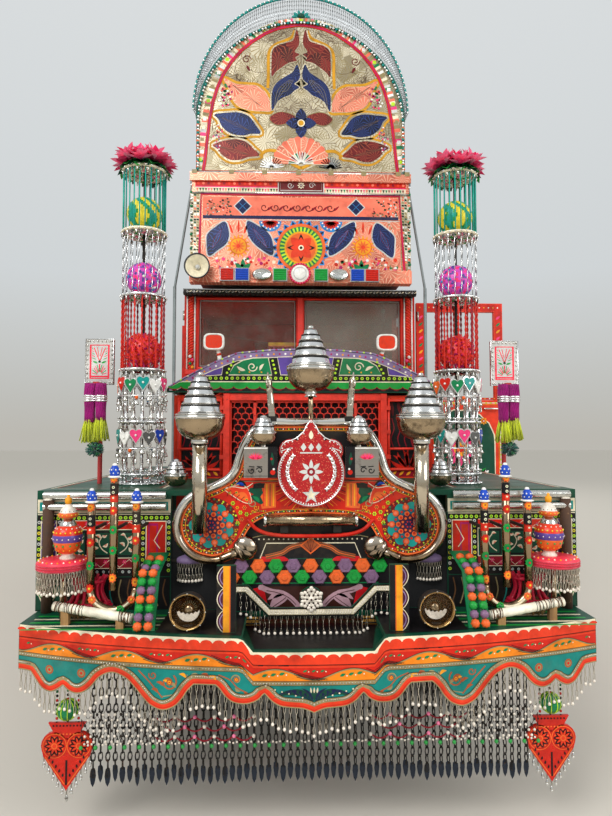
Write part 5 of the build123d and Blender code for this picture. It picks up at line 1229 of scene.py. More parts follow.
# Bull frame: painted face, from the shield out to the round lobes
BULL = -1.3602
face = Paint("bull_face", front(BULL), both=True)
LOBE, LOBE_R = (0.447, 1.274), 0.157
SHOULDER = ((0, 1.738), (0.110, 1.738), (0.200, 1.733), (0.262, 1.694), (0.303, 1.631), (0.326, 1.568),
            (0.343, 1.518), (0.374, 1.481), (0.423, 1.453), (0.478, 1.431))
LOWER = ((0.343, 1.152), (0.308, 1.206), (0.275, 1.262), (0.235, 1.296), (0.160, 1.318), (0, 1.325))
rounded = [polar(LOBE, LOBE_R, radians(a)) for a in (55, 30, 0, -30, -60, -90, -110)]
HALF = [(p.x, p.y) for p in curve((*SHOULDER, *rounded), 4)]
lower = [(p.x, p.y) for p in curve((HALF[-1], *LOWER), 4)]


def drawn_in(points, deep):
    """A row of points from the top middle outwards, moved towards the inside of the frame."""
    made = []
    for i, (u, v) in enumerate(points):
        (u0, v0), (u1, v1) = points[max(i - 1, 0)], points[min(i + 1, len(points) - 1)]
        long = hypot(u1 - u0, v1 - v0)
        made.append((max(0.0, u + (v1 - v0) / long * deep), v - (u1 - u0) / long * deep))
    return made


side = drawn_in(HALF, 0.019)
floor = drawn_in(lower, 0.0015)
# the red field below the boxes, and its border of orange, black and dots
half = [p for p in side if p[1] < 1.487] + [p for p in floor if p[0] < 0.40][1:]
face.poly([(side[[p[1] < 1.487 for p in side].index(True) - 1][0], 1.487)] + half
          + [(-0.001, 1.3265), (-0.001, 1.487)], "red", 1)
BORDER = ((0.004, 0.0070, "orange", 5), (0.0125, 0.0105, "maroon", 4), (0.0195, 0.0022, "amber", 6))
for deep, width, tone, layer in BORDER:
    face.line(drawn_in(HALF, 0.019 + deep), width, tone, layer)
    face.line([p for p in drawn_in(lower, deep) if p[0] < 0.392], width, tone, layer)
beads = drawn_in(HALF, 0.0315) + [p for p in drawn_in(lower, 0.0125) if p[0] < 0.345]
walk, since = 0.0, 0.0
for a, b in zip(beads, beads[1:]):
    step = hypot(b[0] - a[0], b[1] - a[1])
    if step > 0.08:
        continue
    while since + 0.0125 < walk + step:
        since += 0.0125
        t = (since - walk) / step
        spot = (a[0] + (b[0] - a[0]) * t, a[1] + (b[1] - a[1]) * t)
        face.poly(ring(spot, 0.0034, 6), ("lime", "orange", "cream", "leaf")[round(since / 0.0125) % 4], 7)
    walk += step
# lobes: a dark ring of dots round a blue-green flower with orange balls
face.poly(ring(LOBE, 0.1225, 40), "maroon", 3)
for count, reach, size, tones in ((34, 0.1165, 0.0048, ("orange", "leaf", "amber", "lime")),
                                  (28, 0.1075, 0.0036, ("lime", "red", "leaf"))):
    for k in range(count):
        a = TAU * k / count
        face.poly(ring(polar(LOBE, reach, a), size, 7), tones[k % len(tones)], 5)
for swell, tone, layer in ((1.0, "teal", 6), (0.70, "lagoon", 7), (0.46, "plum", 8)):
    face.poly([polar(LOBE, swell * (0.076 + 0.027 * abs(cos(4.5 * a)) ** 0.6), a) for a in around(108)], tone,
              layer)
petals(face, LOBE, 0.086, 9, "forest", 7, 0.14, start=TAU / 18, inner=0.45)
for a in around(9, 0.35):
    for reach, size, tone, layer in ((0.078, 0.0152, "crimson", 8), (0.078, 0.0125, "orange", 9),
                                     (0.0795, 0.0072, "salmon", 10), (0.049, 0.0115, "orange", 9),
                                     (0.047, 0.0065, "red", 10)):
        face.poly(ring(polar(LOBE, reach, a), size, 9), tone, layer)
    for reach, turn, tone in ((0.064, 0.35, "red"), (0.093, 0.0, "orange"), (0.030, 0.35, "orange")):
        face.poly(ring(polar(LOBE, reach, a + turn), 0.0058, 7), tone, 9)
face.poly(ring(LOBE, 0.022, 14), "navy", 9)
for a in around(6):
    face.poly(ring(polar(LOBE, 0.013, a), 0.004, 6), "red", 10)
# band under the boxes
face.band(-0.330, 0.330, 1.474, 1.487, "scarlet", 2, both=False)
face.band(-0.345, 0.345, 1.4705, 1.474, "black", 3, both=False)
face.band(-0.345, 0.345, 1.4685, 1.4705, "khaki", 3, both=False)
# fan of fine rays under the shield
for k in range(27):
    a = radians(-78 + 6 * k)
    face.line([(0.150 * sin(a), 1.510 - 0.150 * cos(a)),
               (0.205 * sin(a), 1.510 - (0.176 + 0.028 * (k % 2) * sin(a) ** 2) * cos(a))], 0.0028,
              ("amber", "orange", "black")[k % 3], 3, both=False)
face.poly([(0.0, 1.331), (0.060, 1.333), (0.075, 1.350), (0.0, 1.352)], "rust", 4)
face.poly([(0.010, 1.334), (0.050, 1.335), (0.058, 1.346), (0.010, 1.348)], "orange", 5)
face.dots([(0.085, 1.338), (0.105, 1.337), (0.125, 1.336)], 0.005, "leaf", 5)
# orange panel with bars, and the dark tree beside it
face.poly([(0.158, 1.352), (0.222, 1.346), (0.232, 1.400), (0.226, 1.462), (0.160, 1.464)], "orange", 4)
for k in range(4):
    x = 0.166 + 0.015 * k
    face.poly(rect(x, x + 0.0065, 1.358, 1.458), ("amber", "rust", "amber", "scarlet")[k], 5)
face.poly([(0.214, 1.372), (0.226, 1.366), (0.262, 1.386), (0.272, 1.404), (0.258, 1.412), (0.282, 1.424),
           (0.276, 1.440), (0.250, 1.444), (0.262, 1.456), (0.236, 1.464), (0.206, 1.458), (0.222, 1.440),
           (0.216, 1.418), (0.228, 1.402)], "forest", 6)
face.poly([(0.212, 1.440), (0.262, 1.436), (0.258, 1.458), (0.208, 1.462)], "black", 7)
face.poly(leaf((0.232, 1.376), (0.262, 1.402), 0.016, 0.1), "leaf", 7)
# bright fish-shaped leaf with a cream outline
body = leaf((0.268, 1.372), (0.392, 1.434), 0.066, 0.16, steps=12)
face.poly(body, "scarlet", 5)
face.line(body, 0.0026, "cream", 6, closed=True)
face.poly(leaf((0.282, 1.382), (0.345, 1.412), 0.030, 0.16), "orange", 6)
for k in range(4):
    face.line(curve([(0.300 + 0.020 * k, 1.400 + 0.010 * k), (0.314 + 0.020 * k, 1.388 + 0.010 * k),
                     (0.316 + 0.020 * k, 1.372 + 0.011 * k)], 3), 0.0022, "black", 7)
for spot in ((0.290, 1.388), (0.336, 1.420), (0.366, 1.418)):
    face.dots([spot], 0.0068, "amber", 7)
    face.dots([spot], 0.0036, "leaf", 8)
face.line(curl((0.262, 1.372), 0.020, 1.1, 0.6, -1), 0.0045, "khaki", 6)
face.line(curl((0.248, 1.352), 0.013, 1.1, 2.6, 1), 0.0035, "amber", 6)
# dark corner leaves above, flowers and dots below
face.poly(leaf((0.290, 1.448), (0.352, 1.462), 0.026, 0.12), "black", 5)
face.poly(leaf((0.300, 1.450), (0.340, 1.460), 0.014, 0.12), "blue", 6)
face.line(curve([(0.262, 1.462), (0.300, 1.440), (0.350, 1.446), (0.385, 1.440)], 5), 0.0035, "cream", 6)
for k, (x, z) in enumerate(((0.300, 1.352), (0.318, 1.330), (0.332, 1.352), (0.312, 1.300), (0.330, 1.282),
                            (0.338, 1.250), (0.350, 1.222), (0.290, 1.322), (0.262, 1.334), (0.240, 1.338),
                            (0.352, 1.372), (0.362, 1.196))):
    flower(face, (x, z), 0.0125 - 0.002 * (k % 3),
           (("orange", "lime", "amber")[k % 3], "black", "amber"), 5, 6)
for k in range(8):
    face.dots([(0.205 + 0.0095 * k, 1.336 - 0.0042 * max(0, k - 4))], 0.0032, ("khaki", "lime")[k % 2], 5)
# the plate above the boxes and behind the shield
face.line(drawn_in(HALF, 0.030)[:[p[1] < 1.487 for p in HALF].index(True)], 0.0030, "khaki", 3)
face.done("chassis", "bull_black")

# Shield: studded edge, wreath and star
SHIELD = -1.4085
badge = Build("shield_trim")
rim = []
for k in range(61):
    a = radians(128 + 284 * k / 60)
    rim.append((0.146 * cos(a), 1.510 + 0.146 * sin(a)))
rim += [polar((0.092, 1.610), 0.046, radians(t)) for t in (-5, 20, 45, 70, 95)]
rim += [(0.062, 1.668), (0.034, 1.694), (0.020, 1.722), (0, 1.748), (-0.020, 1.722), (-0.034, 1.694),
        (-0.062, 1.668)]
rim += [polar((-0.092, 1.610), 0.046, radians(t)) for t in (85, 110, 135, 160, 185)]
badge.add(tube([(x, SHIELD + 0.002, z) for x, z in rim], 0.0035, 6, True), TINSEL)
small = ball(0.0042, 4, 6)
for i, (x, z) in enumerate(rim):
    badge.add(small, TINSEL, moved((x * 0.955, SHIELD + 0.001, 1.510 + (z - 1.510) * 0.955)))
leaflet = ball(0.0062, 4, 6, 2.2)
for side in (-1, 1):
    for k in range(9):
        a = radians(-48 + 11 * k)
        x, z = side * 0.106 * cos(a), 1.518 + 0.106 * sin(a)
        for lean in (-0.7, 0.7):
            badge.add(leaflet, TINSEL,
                      moved((x, SHIELD, z), along=(side * sin(-a + lean), 0, cos(-a + lean))))
badge.done("chassis", "ornament_chrome")
emblem = Paint("shield_star", front(SHIELD + 0.0002))
emblem.poly(star((0, 1.412), 0.042, 0.017), paint("silver"), 2)
emblem.poly(star((0, 1.412), 0.024, 0.010), paint("cream"), 3)
petals(emblem, (0, 1.515), 0.055, 8, paint("silver"), 2, 0.32)
emblem.poly(ring((0, 1.515), 0.018, 14), paint("wine"), 3)
emblem.dots([(0, 1.515)], 0.008, paint("silver"), 4)
for x in (-0.034, 0, 0.034):
    emblem.poly(ring((x, 1.625), 0.013, 4, 0.019), paint("silver"), 2)
emblem.poly(rect(-0.05, 0.05, 1.597, 1.603), paint("silver"), 2)
emblem.poly(leaf((0, 1.66), (0, 1.70), 0.02), paint("cream"), 2)
emblem.done("chassis", "shield_red")

# Plated boxes beside the shield
plates = Build("box_plates")
plates.pair(block((0.150, -1.4535, 1.492), (0.297, -1.4495, 1.628)),
            chrome("box_tin", "#A9A29A", 0.28, 0.45, 0.5, "#5E554C"), smooth=False)
plates.done("chassis", "ornament_chrome")
boxes = Paint("box_fronts", front(-1.4538), both=True)
boxes.poly(rect(0.150, 0.192, 1.492, 1.628), "black", 1)
boxes.dots([(0.170, 1.516)], 0.0115, "red", 3)
boxes.dots([(0.166, 1.530)], 0.0050, "white", 3)
boxes.poly(leaf((0.170, 1.545), (0.174, 1.605), 0.015), "forest", 3)
boxes.dots([(0.176, 1.575)], 0.0052, "crimson", 4)
for k in range(9):
    a = radians(18 + 18 * k)
    boxes.poly(leaf((0.245 + 0.006 * cos(a), 1.572), (0.245 + 0.036 * cos(a), 1.578 + 0.026 * sin(a)), 0.006),
               "rose" if k % 2 else "coral", 3)
for x, hand in ((0.228, 1), (0.262, -1)):
    boxes.line(curl((x, 1.524), 0.015, 1.0, 0.3, hand), 0.0045, "black", 3)
    boxes.line([(x - 0.012, 1.540), (x + 0.012, 1.542)], 0.0040, "black", 3)
boxes.line([(0.193, 1.500), (0.296, 1.500)], 0.0030, "grey", 2)
boxes.line([(0.193, 1.622), (0.296, 1.622)], 0.0050, "white", 2)
boxes.done("chassis", "ornament_chrome")

# Painted fronts of the wings
FASCIA = -1.3002
boards = Paint("fascia_boards", front(FASCIA), both=True)
boards.poly(rect(0.643, 1.247, 1.034, 1.318), "black", 1)
boards.line([(0.645, 1.316), (1.246, 1.316)], 0.004, "cream", 2)
boards.dots([(0.66 + 0.0235 * k, 1.300) for k in range(25)], 0.0085, "lime", 2, 9)
boards.dots([(0.66 + 0.0235 * k, 1.300) for k in range(25)], 0.0040, "green", 3, 6)
boards.dots([(0.80 + 0.029 * k, 1.055) for k in range(12)], 0.0068, "silver", 2, 7)
boards.dots([(0.80 + 0.029 * k, 1.055) for k in range(12)], 0.0030, "teal", 3, 6)
for x in (0.6505, 0.768, 1.146, 1.239):
    for k in range(10):
        tone = ("lime", "silver", "lime", "yellow")[k % 4]
        boards.poly(ring((x, 1.060 + 0.0245 * k), 0.0078, 9), tone, 2)
        boards.poly(ring((x, 1.060 + 0.0245 * k), 0.0036, 6), "forest", 3)
boards.poly(rect(0.784, 1.128, 1.248, 1.286), "red", 2)
boards.poly(rect(0.784, 1.128, 1.072, 1.115), "wine", 2)
boards.line([(0.786, 1.2875), (1.130, 1.2875)], 0.003, "cream", 3)
boards.line([(0.786, 1.0710), (1.130, 1.0710)], 0.003, "cream", 3)
for low, high, hot in ((1.252, 1.282, "pink"), (1.076, 1.111, "pink")):
    boards.line([(0.786 + 0.043 * k, high if k % 2 else low) for k in range(9)], 0.0028, "cream", 3)
    for k in range(8):
        x = 0.8075 + 0.043 * k
        flower(boards, (x, (low + high) / 2 + (0.005 if k % 2 else -0.005)), 0.0105,
               (hot, "red", "cream"), 3, 6)
boards.poly(rect(0.784, 1.130, 1.117, 1.246), "forest", 2)
for x in (0.784, 0.900, 1.016, 1.130):
    boards.line([(x, 1.117), (x, 1.246)], 0.0035, "cream", 3)
for z in (1.1175, 1.2465):
    boards.line([(0.784, z), (1.130, z)], 0.0035, "cream", 3)
for k, c in enumerate((0.842, 0.958, 1.073)):
    boards.poly(rect(c - 0.050, c + 0.050, 1.123, 1.240), "black", 3)
    boards.poly(rect(c - 0.042, c + 0.042, 1.131, 1.232), "forest", 4)
    lean = 1 if k % 2 else -1
    sprig = curve([(c - 0.030 * lean, 1.140), (c - 0.004 * lean, 1.160), (c + 0.008 * lean, 1.190),
                   (c - 0.010 * lean, 1.222)], 5)
    boards.line(sprig, 0.0045, "cream", 5)
    for u, v, du, dv, w in ((0.010, 1.165, 0.026, -0.016, 0.015), (0.012, 1.188, 0.024, 0.014, 0.015),
                            (-0.002, 1.205, 0.030, 0.016, 0.014), (-0.008, 1.170, -0.024, 0.016, 0.014),
                            (-0.004, 1.218, -0.024, 0.004, 0.012)):
        boards.poly(leaf((c + u * lean, v), (c + (u + du) * lean, v + dv), w, 0.22, steps=8), "cream", 5)
        boards.poly(leaf((c + (u + du * 0.3) * lean, v + dv * 0.3), (c + (u + du * 0.8) * lean, v + dv * 0.8),
                         w * 0.4, 0.2, steps=6), "salmon", 6)
boards.poly(rect(1.160, 1.229, 1.046, 1.288), "purple", 2)
boards.line(rect(1.160, 1.229, 1.046, 1.288), 0.004, "cream", 3, True)
boards.line([(1.162, 1.050), (1.227, 1.167), (1.162, 1.284)], 0.0035, "cream", 3)
boards.line([(1.227, 1.050), (1.162, 1.167), (1.227, 1.284)], 0.0035, "cream", 4)
boards.line([(1.162, 1.167), (1.227, 1.167)], 0.0025, "lime", 4)
boards.poly(rect(0.661, 0.756, 1.104, 1.286), "cream", 2)
boards.poly(rect(0.6655, 0.7515, 1.1085, 1.2815), "red", 3)
boards.poly(rect(0.700, 0.744, 1.116, 1.274), "magenta", 4)
boards.poly(rect(0.706, 0.738, 1.126, 1.264), "red", 5)
boards.line([(0.679, 1.266), (0.717, 1.196), (0.690, 1.160)], 0.0038, "cream", 6)
boards.poly(rect(0.643, 1.247, 1.322, 1.384), paint("cream", 0.3), 1)
boards.poly(rect(0.655, 1.238, 1.332, 1.372), "teal", 2)
for k in range(12):
    boards.poly(leaf((0.68 + 0.047 * k, 1.343), (0.705 + 0.047 * k, 1.361), 0.012),
                ("red", "amber")[k % 2], 3)
boards.poly(rect(0.643, 1.247, 0.884, 1.030), "black", 1)
boards.poly([(1.115, 0.886), (1.245, 0.886), (1.245, 1.028), (1.150, 1.028)], "forest", 2)
for foot, tip in (((1.205, 0.915), (1.222, 1.015)), ((1.195, 0.910), (1.165, 1.000)),
                  ((1.210, 0.905), (1.240, 0.960))):
    boards.poly(leaf(foot, tip, 0.022, 0.12), "cream", 3)
    boards.poly(leaf(foot, tip, 0.010, 0.12), "green", 4)
for k in range(12):
    x = 0.665 + 0.040 * k
    boards.line(curve([(x, 1.020), (x + 0.010, 0.960), (x - 0.008, 0.900)], 4), 0.006,
                ("brown", "khaki", "teal", "brown")[k % 4], 2)
boards.done("chassis", "wing_paint")

# Red wire basket on a bundle of straw, in front of each painted board
coils = Build("fascia_coils")
CRIMSON = plastic("ruby", 0.25)
rng = random.Random(17)
for z, reach in ((0.928, 0.098), (0.940, 0.090), (1.036, 0.066)):
    loop = [(0.982 + reach * cos(a), -1.385 + 0.52 * reach * sin(a), z) for a in around(28)]
    coils.pair(tube(loop, 0.0080, 8, True), CRIMSON)
for a in around(13):
    rib = [(0.982 + reach * cos(a), -1.385 + 0.52 * reach * sin(a), z) for z,
           reach in ((0.932, 0.092), (0.962, 0.070), (1.000, 0.058), (1.040, 0.068), (1.058, 0.080))]
    coils.pair(tube(curve(rib, 3), 0.0068, 8), CRIMSON)
STRAW = timber("straw_bundle", "#A88A50", "#4E3A1E", (30.0, 30.0, 2.0))
for k in range(46):
    a, r = rng.uniform(0, TAU), sqrt(rng.random())
    x, y = 0.982 + 0.086 * r * cos(a), -1.385 + 0.044 * r * sin(a)
    coils.pair(block((x - 0.004, y - 0.003, 0.880), (x + 0.004, y + 0.003, 0.925 + 0.05 * (1 - r))),
               STRAW, smooth=False)
coils.done("chassis", "wing_paint")

# Shelf front: striped boards between the bumper and the painted fronts
shelf = Paint("shelf_stripes", lambda u, v, lift: (u, v, 0.8802 + lift))
for k in range(5):
    shelf.band(0.42, 1.20, bow(0.9) + 0.02 + 0.045 * k, bow(0.9) + 0.035 + 0.045 * k,
               ("green", "cream")[k % 2], 1, both=True)
shelf.done("chassis", "bumper_paint")

shadow = Paint("shelf_shadow", lambda u, v, lift: (u, v, 0.8802 + lift))
shadow.poly([(0.290, bow(0.29) + 0.032), (0.640, bow(0.64) + 0.032), (0.640, -1.302), (0.290, -1.302)],
            "black", 2, True)
shadow.place = lambda u, v, lift: (u, v, 0.8282 + lift)
shadow.poly([(-0.236, bow(0.236) + 0.030), (0.236, bow(0.236) + 0.030), (0.298, -1.342), (-0.298, -1.342)],
            "black", 2)
shadow.done("chassis", "bumper_paint")

# Flower tubes with bulb finials, decals, the bow between them with a painted cream highlight, and the wrapped
# bar
tubes = Build("flower_tube_set")
POLE = chrome("tube_plated", "#9A8468", 0.08, 0.32, 0.35, "#3A2A1C")
COLLAR = plastic("white")
BULB = lathe([(0.014, -0.006), (0.020, 0.002), (0.0225, 0.014), (0.020, 0.028), (0.013, 0.040),
              (0.009, 0.044)], 14)
TIP = lathe([(0.0095, 0.043), (0.010, 0.047), (0.007, 0.052), (0, 0.054)], 10)
TUBE_Y, TUBE_R = -1.500, 0.0172
# x, top, then each mark with its height: o orange, r red, g green flowers; k black collar; b red block
TUBES = ((0.938, 1.446, (("o", 1.374), ("k", 1.316), ("b", 1.278), ("r", 1.226), ("g", 1.130), ("r", 1.035))),
         (0.843, 1.552, (("o", 1.4960), ("k", 1.448), ("b", 1.412), ("r", 1.360), ("g", 1.279), ("g", 1.193),
                         ("o", 1.078))), (0.748, 1.445, (("o", 1.378), ("k", 1.328), ("b", 1.283),
                                                         ("r", 1.234), ("g", 1.160), ("o", 1.061))),)
BLOOM = {"o": ("orange", "amber", "rust"), "r": ("red", "scarlet", "yellow"), "g": ("green", "leaf", "red")}


def on_tube(x, y, z, radius):
    """A place on the front of an upright tube, for u across it and v up."""
    return lambda u, v, lift: (x + (radius + lift) * sin(u / radius),
                               y - (radius + lift) * cos(u / radius), z + v)


decal = Paint("tube_decals", None, 0.006)
for x, top, marks in TUBES:
    foot, head = (1.026 if x == 0.843 else 1.034), top - 0.052
    tubes.pair(tube([(x, TUBE_Y, foot), (x, TUBE_Y, head)], TUBE_R, 20), POLE)
    tubes.pair(BULB, plastic("blue", 0.2), moved((x, TUBE_Y, head + 0.006)))
    tubes.pair(TIP, COLLAR, moved((x, TUBE_Y, head + 0.006)))
    tubes.pair(lathe([(0.017, -0.004), (0.028, 0.000), (0.027, 0.004), (0.012, 0.008)], 18), COLLAR,
               moved((x, TUBE_Y, head)))
    for a in around(7, 0.2):
        for ring_z, shift in ((0.012, 0.0), (0.026, 0.45)):
            tubes.pair(ball(0.0034, 4, 6), COLLAR,
                       moved((*polar((x, TUBE_Y), 0.0205, a + shift), head + 0.006 + ring_z)))
    for side in (-1, 1):
        for kind, z in marks:
            decal.place = on_tube(side * x, TUBE_Y, z, TUBE_R)
            if kind == "k":
                decal.poly(rect(-0.024, 0.024, -0.026, 0.026), "black", 1)
                for v in (-0.011, 0.010):
                    decal.poly(ring((0, v), 0.0062, 8), "cream", 2)
                    decal.poly(ring((0, v), 0.0030, 6), "leaf", 3)
            elif kind == "b":
                decal.poly(rect(-0.022, 0.022, -0.0165, 0.0165), "red", 1)
                decal.poly(rect(-0.0075, 0.0075, -0.0105, 0.0105), "scarlet", 2)
                decal.poly(ring((0, 0.002), 0.0045, 7), "cream", 3)
            else:
                outer, inner, heart = BLOOM[kind]
                petals(decal, (0, 0), 0.0205, 9, outer, 1, 0.62)
                petals(decal, (0, 0), 0.0125, 9, inner, 2, 0.5)
                decal.poly(ring((0, 0), 0.0045, 7), heart, 3)
decal.done("chassis", "tube_paint")
bend = [(0.843 + 0.095 * cos(pi * k / 24), TUBE_Y, 1.036 - 0.095 * sin(pi * k / 24)) for k in range(25)]
tubes.pair(tube(bend, TUBE_R, 20), POLE)
# a thin cream tube along the front of the bow: a painted highlight
tubes.pair(tube([(u, y - 0.0155, v + 0.004) for u, y, v in bend[2:-2]], 0.0046, 8), plastic("cream"))
for k, tone in ((4, "o"), (20, "o"), (15, "g")):
    u, y, v = bend[k]
    for side in (-1, 1):
        outer, inner, heart = BLOOM[tone]
        for a in around(8):
            tubes.add(ball(0.0066, 4, 6, 0.45), plastic(outer),
                      facing((side * (u + 0.0115 * cos(a)), y - 0.0185, v + 0.0115 * sin(a))))
        tubes.add(ball(0.0068, 4, 8, 0.55), plastic(inner), facing((side * u, y - 0.0200, v)))
for x in (0.748, 0.843, 0.938):
    tubes.pair(block((x - 0.005, TUBE_Y, 1.270), (x + 0.005, -1.300, 1.282)), IRON, smooth=False)
start, finish = Vector((0.745, -1.560, 0.922)), Vector((1.095, -1.480, 0.954))
WRAP = worn("bar_cream", "#EDE4CE", "#9A7A50", 0.5, 0.0, 14.0, 0.66)
wrapped = [start.lerp(finish, t / 40) for t in range(41)]
tubes.pair(tube(wrapped, [0.0195 + 0.0006 * sin(t * 1.3) for t in range(41)], 16), WRAP)
rng = random.Random(29)
for t0, t1 in ((0.02, 0.16), (0.62, 0.97)):
    for k in range(15):
        t = t0 + (t1 - t0) * k / 14
        p = start.lerp(finish, t)
        lean, twist = rng.uniform(-0.012, 0.012), rng.uniform(0, TAU)
        loop = [(p.x + lean * sin(a + twist), p.y + 0.0205 * cos(a), p.z + 0.0205 * sin(a))
                for a in around(14)]
        tubes.pair(tube(loop, 0.0012 + 0.0006 * (k % 3), 5, True),
                   (plastic("black"), LINKS, plastic("brown"))[k % 3])
for t in (0.15, 0.85):
    p = start.lerp(finish, t)
    tubes.pair(block((p.x - 0.016, p.y - 0.014, 0.880), (p.x + 0.016, p.y + 0.014, p.z - 0.010)),
               timber("feet_wood", "#B48A55", "#6A4A2A", (8.0, 8.0, 1.0)), smooth=False)
tubes.done("chassis", "tube_paint", "flower_tubes")

# Bead pads: ribbed balls in pairs on a leaning strip that curls back at its top
pads = Build("bead_pad_rows")


def ribbed(radius, ribs=8):
    points, faces = lathe([(0, -0.5 * radius), (radius * 0.62, -0.42 * radius), (radius, 0),
                           (radius * 0.86, 0.4 * radius), (radius * 0.5, 0.72 * radius), (0, 0.8 * radius)],
                          ribs * 2)
    for i, p in enumerate(points):
        if (i % 2) and p.to_2d().length > 1e-6:
            p.x, p.y = p.x * 0.84, p.y * 0.84
    return points, faces


ROSETTE = ribbed(0.0205)
way = []
for i in range(10):
    if i < 7:
        way.append((-1.604 + 0.0133 * i, 0.903 + 0.0327 * i, (0, -1, 0.35)))
    else:
        way.append((-1.524 + 0.042 * (i - 6), 1.099 + 0.011 * (i - 6), (0, -0.45, 1)))
order = ("orange", "heather", "green")
for i, (y, z, out) in enumerate(way):
    for side in (-0.0215, 0.0215):
        pads.pair(ROSETTE, plastic(order[i % 3], 0.36), moved((0.692 + side, y, z), 0.2 * i, along=out))
strip = [(y + 0.020, z - 0.004) for y, z, _ in way]
strip = [(strip[0][0] - 0.008, 0.881)] + strip + [(-1.302, 1.142)]
points = [Vector((0.692 + s * 0.045, y + d, z - d * 0.3)) for y, z in strip for s,
          d in ((-1, 0), (1, 0), (1, 0.01), (-1, 0.01))]
faces = [(4 * i + k, 4 * i + (k + 1) % 4, 4 * i + 4 + (k + 1) % 4, 4 * i + 4 + k)
         for i in range(len(strip) - 1) for k in range(4)]
pads.pair((points, faces), paint("leaf"))
pads.done("chassis", "bead_plastic", "bead_pads")

# Urns on fringed stands
stands = Build("urn_stands")
STAND = Vector((1.075, -1.440, 1.112))
# the stand's pole is tinted with a painted brown reflection of the ground
stands.pair(tube([(1.075, -1.44, 0.88), (1.075, -1.44, 1.112)], 0.012, 12), BROWN_REFLECTING)
stands.pair(lathe([(0, -0.010), (0.100, -0.010), (0.1065, -0.004), (0.1075, 0.026), (0.100, 0.031),
                   (0, 0.031)], 32), plastic("coral"), moved(STAND))
for z in (-0.002, 0.008, 0.018):
    stands.pair(tube([(0.1082 * cos(TAU * k / 40), 0.1082 * sin(TAU * k / 40), z) for k in range(40)], 0.0032,
                     5, True), cloth("stand_cord", "#E02A48", 300.0), moved(STAND))
for k in range(44):
    a = TAU * k / 44
    for side in (-1, 1):
        pendant(stands, side * STAND.x + 0.102 * cos(a), STAND.y + 0.102 * sin(a), STAND.z - 0.006,
                0.094 + 0.006 * (k % 2))
for k in range(26):
    a = TAU * k / 26
    stands.pair(small, GOLD if k % 2 else PEARL,
                moved((*polar((STAND.x, STAND.y), 0.098, a), STAND.z + 0.032)))
URN_AT = moved((1.058, -1.440, 1.142))


def urn_part(profile, mat):
    stands.pair(lathe(profile, 24), mat, URN_AT)


def urn_dots(count, radius, height, mat, size=0.7):
    for a in around(count):
        stands.pair(small, mat, URN_AT @ moved((radius * cos(a), radius * sin(a), height), scale=size))


urn_part([(0, 0), (0.030, 0), (0.034, 0.008), (0.024, 0.018), (0.026, 0.026)], PEARL)
urn_part([(0.026, 0.026), (0.044, 0.038), (0.054, 0.056), (0.0585, 0.078)], plastic("orange", 0.2))
urn_part([(0.0585, 0.078), (0.0625, 0.086), (0.0630, 0.100), (0.0600, 0.108)], plastic("purple", 0.2))
urn_part([(0.0600, 0.108), (0.0580, 0.122), (0.0490, 0.138), (0.0360, 0.146)], plastic("scarlet", 0.2))
urn_part([(0.036, 0.146), (0.034, 0.156), (0.024, 0.168), (0.018, 0.176)], BRIGHT)
urn_part([(0.018, 0.176), (0.038, 0.183), (0.043, 0.193), (0.036, 0.202)], plastic("orange", 0.2))
urn_part([(0.036, 0.202), (0.031, 0.214), (0.021, 0.228), (0.009, 0.238)], PEARL)
urn_part([(0.009, 0.238), (0.014, 0.243), (0.014, 0.262), (0.006, 0.268), (0.006, 0.278), (0, 0.280)],
         paint("amber"))
urn_dots(16, 0.0632, 0.093, PEARL)
urn_dots(18, 0.0585, 0.120, plastic("yellow"), 0.9)
urn_dots(14, 0.0500, 0.136, PEARL, 0.8)
urn_dots(12, 0.0560, 0.064, plastic("fern"), 1.1)
urn_dots(12, 0.0475, 0.044, plastic("amber"), 0.9)
urn_dots(14, 0.0435, 0.193, plastic("yellow"), 0.6)
urn_dots(12, 0.0335, 0.208, plastic("umber"), 0.6)
poles = worn("pole_dark", "#4A3222", "#8A6A4A", 0.7, 0.0, 24.0, 0.62)
stands.pair(tube([(1.192, FASCIA - 0.017, 0.881), (1.192, FASCIA - 0.017, 1.385)], 0.0246, 14), poles)
stands.pair(lathe([(0.0246, 0), (0.0200, 0.007), (0, 0.009)], 14), PEARL,
            moved((1.192, FASCIA - 0.017, 1.384)))
stands.done("chassis", "ornament_chrome", "urns")

# Headlamps with reflector, bulb and lens, and fringed hoods behind them
lamps = Build("headlamp_shells")
LAMP = facing((0.512, -1.600, 0.960))
lamps.pair(lathe([(0.030, -0.108), (0.052, -0.092), (0.070, -0.05), (0.0735, -0.02), (0.0765, -0.012),
                  (0.078, 0.0), (0.0765, 0.007), (0.0735, 0.010)], 32), IRON, LAMP)
lamps.pair(lathe([(0.0735, 0.010), (0.0705, 0.0105), (0.0675, 0.008), (0.066, 0.0)], 32),
           chrome("lamp_rim", "#B08E5C", 0.08, 0.3, 0.5, "#4A3018"), LAMP)
lamps.pair(lathe([(0.0, -0.108), (0.030, -0.108)], 32), IRON, LAMP)
# the reflector's brown tone is a painted reflection of the surroundings
lamps.pair(lathe([(0.066, 0.0), (0.062, -0.018), (0.048, -0.040), (0.026, -0.054), (0.0, -0.058)], 32),
           chrome("reflector_brown_reflection", "#7A5426", 0.12, 0.34, 1.0, "#24140A"), LAMP)
# a pale crescent with a jagged top in the lower half of the reflector: a painted reflection of the bright
# ground
crescent = [(0.047 * cos(t), -0.047 * sin(t)) for t in [radians(8 + 16.4 * k) for k in range(11)]]
for k in range(12):
    t = k / 11
    crescent.append((-0.045 + 0.090 * t, -0.012 * sin(pi * t) - (0.007 if k % 2 else 0.0)))
lamps.pair(plate(crescent, 0.001), PEARL, moved((0.512, -1.600 + 0.017, 0.962)), smooth=False)
# the bulb shield is tinted with a painted brown reflection of the ground
lamps.pair(lathe([(0.022, -0.046), (0.0215, -0.030), (0.017, -0.024), (0.009, -0.021), (0.0, -0.020)], 20),
           BROWN_REFLECTING, LAMP)
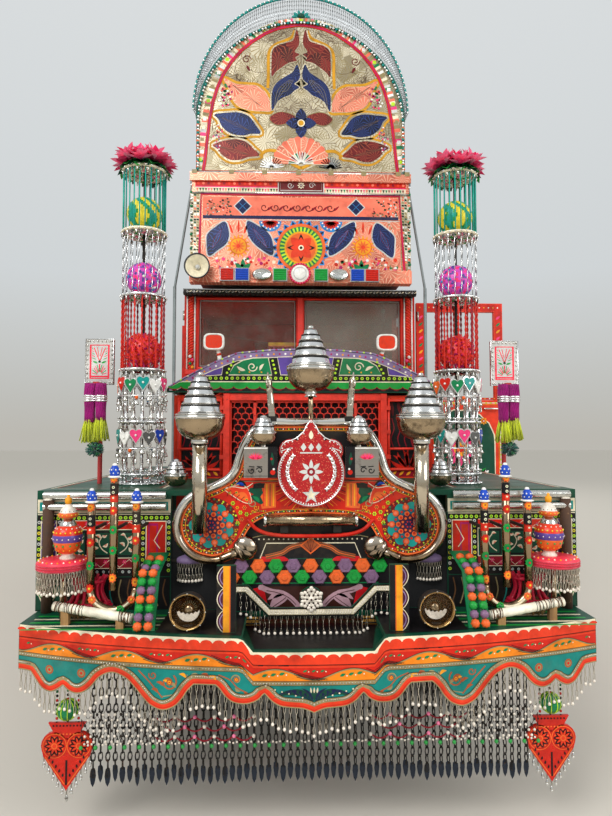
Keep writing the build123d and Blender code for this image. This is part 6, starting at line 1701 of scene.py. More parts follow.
for a in around(22):
    lamps.pair(block((-0.0012, 0.034, -0.0300), (0.0012, 0.058, -0.0285)), plastic("khaki", 0.2),
               LAMP @ moved(turn=a) @ moved((0, -0.004, -0.002), -0.42, "X"), smooth=False)
for a in around(8):
    lamps.pair(small, LINKS, LAMP @ moved((0.0735 * cos(a), 0.0735 * sin(a), 0.009)))
lamps.pair(block((0.492, -1.592, 0.880), (0.532, -1.556, 0.902)), IRON, smooth=False)
HOOD = (0.553, -1.255)
lamps.pair(lathe([(0.060, -0.012), (0.074, -0.006), (0.075, 0.008), (0.066, 0.018), (0.046, 0.028),
                  (0.020, 0.033), (0, 0.035)], 28), plastic("mauve", 0.4), moved((*HOOD, 1.101)))
lamps.pair(block((0.560, -1.298, 1.097), (0.641, -1.278, 1.112)), IRON, smooth=False)
for a in around(28):
    for side in (-1, 1):
        pendant(lamps, side * HOOD[0] + 0.068 * cos(a), HOOD[1] + 0.068 * sin(a), 1.096, 0.088)
lamps.done("chassis", "ornament_chrome", "headlamps")
lenses = Build("headlamp_lenses")
lenses.pair(lathe([(0.0655, 0.002), (0.04, 0.009), (0, 0.012), (0, 0.009), (0.04, 0.006), (0.0655, -0.001)],
                  32), pane("lamp_glass", "#6A5236", 0.0, 0.03), LAMP)
lenses.done("chassis", "window_glass")
backs = Build("shadow_boards")
backs.pair(block((0.398, -1.292, 0.862), (0.642, -1.286, 1.330)),
           worn("shadow_black", "#0E0E10", "#1E1A16", 0.8), smooth=False)
backs.done("chassis", "bumper_paint")

# Dome lamps: smoother bowls, stacked rings with grooves, and chrome posts
domes = Build("dome_lamp_set")
POST_Y, MIDDLE_Y = -1.424, -1.359
BOWL = [(0, 0), (0.032, 0.0005), (0.058, 0.008), (0.080, 0.022), (0.096, 0.042), (0.1045, 0.066),
        (0.1075, 0.092)]
RIM = [(0.1075, 0.092), (0.1105, 0.094), (0.1115, 0.100), (0.1105, 0.106), (0.104, 0.109)]
TIERS = ((0.104, 0.109, 0.091, 0.117), (0.089, 0.118, 0.084, 0.150), (0.075, 0.157, 0.069, 0.189),
         (0.060, 0.196, 0.055, 0.223), (0.047, 0.230, 0.042, 0.255), (0.033, 0.261, 0.028, 0.283))
CAP = [(0.028, 0.284), (0.017, 0.289), (0.013, 0.292), (0.0135, 0.297), (0.009, 0.302), (0, 0.303)]


def dome(place, both=False, small=False):
    """One tiered lamp. A small one has fewer rings."""
    # the bowl's brown tone is a painted reflection of the ground below it
    domes.add(lathe(BOWL, 36), BROWN_REFLECTING, place, True, both)
    domes.add(lathe(RIM, 36), BRIGHT, place, True, both)
    outline = []
    for foot, low, head, high in (TIERS[:4] if small else TIERS):
        outline += [(foot + 0.0025, low), (foot + 0.001, low + 0.003), (head + 0.001, high - 0.004),
                    (head - 0.0015, high - 0.001), (head - 0.005, high)]
    if small:
        outline += [(0.030, 0.228), (0.026, 0.240), (0.010, 0.246), (0, 0.248)]
    domes.add(lathe(outline, 36), SATIN, place, True, both)
    if not small:
        domes.add(lathe(CAP, 20), BRIGHT, place, True, both)
    for foot, low, head, high in (TIERS[:4] if small else TIERS)[:-1]:
        for reach, z, thick, mat in ((foot + 0.0035, low + 0.0035, 0.0036, BRIGHT),
                                     (head - 0.001, high + 0.0015, 0.0034, IRON)):
            domes.add(tube([(reach * cos(TAU * k / 36), reach * sin(TAU * k / 36), z) for k in range(36)],
                           thick, 6, True), mat, place, True, both)


dome(moved((0.493, POST_Y, 1.657)), True)
dome(moved((0, MIDDLE_Y, 1.880)))
for at in ((0.212, POST_Y, 1.634), (0.648, -1.150, 1.430)):
    dome(moved(at, scale=(0.54, 0.54, 0.54)), True, True)
domes.pair(tube([(0.493, POST_Y, 1.250), (0.493, POST_Y, 1.662)], 0.0335, 24), chrome(
    "post_chrome", "#C4B8A4", 0.05, 0.3, 0.25, "#5C4C38"))
domes.pair(lathe([(0.036, 0), (0.040, 0.004), (0.040, 0.020), (0.036, 0.024)], 24), BRIGHT,
           moved((0.493, POST_Y, 1.640)))
domes.pair(tube([(0.493, POST_Y, 1.285), (0.493, -1.361, 1.285)], 0.034, 20), BRIGHT)
# the middle post is tinted with a painted brown reflection of the ground
domes.add(tube([(0, MIDDLE_Y, 1.750), (0, MIDDLE_Y, 1.884)], 0.0115, 14), BROWN_REFLECTING)
domes.add(lathe([(0.030, -0.004), (0.022, 0.006), (0.030, 0.014), (0.016, 0.030)], 16), BRIGHT,
          moved((0, MIDDLE_Y, 1.858)))
domes.pair(block((0.160, -1.449, 1.495), (0.264, -1.360, 1.618)), SATIN, smooth=False)
domes.pair(tube([(0.212, POST_Y, 1.618), (0.212, POST_Y, 1.640)], 0.012, 10), BRIGHT)
# raised forearms on the bull tube: a square cuff, a round arm and a half-closed hand
HAND = moved((0.176, MIDDLE_Y, 1.757), along=(0.09, 0, 1))
MINARET = chrome("minaret_chrome", "#C9BFB0", 0.08, 0.3, 0.4, "#5C4E40")
cuff = lathe([(0.0205, -0.010), (0.0205, 0.030), (0.019, 0.032), (0.019, 0.060), (0.0205, 0.062),
              (0.0205, 0.066), (0.0165, 0.068)], 4)
domes.pair(cuff, MINARET, HAND @ moved(turn=pi / 4), smooth=False)
domes.pair(lathe([(0.0160, 0.064), (0.0155, 0.090), (0.0145, 0.122), (0.0165, 0.134)], 16), MINARET, HAND)
domes.pair(lathe([(0.0165, 0.132), (0.0195, 0.146), (0.0205, 0.162), (0.0175, 0.178), (0.010, 0.188),
                  (0, 0.190)], 14), MINARET, HAND @ moved(scale=(1, 0.75, 1)))
for x, length, lean in ((-0.012, 0.052, -0.10), (-0.004, 0.064, -0.03), (0.005, 0.060, 0.04),
                        (0.013, 0.046, 0.12)):
    foot = HAND @ Vector((x, -0.004, 0.150))
    tip = HAND @ Vector((x * 0.8 + lean * 0.05, -0.002, 0.148 + length))
    domes.pair(tube([foot, foot.lerp(tip, 0.5), tip], [0.0062, 0.0064, 0.003], 8), MINARET)
thumb = [HAND @ Vector(q)
         for q in ((-0.014, -0.006, 0.140), (-0.026, -0.010, 0.158), (-0.022, -0.010, 0.176))]
domes.pair(tube(thumb, [0.0065, 0.006, 0.0035], 8), MINARET)
domes.pair(block((0.155, -1.378, 1.741), (0.197, -1.340, 1.765)), IRON, smooth=False)
domes.done("chassis", "ornament_chrome", "dome_lamps")


# Crown: drawn in sheet units, 515 at the middle, falling from the top
def crown(u, v):
    return ((u - 515) * 0.00205, 5.219 - 0.002127 * v + 4.6e-8 * v * v)


def drawn(points):
    return [crown(u, v) for u, v in points]


def grown(outline, by):
    """An outline moved outwards by a distance."""
    points = [Vector(p).to_2d() for p in outline]
    count = len(points)
    area = sum(points[i - 1].x * p.y - p.x * points[i - 1].y for i, p in enumerate(points))
    sign = -1 if area > 0 else 1
    made = []
    for i, p in enumerate(points):
        along = points[(i + 1) % count] - points[i - 1]
        along = along.normalized() if along.length > 1e-9 else Vector((1, 0))
        made.append(tuple(p + Vector((-along.y, along.x)) * by * sign))
    return made


def fan(sheet, centre, reach, first, last, count, colour, layer=2, width=0.0035, keep=None,
        inner=0.12, both=None):
    """Fine lines spreading from a centre. A line stops where it leaves the ground it is kept on."""
    for i in range(count):
        a = first + (last - first) * i / max(1, count - 1)
        foot = polar(centre, reach * inner, a)
        end = reach
        while keep and end > reach * 0.3 and not keep(centre[0] + end * cos(a), centre[1] + end * sin(a)):
            end -= reach * 0.08
        if keep and not keep(*foot):
            continue
        sheet.line([foot, polar(centre, end, a)], width, colour, layer, both=both)


LINE_TAN, LINE_DARK = paint("khaki", 0.3), worn("foil_line_dark", "#5C4630", "#8A7448", 0.4, 0.2, 60.0, 0.6)
RING = [(133, 690), (140, 640), (148, 560), (157, 480), (170, 410), (186, 355), (208, 303), (240, 252),
        (280, 205), (325, 168), (375, 136), (425, 115), (470, 105), (515, 101)]
inner_ring = [crown(u + 8, v + (4 if u > 200 else 0)) for u, v in RING]


def inside_arch(x, z):
    x = -abs(x)
    if z < 3.80 or z > 4.99:
        return False
    for (x0, z0), (x1, z1) in zip(inner_ring, inner_ring[1:]):
        if z0 <= z <= z1:
            return x > x0 + (x1 - x0) * (z - z0) / (z1 - z0)
    return x > -0.02


ARCH = 0.590
arch = Paint("crown_arch_mosaic", front(ARCH - 0.0002))
arch.poly(inner_ring + [(-x, z) for x, z in reversed(inner_ring[:-1])], SILVER, 1)
FANS = [(-0.64, 3.83), (-0.38, 3.82), (-0.12, 3.81), (-0.70, 4.06), (-0.66, 4.34), (-0.50, 4.56),
        (-0.34, 4.74), (-0.14, 4.92), (-0.62, 4.18), (-0.45, 4.22), (-0.24, 4.18), (-0.10, 4.32), (0.0, 4.46),
        (0.0, 4.62), (-0.12, 4.06), (-0.52, 4.45), (-0.42, 4.62), (-0.24, 4.86), (-0.30, 4.62), (-0.53, 3.93),
        (-0.24, 3.90), (-0.57, 4.70), (-0.36, 4.50), (-0.20, 4.45)]
for i, (x, z) in enumerate(FANS):
    turn = rng.uniform(0, TAU)
    reach = 0.105 + 0.035 * rng.random()
    fan(arch, (x, z), reach, turn, turn + TAU * 0.62, 15, LINE_DARK if i % 2 else LINE_TAN, 2, 0.0034,
        inside_arch, both=True)
    arch.line([polar((x, z), reach, turn + TAU * 0.62 * t / 14)
               for t in range(15) if inside_arch(x + reach * cos(turn + TAU * 0.62 * t / 14),
                                                 z + reach * sin(turn + TAU * 0.62 * t / 14))]
              or [(x, z), (x, z + 0.001)], 0.003, LINE_DARK, 2, both=True)


def petal_set(outline, colour, edge, gap=0.012, width=0.016, layer=4):
    """A foil leaf on both sides, with a pale gap and a coloured line round it."""
    shape = [tuple(p) for p in curve(drawn(outline), 4, True)]
    arch.poly(grown(shape, gap + width), edge, layer, True)
    arch.poly(grown(shape, gap), SILVER, layer + 1, True)
    arch.poly(shape, colour, layer + 2, True)
    foot, tip = Vector(shape[0]), Vector(shape[len(shape) // 2])
    for k in (-1, 0, 1):
        arch.line([foot.lerp(tip, 0.16), foot.lerp(tip, 0.5) + Vector((0.0, 0.014 * k)),
                   foot.lerp(tip, 0.84)], 0.0022, LINE_DARK, layer + 3, both=True)


EDGE = paint("ochre", 0.4)
petal_set([(212, 318), (258, 338), (305, 342), (345, 346), (380, 378), (398, 438), (362, 442), (318, 440),
           (272, 426), (247, 398), (232, 355)], SALMON, EDGE, 0.004, 0.022)
petal_set([(176, 459), (225, 452), (272, 450), (312, 466), (338, 500), (356, 531), (318, 534), (288, 541),
           (240, 534), (206, 508), (192, 480)], NAVY, EDGE, 0.014, 0.018)
petal_set([(170, 580), (215, 562), (262, 556), (300, 566), (330, 594), (354, 619), (310, 626), (275, 638),
           (238, 638), (206, 618), (188, 596)], MAROON, EDGE, 0.014, 0.018)
frame_line = [(384, 352), (386, 290), (386, 225), (396, 195), (420, 176), (452, 163), (478, 148), (490, 122)]
arch.line(curve(drawn(frame_line), 5), 0.024, EDGE, 7, both=True)
arch.line(curve(drawn([(354, 622), (372, 604), (396, 598), (432, 606), (456, 632), (482, 652), (515, 668)]),
                5), 0.026, EDGE, 7, both=True)
top_leaf = [(399, 305), (398, 250), (401, 205), (420, 184), (455, 172), (484, 160), (497, 118), (507, 150),
            (506, 180), (490, 206), (509, 216), (492, 230), (498, 242), (468, 250), (440, 268), (415, 288)]
low_leaf = [(401, 440), (400, 372), (418, 332), (452, 306), (482, 286), (499, 256), (511, 292), (506, 318),
            (488, 334), (508, 346), (490, 360), (470, 378), (446, 388), (422, 406)]
for outline, tone in ((top_leaf, MAROON), (low_leaf, NAVY)):
    shape = [tuple(p) for p in curve(drawn(outline), 4, True)]
    arch.poly(grown(shape, 0.010), SILVER, 8, True)
    arch.poly(shape, tone, 9, True)
for k in range(4):
    arch.line(curve(drawn([(410 + 12 * k, 296 - 14 * k), (424 + 13 * k, 230), (468 + 6 * k, 190)]), 5),
              0.0022, LINE_DARK, 10, both=True)
    arch.line(curve(drawn([(410 + 10 * k, 430 - 22 * k), (424 + 12 * k, 360), (470 + 5 * k, 318)]), 5),
              0.0022, LINE_TAN, 10, both=True)
red_leaf = [tuple(p) for p in curve(drawn([(390, 472), (418, 449), (452, 446), (492, 462), (476, 480),
                                           (448, 495), (415, 497)]), 4, True)]
arch.poly(red_leaf, MAROON, 9, True)
arch.line(red_leaf, 0.005, LINE_TAN, 10, True, True)
heart = crown(515, 489)
for k in range(4):
    a = pi / 2 * k
    tip = polar(heart, 0.124, a)
    arch.poly(leaf(heart, tip, 0.088), NAVY, 11)
arch.poly(ring(heart, 0.030, 18), paint("cream"), 12)
arch.poly(ring(heart, 0.022, 18), EDGE, 13)
# half rosette below the flower
c = crown(515, 652)
for k in range(12):
    a0, a1 = pi * k / 12, pi * (k + 1) / 12
    wedge = [(c[0] + r * cos(a), c[1] + 0.98 * r * sin(a)) for r,
             a in ((0.10, a0), (0.225, a0), (0.236, (a0 + a1) / 2), (0.225, a1), (0.10, a1))]
    arch.poly(wedge, SALMON if k % 2 else paint("salmon"), 9)
    arch.line([wedge[0], wedge[1]], 0.004, "cream", 10)
    wedge = [(c[0] + r * cos(a), c[1] + 0.98 * r * sin(a)) for r, a in ((0.02, a0), (0.10, a0), (0.10, a1))]
    arch.poly(wedge, paint(("cream", "wine", "salmon", "leaf")[k % 4]), 9)
fan(arch, c, 0.105, 0.1, pi - 0.1, 14, "white", 11, 0.006)
for u in (400, 631):
    fan(arch, crown(u, 668), 0.095, 0.15, pi - 0.15, 13, TINSEL, 9, 0.008, both=(u == 400))
for k in range(46):
    a, r = rng.uniform(0, TAU), rng.uniform(0.01, 0.10)
    x, z = crown(205 + (k % 3) * 6, 378)
    x, z = x + r * 0.8 * cos(a), z + r * 1.25 * sin(a)
    if inside_arch(x - 0.02, z):
        arch.poly(ring((x, z), 0.010, 6), ("pink", "magenta", "white", "salmon", "leaf")[k % 5], 8, True)
for k in range(26):
    a, r = rng.uniform(0, TAU), rng.uniform(0.01, 0.08)
    x, z = crown(190, 545)
    x, z = x + r * 0.5 * cos(a), z + r * 1.5 * sin(a)
    if inside_arch(x - 0.02, z):
        arch.poly(ring((x, z), 0.008, 5), ("pink", "white", "salmon", "mauve")[k % 4], 8, True)
# small bare scrolls high on both sides
for hand in (1, -1):
    at = crown(515 - hand * 215, 240)
    arch.line(curl(at, 0.036, 1.4, 0.0, hand), 0.006, "maroon", 8)
    arch.poly(leaf((at[0], at[1] - 0.05), (at[0] + hand * 0.03, at[1] - 0.10), 0.02), "maroon", 8)
# red ring, tile border and beaded edge
ring_line = drawn(RING) + [(-x, z) for x, z in reversed(drawn(RING)[:-1])]
arch.line(ring_line, 0.026, "red", 10)
arch.line(ring_line, 0.008, "magenta", 11)
low_row = [crown(128 + 7.74 * k, 684) for k in range(101)]
arch.line([low_row[0], low_row[-1]], 0.016, "red", 11)
dense = curve(ring_line, 6)
outer = []
for i, p in enumerate(dense):
    along = (dense[min(i + 1, len(dense) - 1)] - dense[max(i - 1, 0)]).normalized()
    outer.append((p, Vector((-along.y, along.x))))
tones = ("salmon", "cream", "khaki", "pink", "silver", "leaf", "cream", "salmon", "white", "khaki")
for i in range(len(outer) - 1):
    (p, n), (q, m) = outer[i], outer[i + 1]
    n, m = (n if n.dot(p - Vector((0, 4.1))) > 0 else -n), (m if m.dot(q - Vector((0, 4.1))) > 0 else -m)
    near, far = 0.015, 0.062
    arch.poly([tuple(p + n * near), tuple(q + m * near), tuple(q + m * far), tuple(p + n * far)],
              SILVER if i % 3 == 0 else paint(tones[i % 10], 0.34), 2)
    if i % 6 == 0:
        arch.poly(ring(p + n * 0.040, 0.020, 4, start=0.8), paint(("white", "lime", "khaki")[i // 6 % 3]), 3)
arch.done("chassis", "crown_paint")

beads = Build("crown_edge_beads")
half, low, top = 0.835, 4.210, 5.030
arc_radius = (half * half + (top - low) ** 2) / (2 * (top - low))
arc_z = top - arc_radius
spread = atan2(low - arc_z, half)
rim_path = [(half, 3.79), (half, 3.9), (half, 4.05), (half, 4.16)]
rim_path += [(arc_radius * cos(spread + (pi - 2 * spread) * k / 48),
              arc_z + arc_radius * sin(spread + (pi - 2 * spread) * k / 48)) for k in range(49)]
rim_path += [(-x, z) for x, z in reversed(rim_path[:4])]
beads.add(tube([(x * 0.992, ARCH - 0.006, z - 0.004) for x, z in rim_path], 0.010, 8), plastic("forest"))
walk = [Vector(p) for p in rim_path]
spots = []
for a, b in zip(walk, walk[1:]):
    pieces_here = max(1, int((b - a).length / 0.022))
    spots += [a.lerp(b, k / pieces_here) for k in range(pieces_here)]
bead_big = ball(0.0105, 5, 8)
for i, p in enumerate(spots):
    beads.add(bead_big, TINSEL if i % 3 else plastic("teal"), moved((p.x * 0.985, ARCH - 0.016, p.y - 0.012)))
beads.done("chassis", "crown_paint")

# Lace: hoop rails, close spokes and a tinsel chain between them
lace = Build("crown_lace_wires")
WIRE = chrome("lace_wire", "#C9CED0", 0.2, 0.42, 0.2, "#5E6A70")
outer_path = []
for k in range(73):
    a = pi * k / 72
    outer_path.append((0.868 * cos(a), 4.30 + 0.955 * sin(a)))
inner_path = []
for k in range(73):
    a = pi * k / 72
    inner_path.append((0.842 * cos(a), 4.23 + 0.805 * sin(a)))
for path, thick in ((outer_path, 0.010), (inner_path, 0.007)):
    lace.add(tube([(x, 0.610, z) for x, z in path], thick, 8), plastic("teal"), None)
dense_out = curve(outer_path, 4)
dense_in = curve(inner_path, 4)
rung = len(dense_out)
for i in range(0, rung, 2):
    p, q = dense_in[i], dense_out[i]
    if (q - p).length < 0.03:
        continue
    lace.add(tube([(p.x, 0.604, p.y), (q.x, 0.604, q.y)], 0.0024, 4), WIRE)
for share in (0.2, 0.36, 0.52, 0.68, 0.84):
    path = [(p.lerp(q, share)) for p, q in zip(dense_in, dense_out) if (q - p).length > 0.05]
    for i in range(0, len(path) - 2, 2):
        p, q = path[i], path[i + 1]
        lace.add(LINK, WIRE, moved((p.x, 0.604, p.y), 0, "Z", 1.1, along=(q.x - p.x, 0.2, q.y - p.y)))
for i in range(0, rung, 4):
    q = dense_out[i]
    lace.add(bead, TINSEL, moved((q.x, 0.598, q.y), scale=1.3))
lace.add(ball(0.030, 6, 10, 0.8), plastic("forest"), moved((0, 0.600, 5.085)))
for k in range(6):
    a = pi * k / 5
    lace.add(leaflet, plastic("teal"),
             moved((0.05 * cos(a), 0.600, 5.085 + 0.03 * sin(a)), scale=2.0, along=(cos(a), 0, sin(a))))
lace.done("chassis", "ornament_chrome", "crown_lace")

# Lower crown panel
LOWER = 0.580
lower = Paint("crown_lower_mosaic", front(LOWER - 0.0002))


def box(u0, u1, v0, v1):
    return drawn([(u0, v0), (u1, v0), (u1, v1), (u0, v1)])


lower.poly(box(104, 926, 700, 770), "cream", 1)
for k in range(74):
    u = 108 + 11.0 * k
    lower.poly(drawn([(u, 715), (u + 9, 715), (u + 4.5, 703)]),
               ("wine", "leaf", "salmon", "forest", "white")[k % 5], 2)
    lower.poly(drawn([(u, 752), (u + 9, 752), (u + 4.5, 765)]),
               ("salmon", "black", "leaf", "wine", "pink")[k % 5], 2)
lower.poly(box(104, 926, 718, 748), "pink", 2)
lower.poly(box(104, 926, 722, 744), "red", 3)
for k in range(41):
    lower.poly(ring(crown(116 + 20 * k, 733), 0.012, 6, start=0.5), ("scarlet", "salmon", "wine")[k % 3], 4)
lower.poly(box(424, 606, 708, 768), "silver", 5)
lower.poly(box(428, 602, 712, 764), "maroon", 6)
lower.line(box(434, 596, 718, 758), 0.005, "silver", 7, True)
flower(lower, crown(515, 738), 0.030, ("cream", "maroon", "silver"), 7, 8)
for hand in (1, -1):
    lower.line(curl(crown(515 + hand * 42, 738), 0.026, 1.3, 0, hand), 0.005, "silver", 7)
lower.poly(box(86, 124, 772, 1118), SILVER, 1)
lower.poly(box(906, 944, 772, 1118), SILVER, 1)
for k in range(32):
    v = 776 + 10.8 * k
    for u in (92, 104, 115, 914, 925, 937):
        lower.poly(drawn([(u - 5, v), (u + 4, v + 1), (u + 5, v + 8), (u - 4, v + 7)]),
                   ("khaki", "forest", "white", "silver", "black", "salmon")[rng.randrange(6)], 2)
lower.poly(box(126, 904, 770, 1102), SALMON, 1)
for width, tone, layer in ((0.024, "red", 9), (0.008, "magenta", 10)):
    lower.line(drawn([(120, 1106), (127, 775), (900, 775), (920, 1106)]), width, tone, layer)
lower.poly(box(134, 895, 786, 858), paint("salmon", 0.34), 2)
for hand in (1, -1):
    for k in range(60):
        u = 515 + hand * (375 - rng.uniform(0, 100))
        v = rng.uniform(790, 855)
        w = rng.uniform(4, 9)
        lower.poly(drawn([(u, v), (u + w, v + 2), (u + w - 2, v + w), (u - 1, v + w - 2)]),
                   ("black", "silver", "forest", "khaki", "wine")[k % 5], 3)
for u in (288, 730):
    for rim, tone in ((36, "silver"), (31, "navy")):
        lower.poly(drawn([(u - rim, 822), (u, 822 - rim), (u + rim, 822), (u, 822 + rim)]), tone,
                   4 + (tone == "navy"))
    for k in (-1, 1):
        lower.line(drawn([(u - 15, 822 + 15 * k), (u + 15, 822 - 15 * k)]), 0.003, "sky", 6)
# bare scroll work along the strip
for k in range(7):
    u = 372 + 43 * k
    lower.line(curl(crown(u, 826), 0.034, 1.1, pi * (k % 2), 1 if k % 2 else -1), 0.008, "maroon", 4)
    lower.poly(leaf(crown(u + 12, 838), crown(u + 34, 818), 0.016), "wine", 4)
lower.poly(box(134, 896, 859, 872), "navy", 4)
lower.line(drawn([(134, 876), (898, 876)]), 0.006, "silver", 4)


def foil_leaf(outline):
    """A pointed leaf of navy foil with a silver rim and five veins."""
    shape = [tuple(p) for p in curve(drawn(outline), 4, True)]
    lower.poly(grown(shape, 0.010), "silver", 4)
    lower.poly(shape, NAVY, 5)
    foot, tip = Vector(shape[0]), Vector(shape[len(shape) // 2])
    for k in (-2, -1, 0, 1, 2):
        lower.line([foot.lerp(tip, 0.2), foot.lerp(tip, 0.5) + Vector((0.012 * k, 0.0)), foot.lerp(tip, 0.8)],
                   0.0022, "sky" if k % 2 else "wine", 6)


first_leaf = [(220, 884), (236, 930), (226, 970), (196, 995), (158, 1020), (150, 970), (152, 935), (180, 908)]
second_leaf = [(308, 880), (350, 900), (386, 925), (404, 960), (404, 1015), (350, 985),
               (318, 950), (306, 915)]
for outline in (first_leaf, second_leaf):
    foil_leaf(outline)
for outline in (first_leaf, second_leaf):
    foil_leaf([(1030 - u, v) for u, v in outline])
for u in (272, 757):
    at = crown(u, 980)
    petals(lower, at, 0.098, 16, "amber", 4, 0.22)
    lower.poly(ring(at, 0.070, 26), "orange", 5)
    lower.poly(ring(at, 0.062, 26), "amber", 6)
    petals(lower, at, 0.055, 10, "orange", 7, 0.26)
    lower.dots([at], 0.016, "scarlet", 8, 14)
    for k in range(5):
        a = pi * (0.1 + 0.2 * k)
        lower.poly(leaf((at[0] + 0.075 * cos(a), at[1] + 0.06 + 0.05 * sin(a)),
                        polar((at[0], at[1] + 0.08), 0.13, a), 0.018), "scarlet", 4)
centre = crown(515, 985)
petals(lower, centre, 0.232, 20, "sky", 4, 0.26, inner=0.6)
petals(lower, centre, 0.222, 20, "navy", 5, 0.12, inner=0.7)
lower.poly(ring(centre, 0.196, 40), "orange", 6)
lower.poly(ring(centre, 0.172, 40), "leaf", 7)
for a in around(32):
    lower.poly([polar(centre, r, t) for r, t in ((0.132, a - 0.05), (0.168, a - 0.045), (0.168, a + 0.045),
                                                 (0.132, a + 0.05))], "lime", 8)
lower.poly(ring(centre, 0.132, 36), "amber", 8)
lower.poly(ring(centre, 0.118, 36), "orange", 9)
petals(lower, centre, 0.112, 4, "scarlet", 10, 0.62, pi / 4)
petals(lower, centre, 0.112, 4, "black", 10, 0.34)
petals(lower, centre, 0.085, 4, "scarlet", 11, 0.50)
lower.poly(ring(centre, 0.022, 16), "cream", 12)
lower.dots([centre], 0.012, "black", 13)
for u in (395, 632):
    at = crown(u, 880)
    lower.poly([(at[0] + 0.090 * cos(pi + pi * k / 14), at[1] + 0.085 * sin(pi + pi * k / 14))
                for k in range(15)], "sky", 4)
    for k in range(7):
        a = pi + pi * (k + 0.5) / 7
        lower.poly(leaf(at, (at[0] + 0.082 * cos(a), at[1] + 0.076 * sin(a)), 0.026), "red", 5)
        lower.dots([(at[0] + 0.070 * cos(a), at[1] + 0.064 * sin(a))], 0.007, "white", 6)
for u in (290, 750):
    for k, lean in enumerate((-1, 0, 1)):
        lower.poly(leaf(crown(u + 6 * lean, 1070), crown(u + 30 * lean, 1030 + 18 * abs(lean)), 0.036),
                   "leaf", 7)
for k in range(240):
    u, v = 140 + 750 * rng.random(), 1024 + 76 * rng.random()
    if abs(u - 515) < 100:
        continue
    lower.poly(ring(crown(u, v), 0.008 + 0.008 * rng.random(), 6),
               ("pink", "white", "scarlet", "salmon", "magenta", "cream", "leaf", "red")[k % 8], 5 + (k % 3))
for k in range(90):
    u, v = (150 + 50 * rng.random(), 780 + 320 * rng.random())
    side = 1 if k % 2 else -1
    lower.poly(ring(crown(515 + side * (515 - u), v), 0.006, 5),
               ("cream", "silver", "khaki", "leaf")[k % 4], 3)
lower.done("chassis", "crown_paint")

rails = Build("crown_rails")
for v, thick in ((692, 0.013), (771, 0.006), (1112, 0.008)):
    (x0, z0), (x1, z1) = crown(98 if v < 700 else 92, v), crown(934 if v < 700 else 938, v)
    rails.add(tube([(x0, LOWER - 0.010, z0), (x1, LOWER - 0.010, z0)], thick, 10), BRIGHT)
for u in (102, 245, 373, 505, 632, 760, 895, 930):
    x, z = crown(u, 692)
    rails.add(block((x - 0.020, LOWER - 0.024, z - 0.017), (x + 0.020, LOWER, z + 0.017)),
              plastic("khaki"), None, False)
for hand in (-1, 1):
    for k in range(13):
        z = 3.04 + 0.057 * k
        rails.add(bead_big, TINSEL if k % 2 else plastic("leaf"), moved((hand * 0.872, LOWER - 0.006, z)))
    for k in range(9):
        rails.add(bead_big, plastic("orange"),
                  moved((hand * 0.826, ARCH - 0.010, 3.82 + 0.042 * k), scale=1.3))
rails.done("chassis", "crown_paint")

# Marker lamps on their plates, and the horn
markers = Build("marker_lamps")
MARKS = ((-0.580, "red", 0), (-0.463, "blue", 0), (-0.307, "white", 1), (-0.166, "green", 0),
         (-0.010, "white", 2), (0.156, "green", 0), (0.297, "white", 1), (0.443, "blue", 0),
         (0.558, "red", 0))
for x, tone, kind in MARKS:
    face = 0.519
    if kind == 0:
        markers.add(block((x - 0.057, face - 0.004, 2.883), (x + 0.057, 0.552, 2.986)), BRIGHT, None, False)
        markers.add(block((x - 0.050, face - 0.014, 2.890), (x + 0.050, face - 0.004, 2.979)),
                    plastic(tone, 0.14), None, False)
        for k in range(5):
            markers.add(tube([(x - 0.046, face - 0.015, 2.900 + 0.017 * k),
                              (x + 0.046, face - 0.015, 2.900 + 0.017 * k)], 0.003, 5), plastic(tone, 0.14))
    elif kind == 1:
        place = facing((x, face, 2.938), scale=(1.32, 0.84, 1))
        markers.add(lathe([(0.056, -0.028), (0.058, 0), (0.052, 0.010), (0.046, 0.012)], 28), BRIGHT, place)
        markers.add(lathe([(0.050, 0.008), (0.036, 0.020), (0.018, 0.026), (0, 0.028)], 28),
                    clear("marker_glass", "#F4F6F2", 0.05), place)
        markers.add(lathe([(0.050, 0.004), (0, 0.004)], 28), SATIN, place)
    else:
        place = facing((x, face, 2.944))
        markers.add(lathe([(0.070, -0.028), (0.086, -0.004), (0.086, 0.006), (0.070, 0.010)], 32),
                    plastic("red", 0.2), place)
        for a in around(24):
            markers.add(bead, plastic("pink"),
                        moved((x + 0.078 * cos(a), face - 0.008, 2.944 + 0.078 * sin(a)), scale=1.2))
        markers.add(lathe([(0.070, 0.006), (0.050, 0.016), (0.020, 0.022), (0, 0.023)], 32),
                    plastic("white", 0.14), place)
        markers.add(lathe([(0.052, 0.0175), (0.050, 0.021), (0.046, 0.0205)], 32),
                    plastic("silver", 0.2), place)
HORN = facing((-0.805, 0.462, 2.982))
markers.add(lathe([(0.018, -0.10), (0.020, -0.07), (0.030, -0.05), (0.052, -0.026), (0.082, -0.008),
                   (0.0965, 0.0), (0.0985, 0.006), (0.0965, 0.010), (0.088, 0.006)], 36),
            plastic("grey", 0.3), HORN)
markers.add(lathe([(0.088, 0.006), (0.070, -0.006), (0.045, -0.024), (0.024, -0.042), (0.020, -0.045)], 36),
            plastic("cream", 0.3), HORN)
markers.add(lathe([(0.0, -0.014), (0.016, -0.016), (0.020, -0.030), (0.020, -0.045), (0.0, -0.045)], 20),
            plastic("silver", 0.2), HORN)
markers.add(lathe([(0.094, 0.004), (0.100, 0.006), (0.100, 0.012), (0.094, 0.012)], 36),
            plastic("black"), HORN)
markers.done("chassis", "lamp_plastic", "roof_lamps")

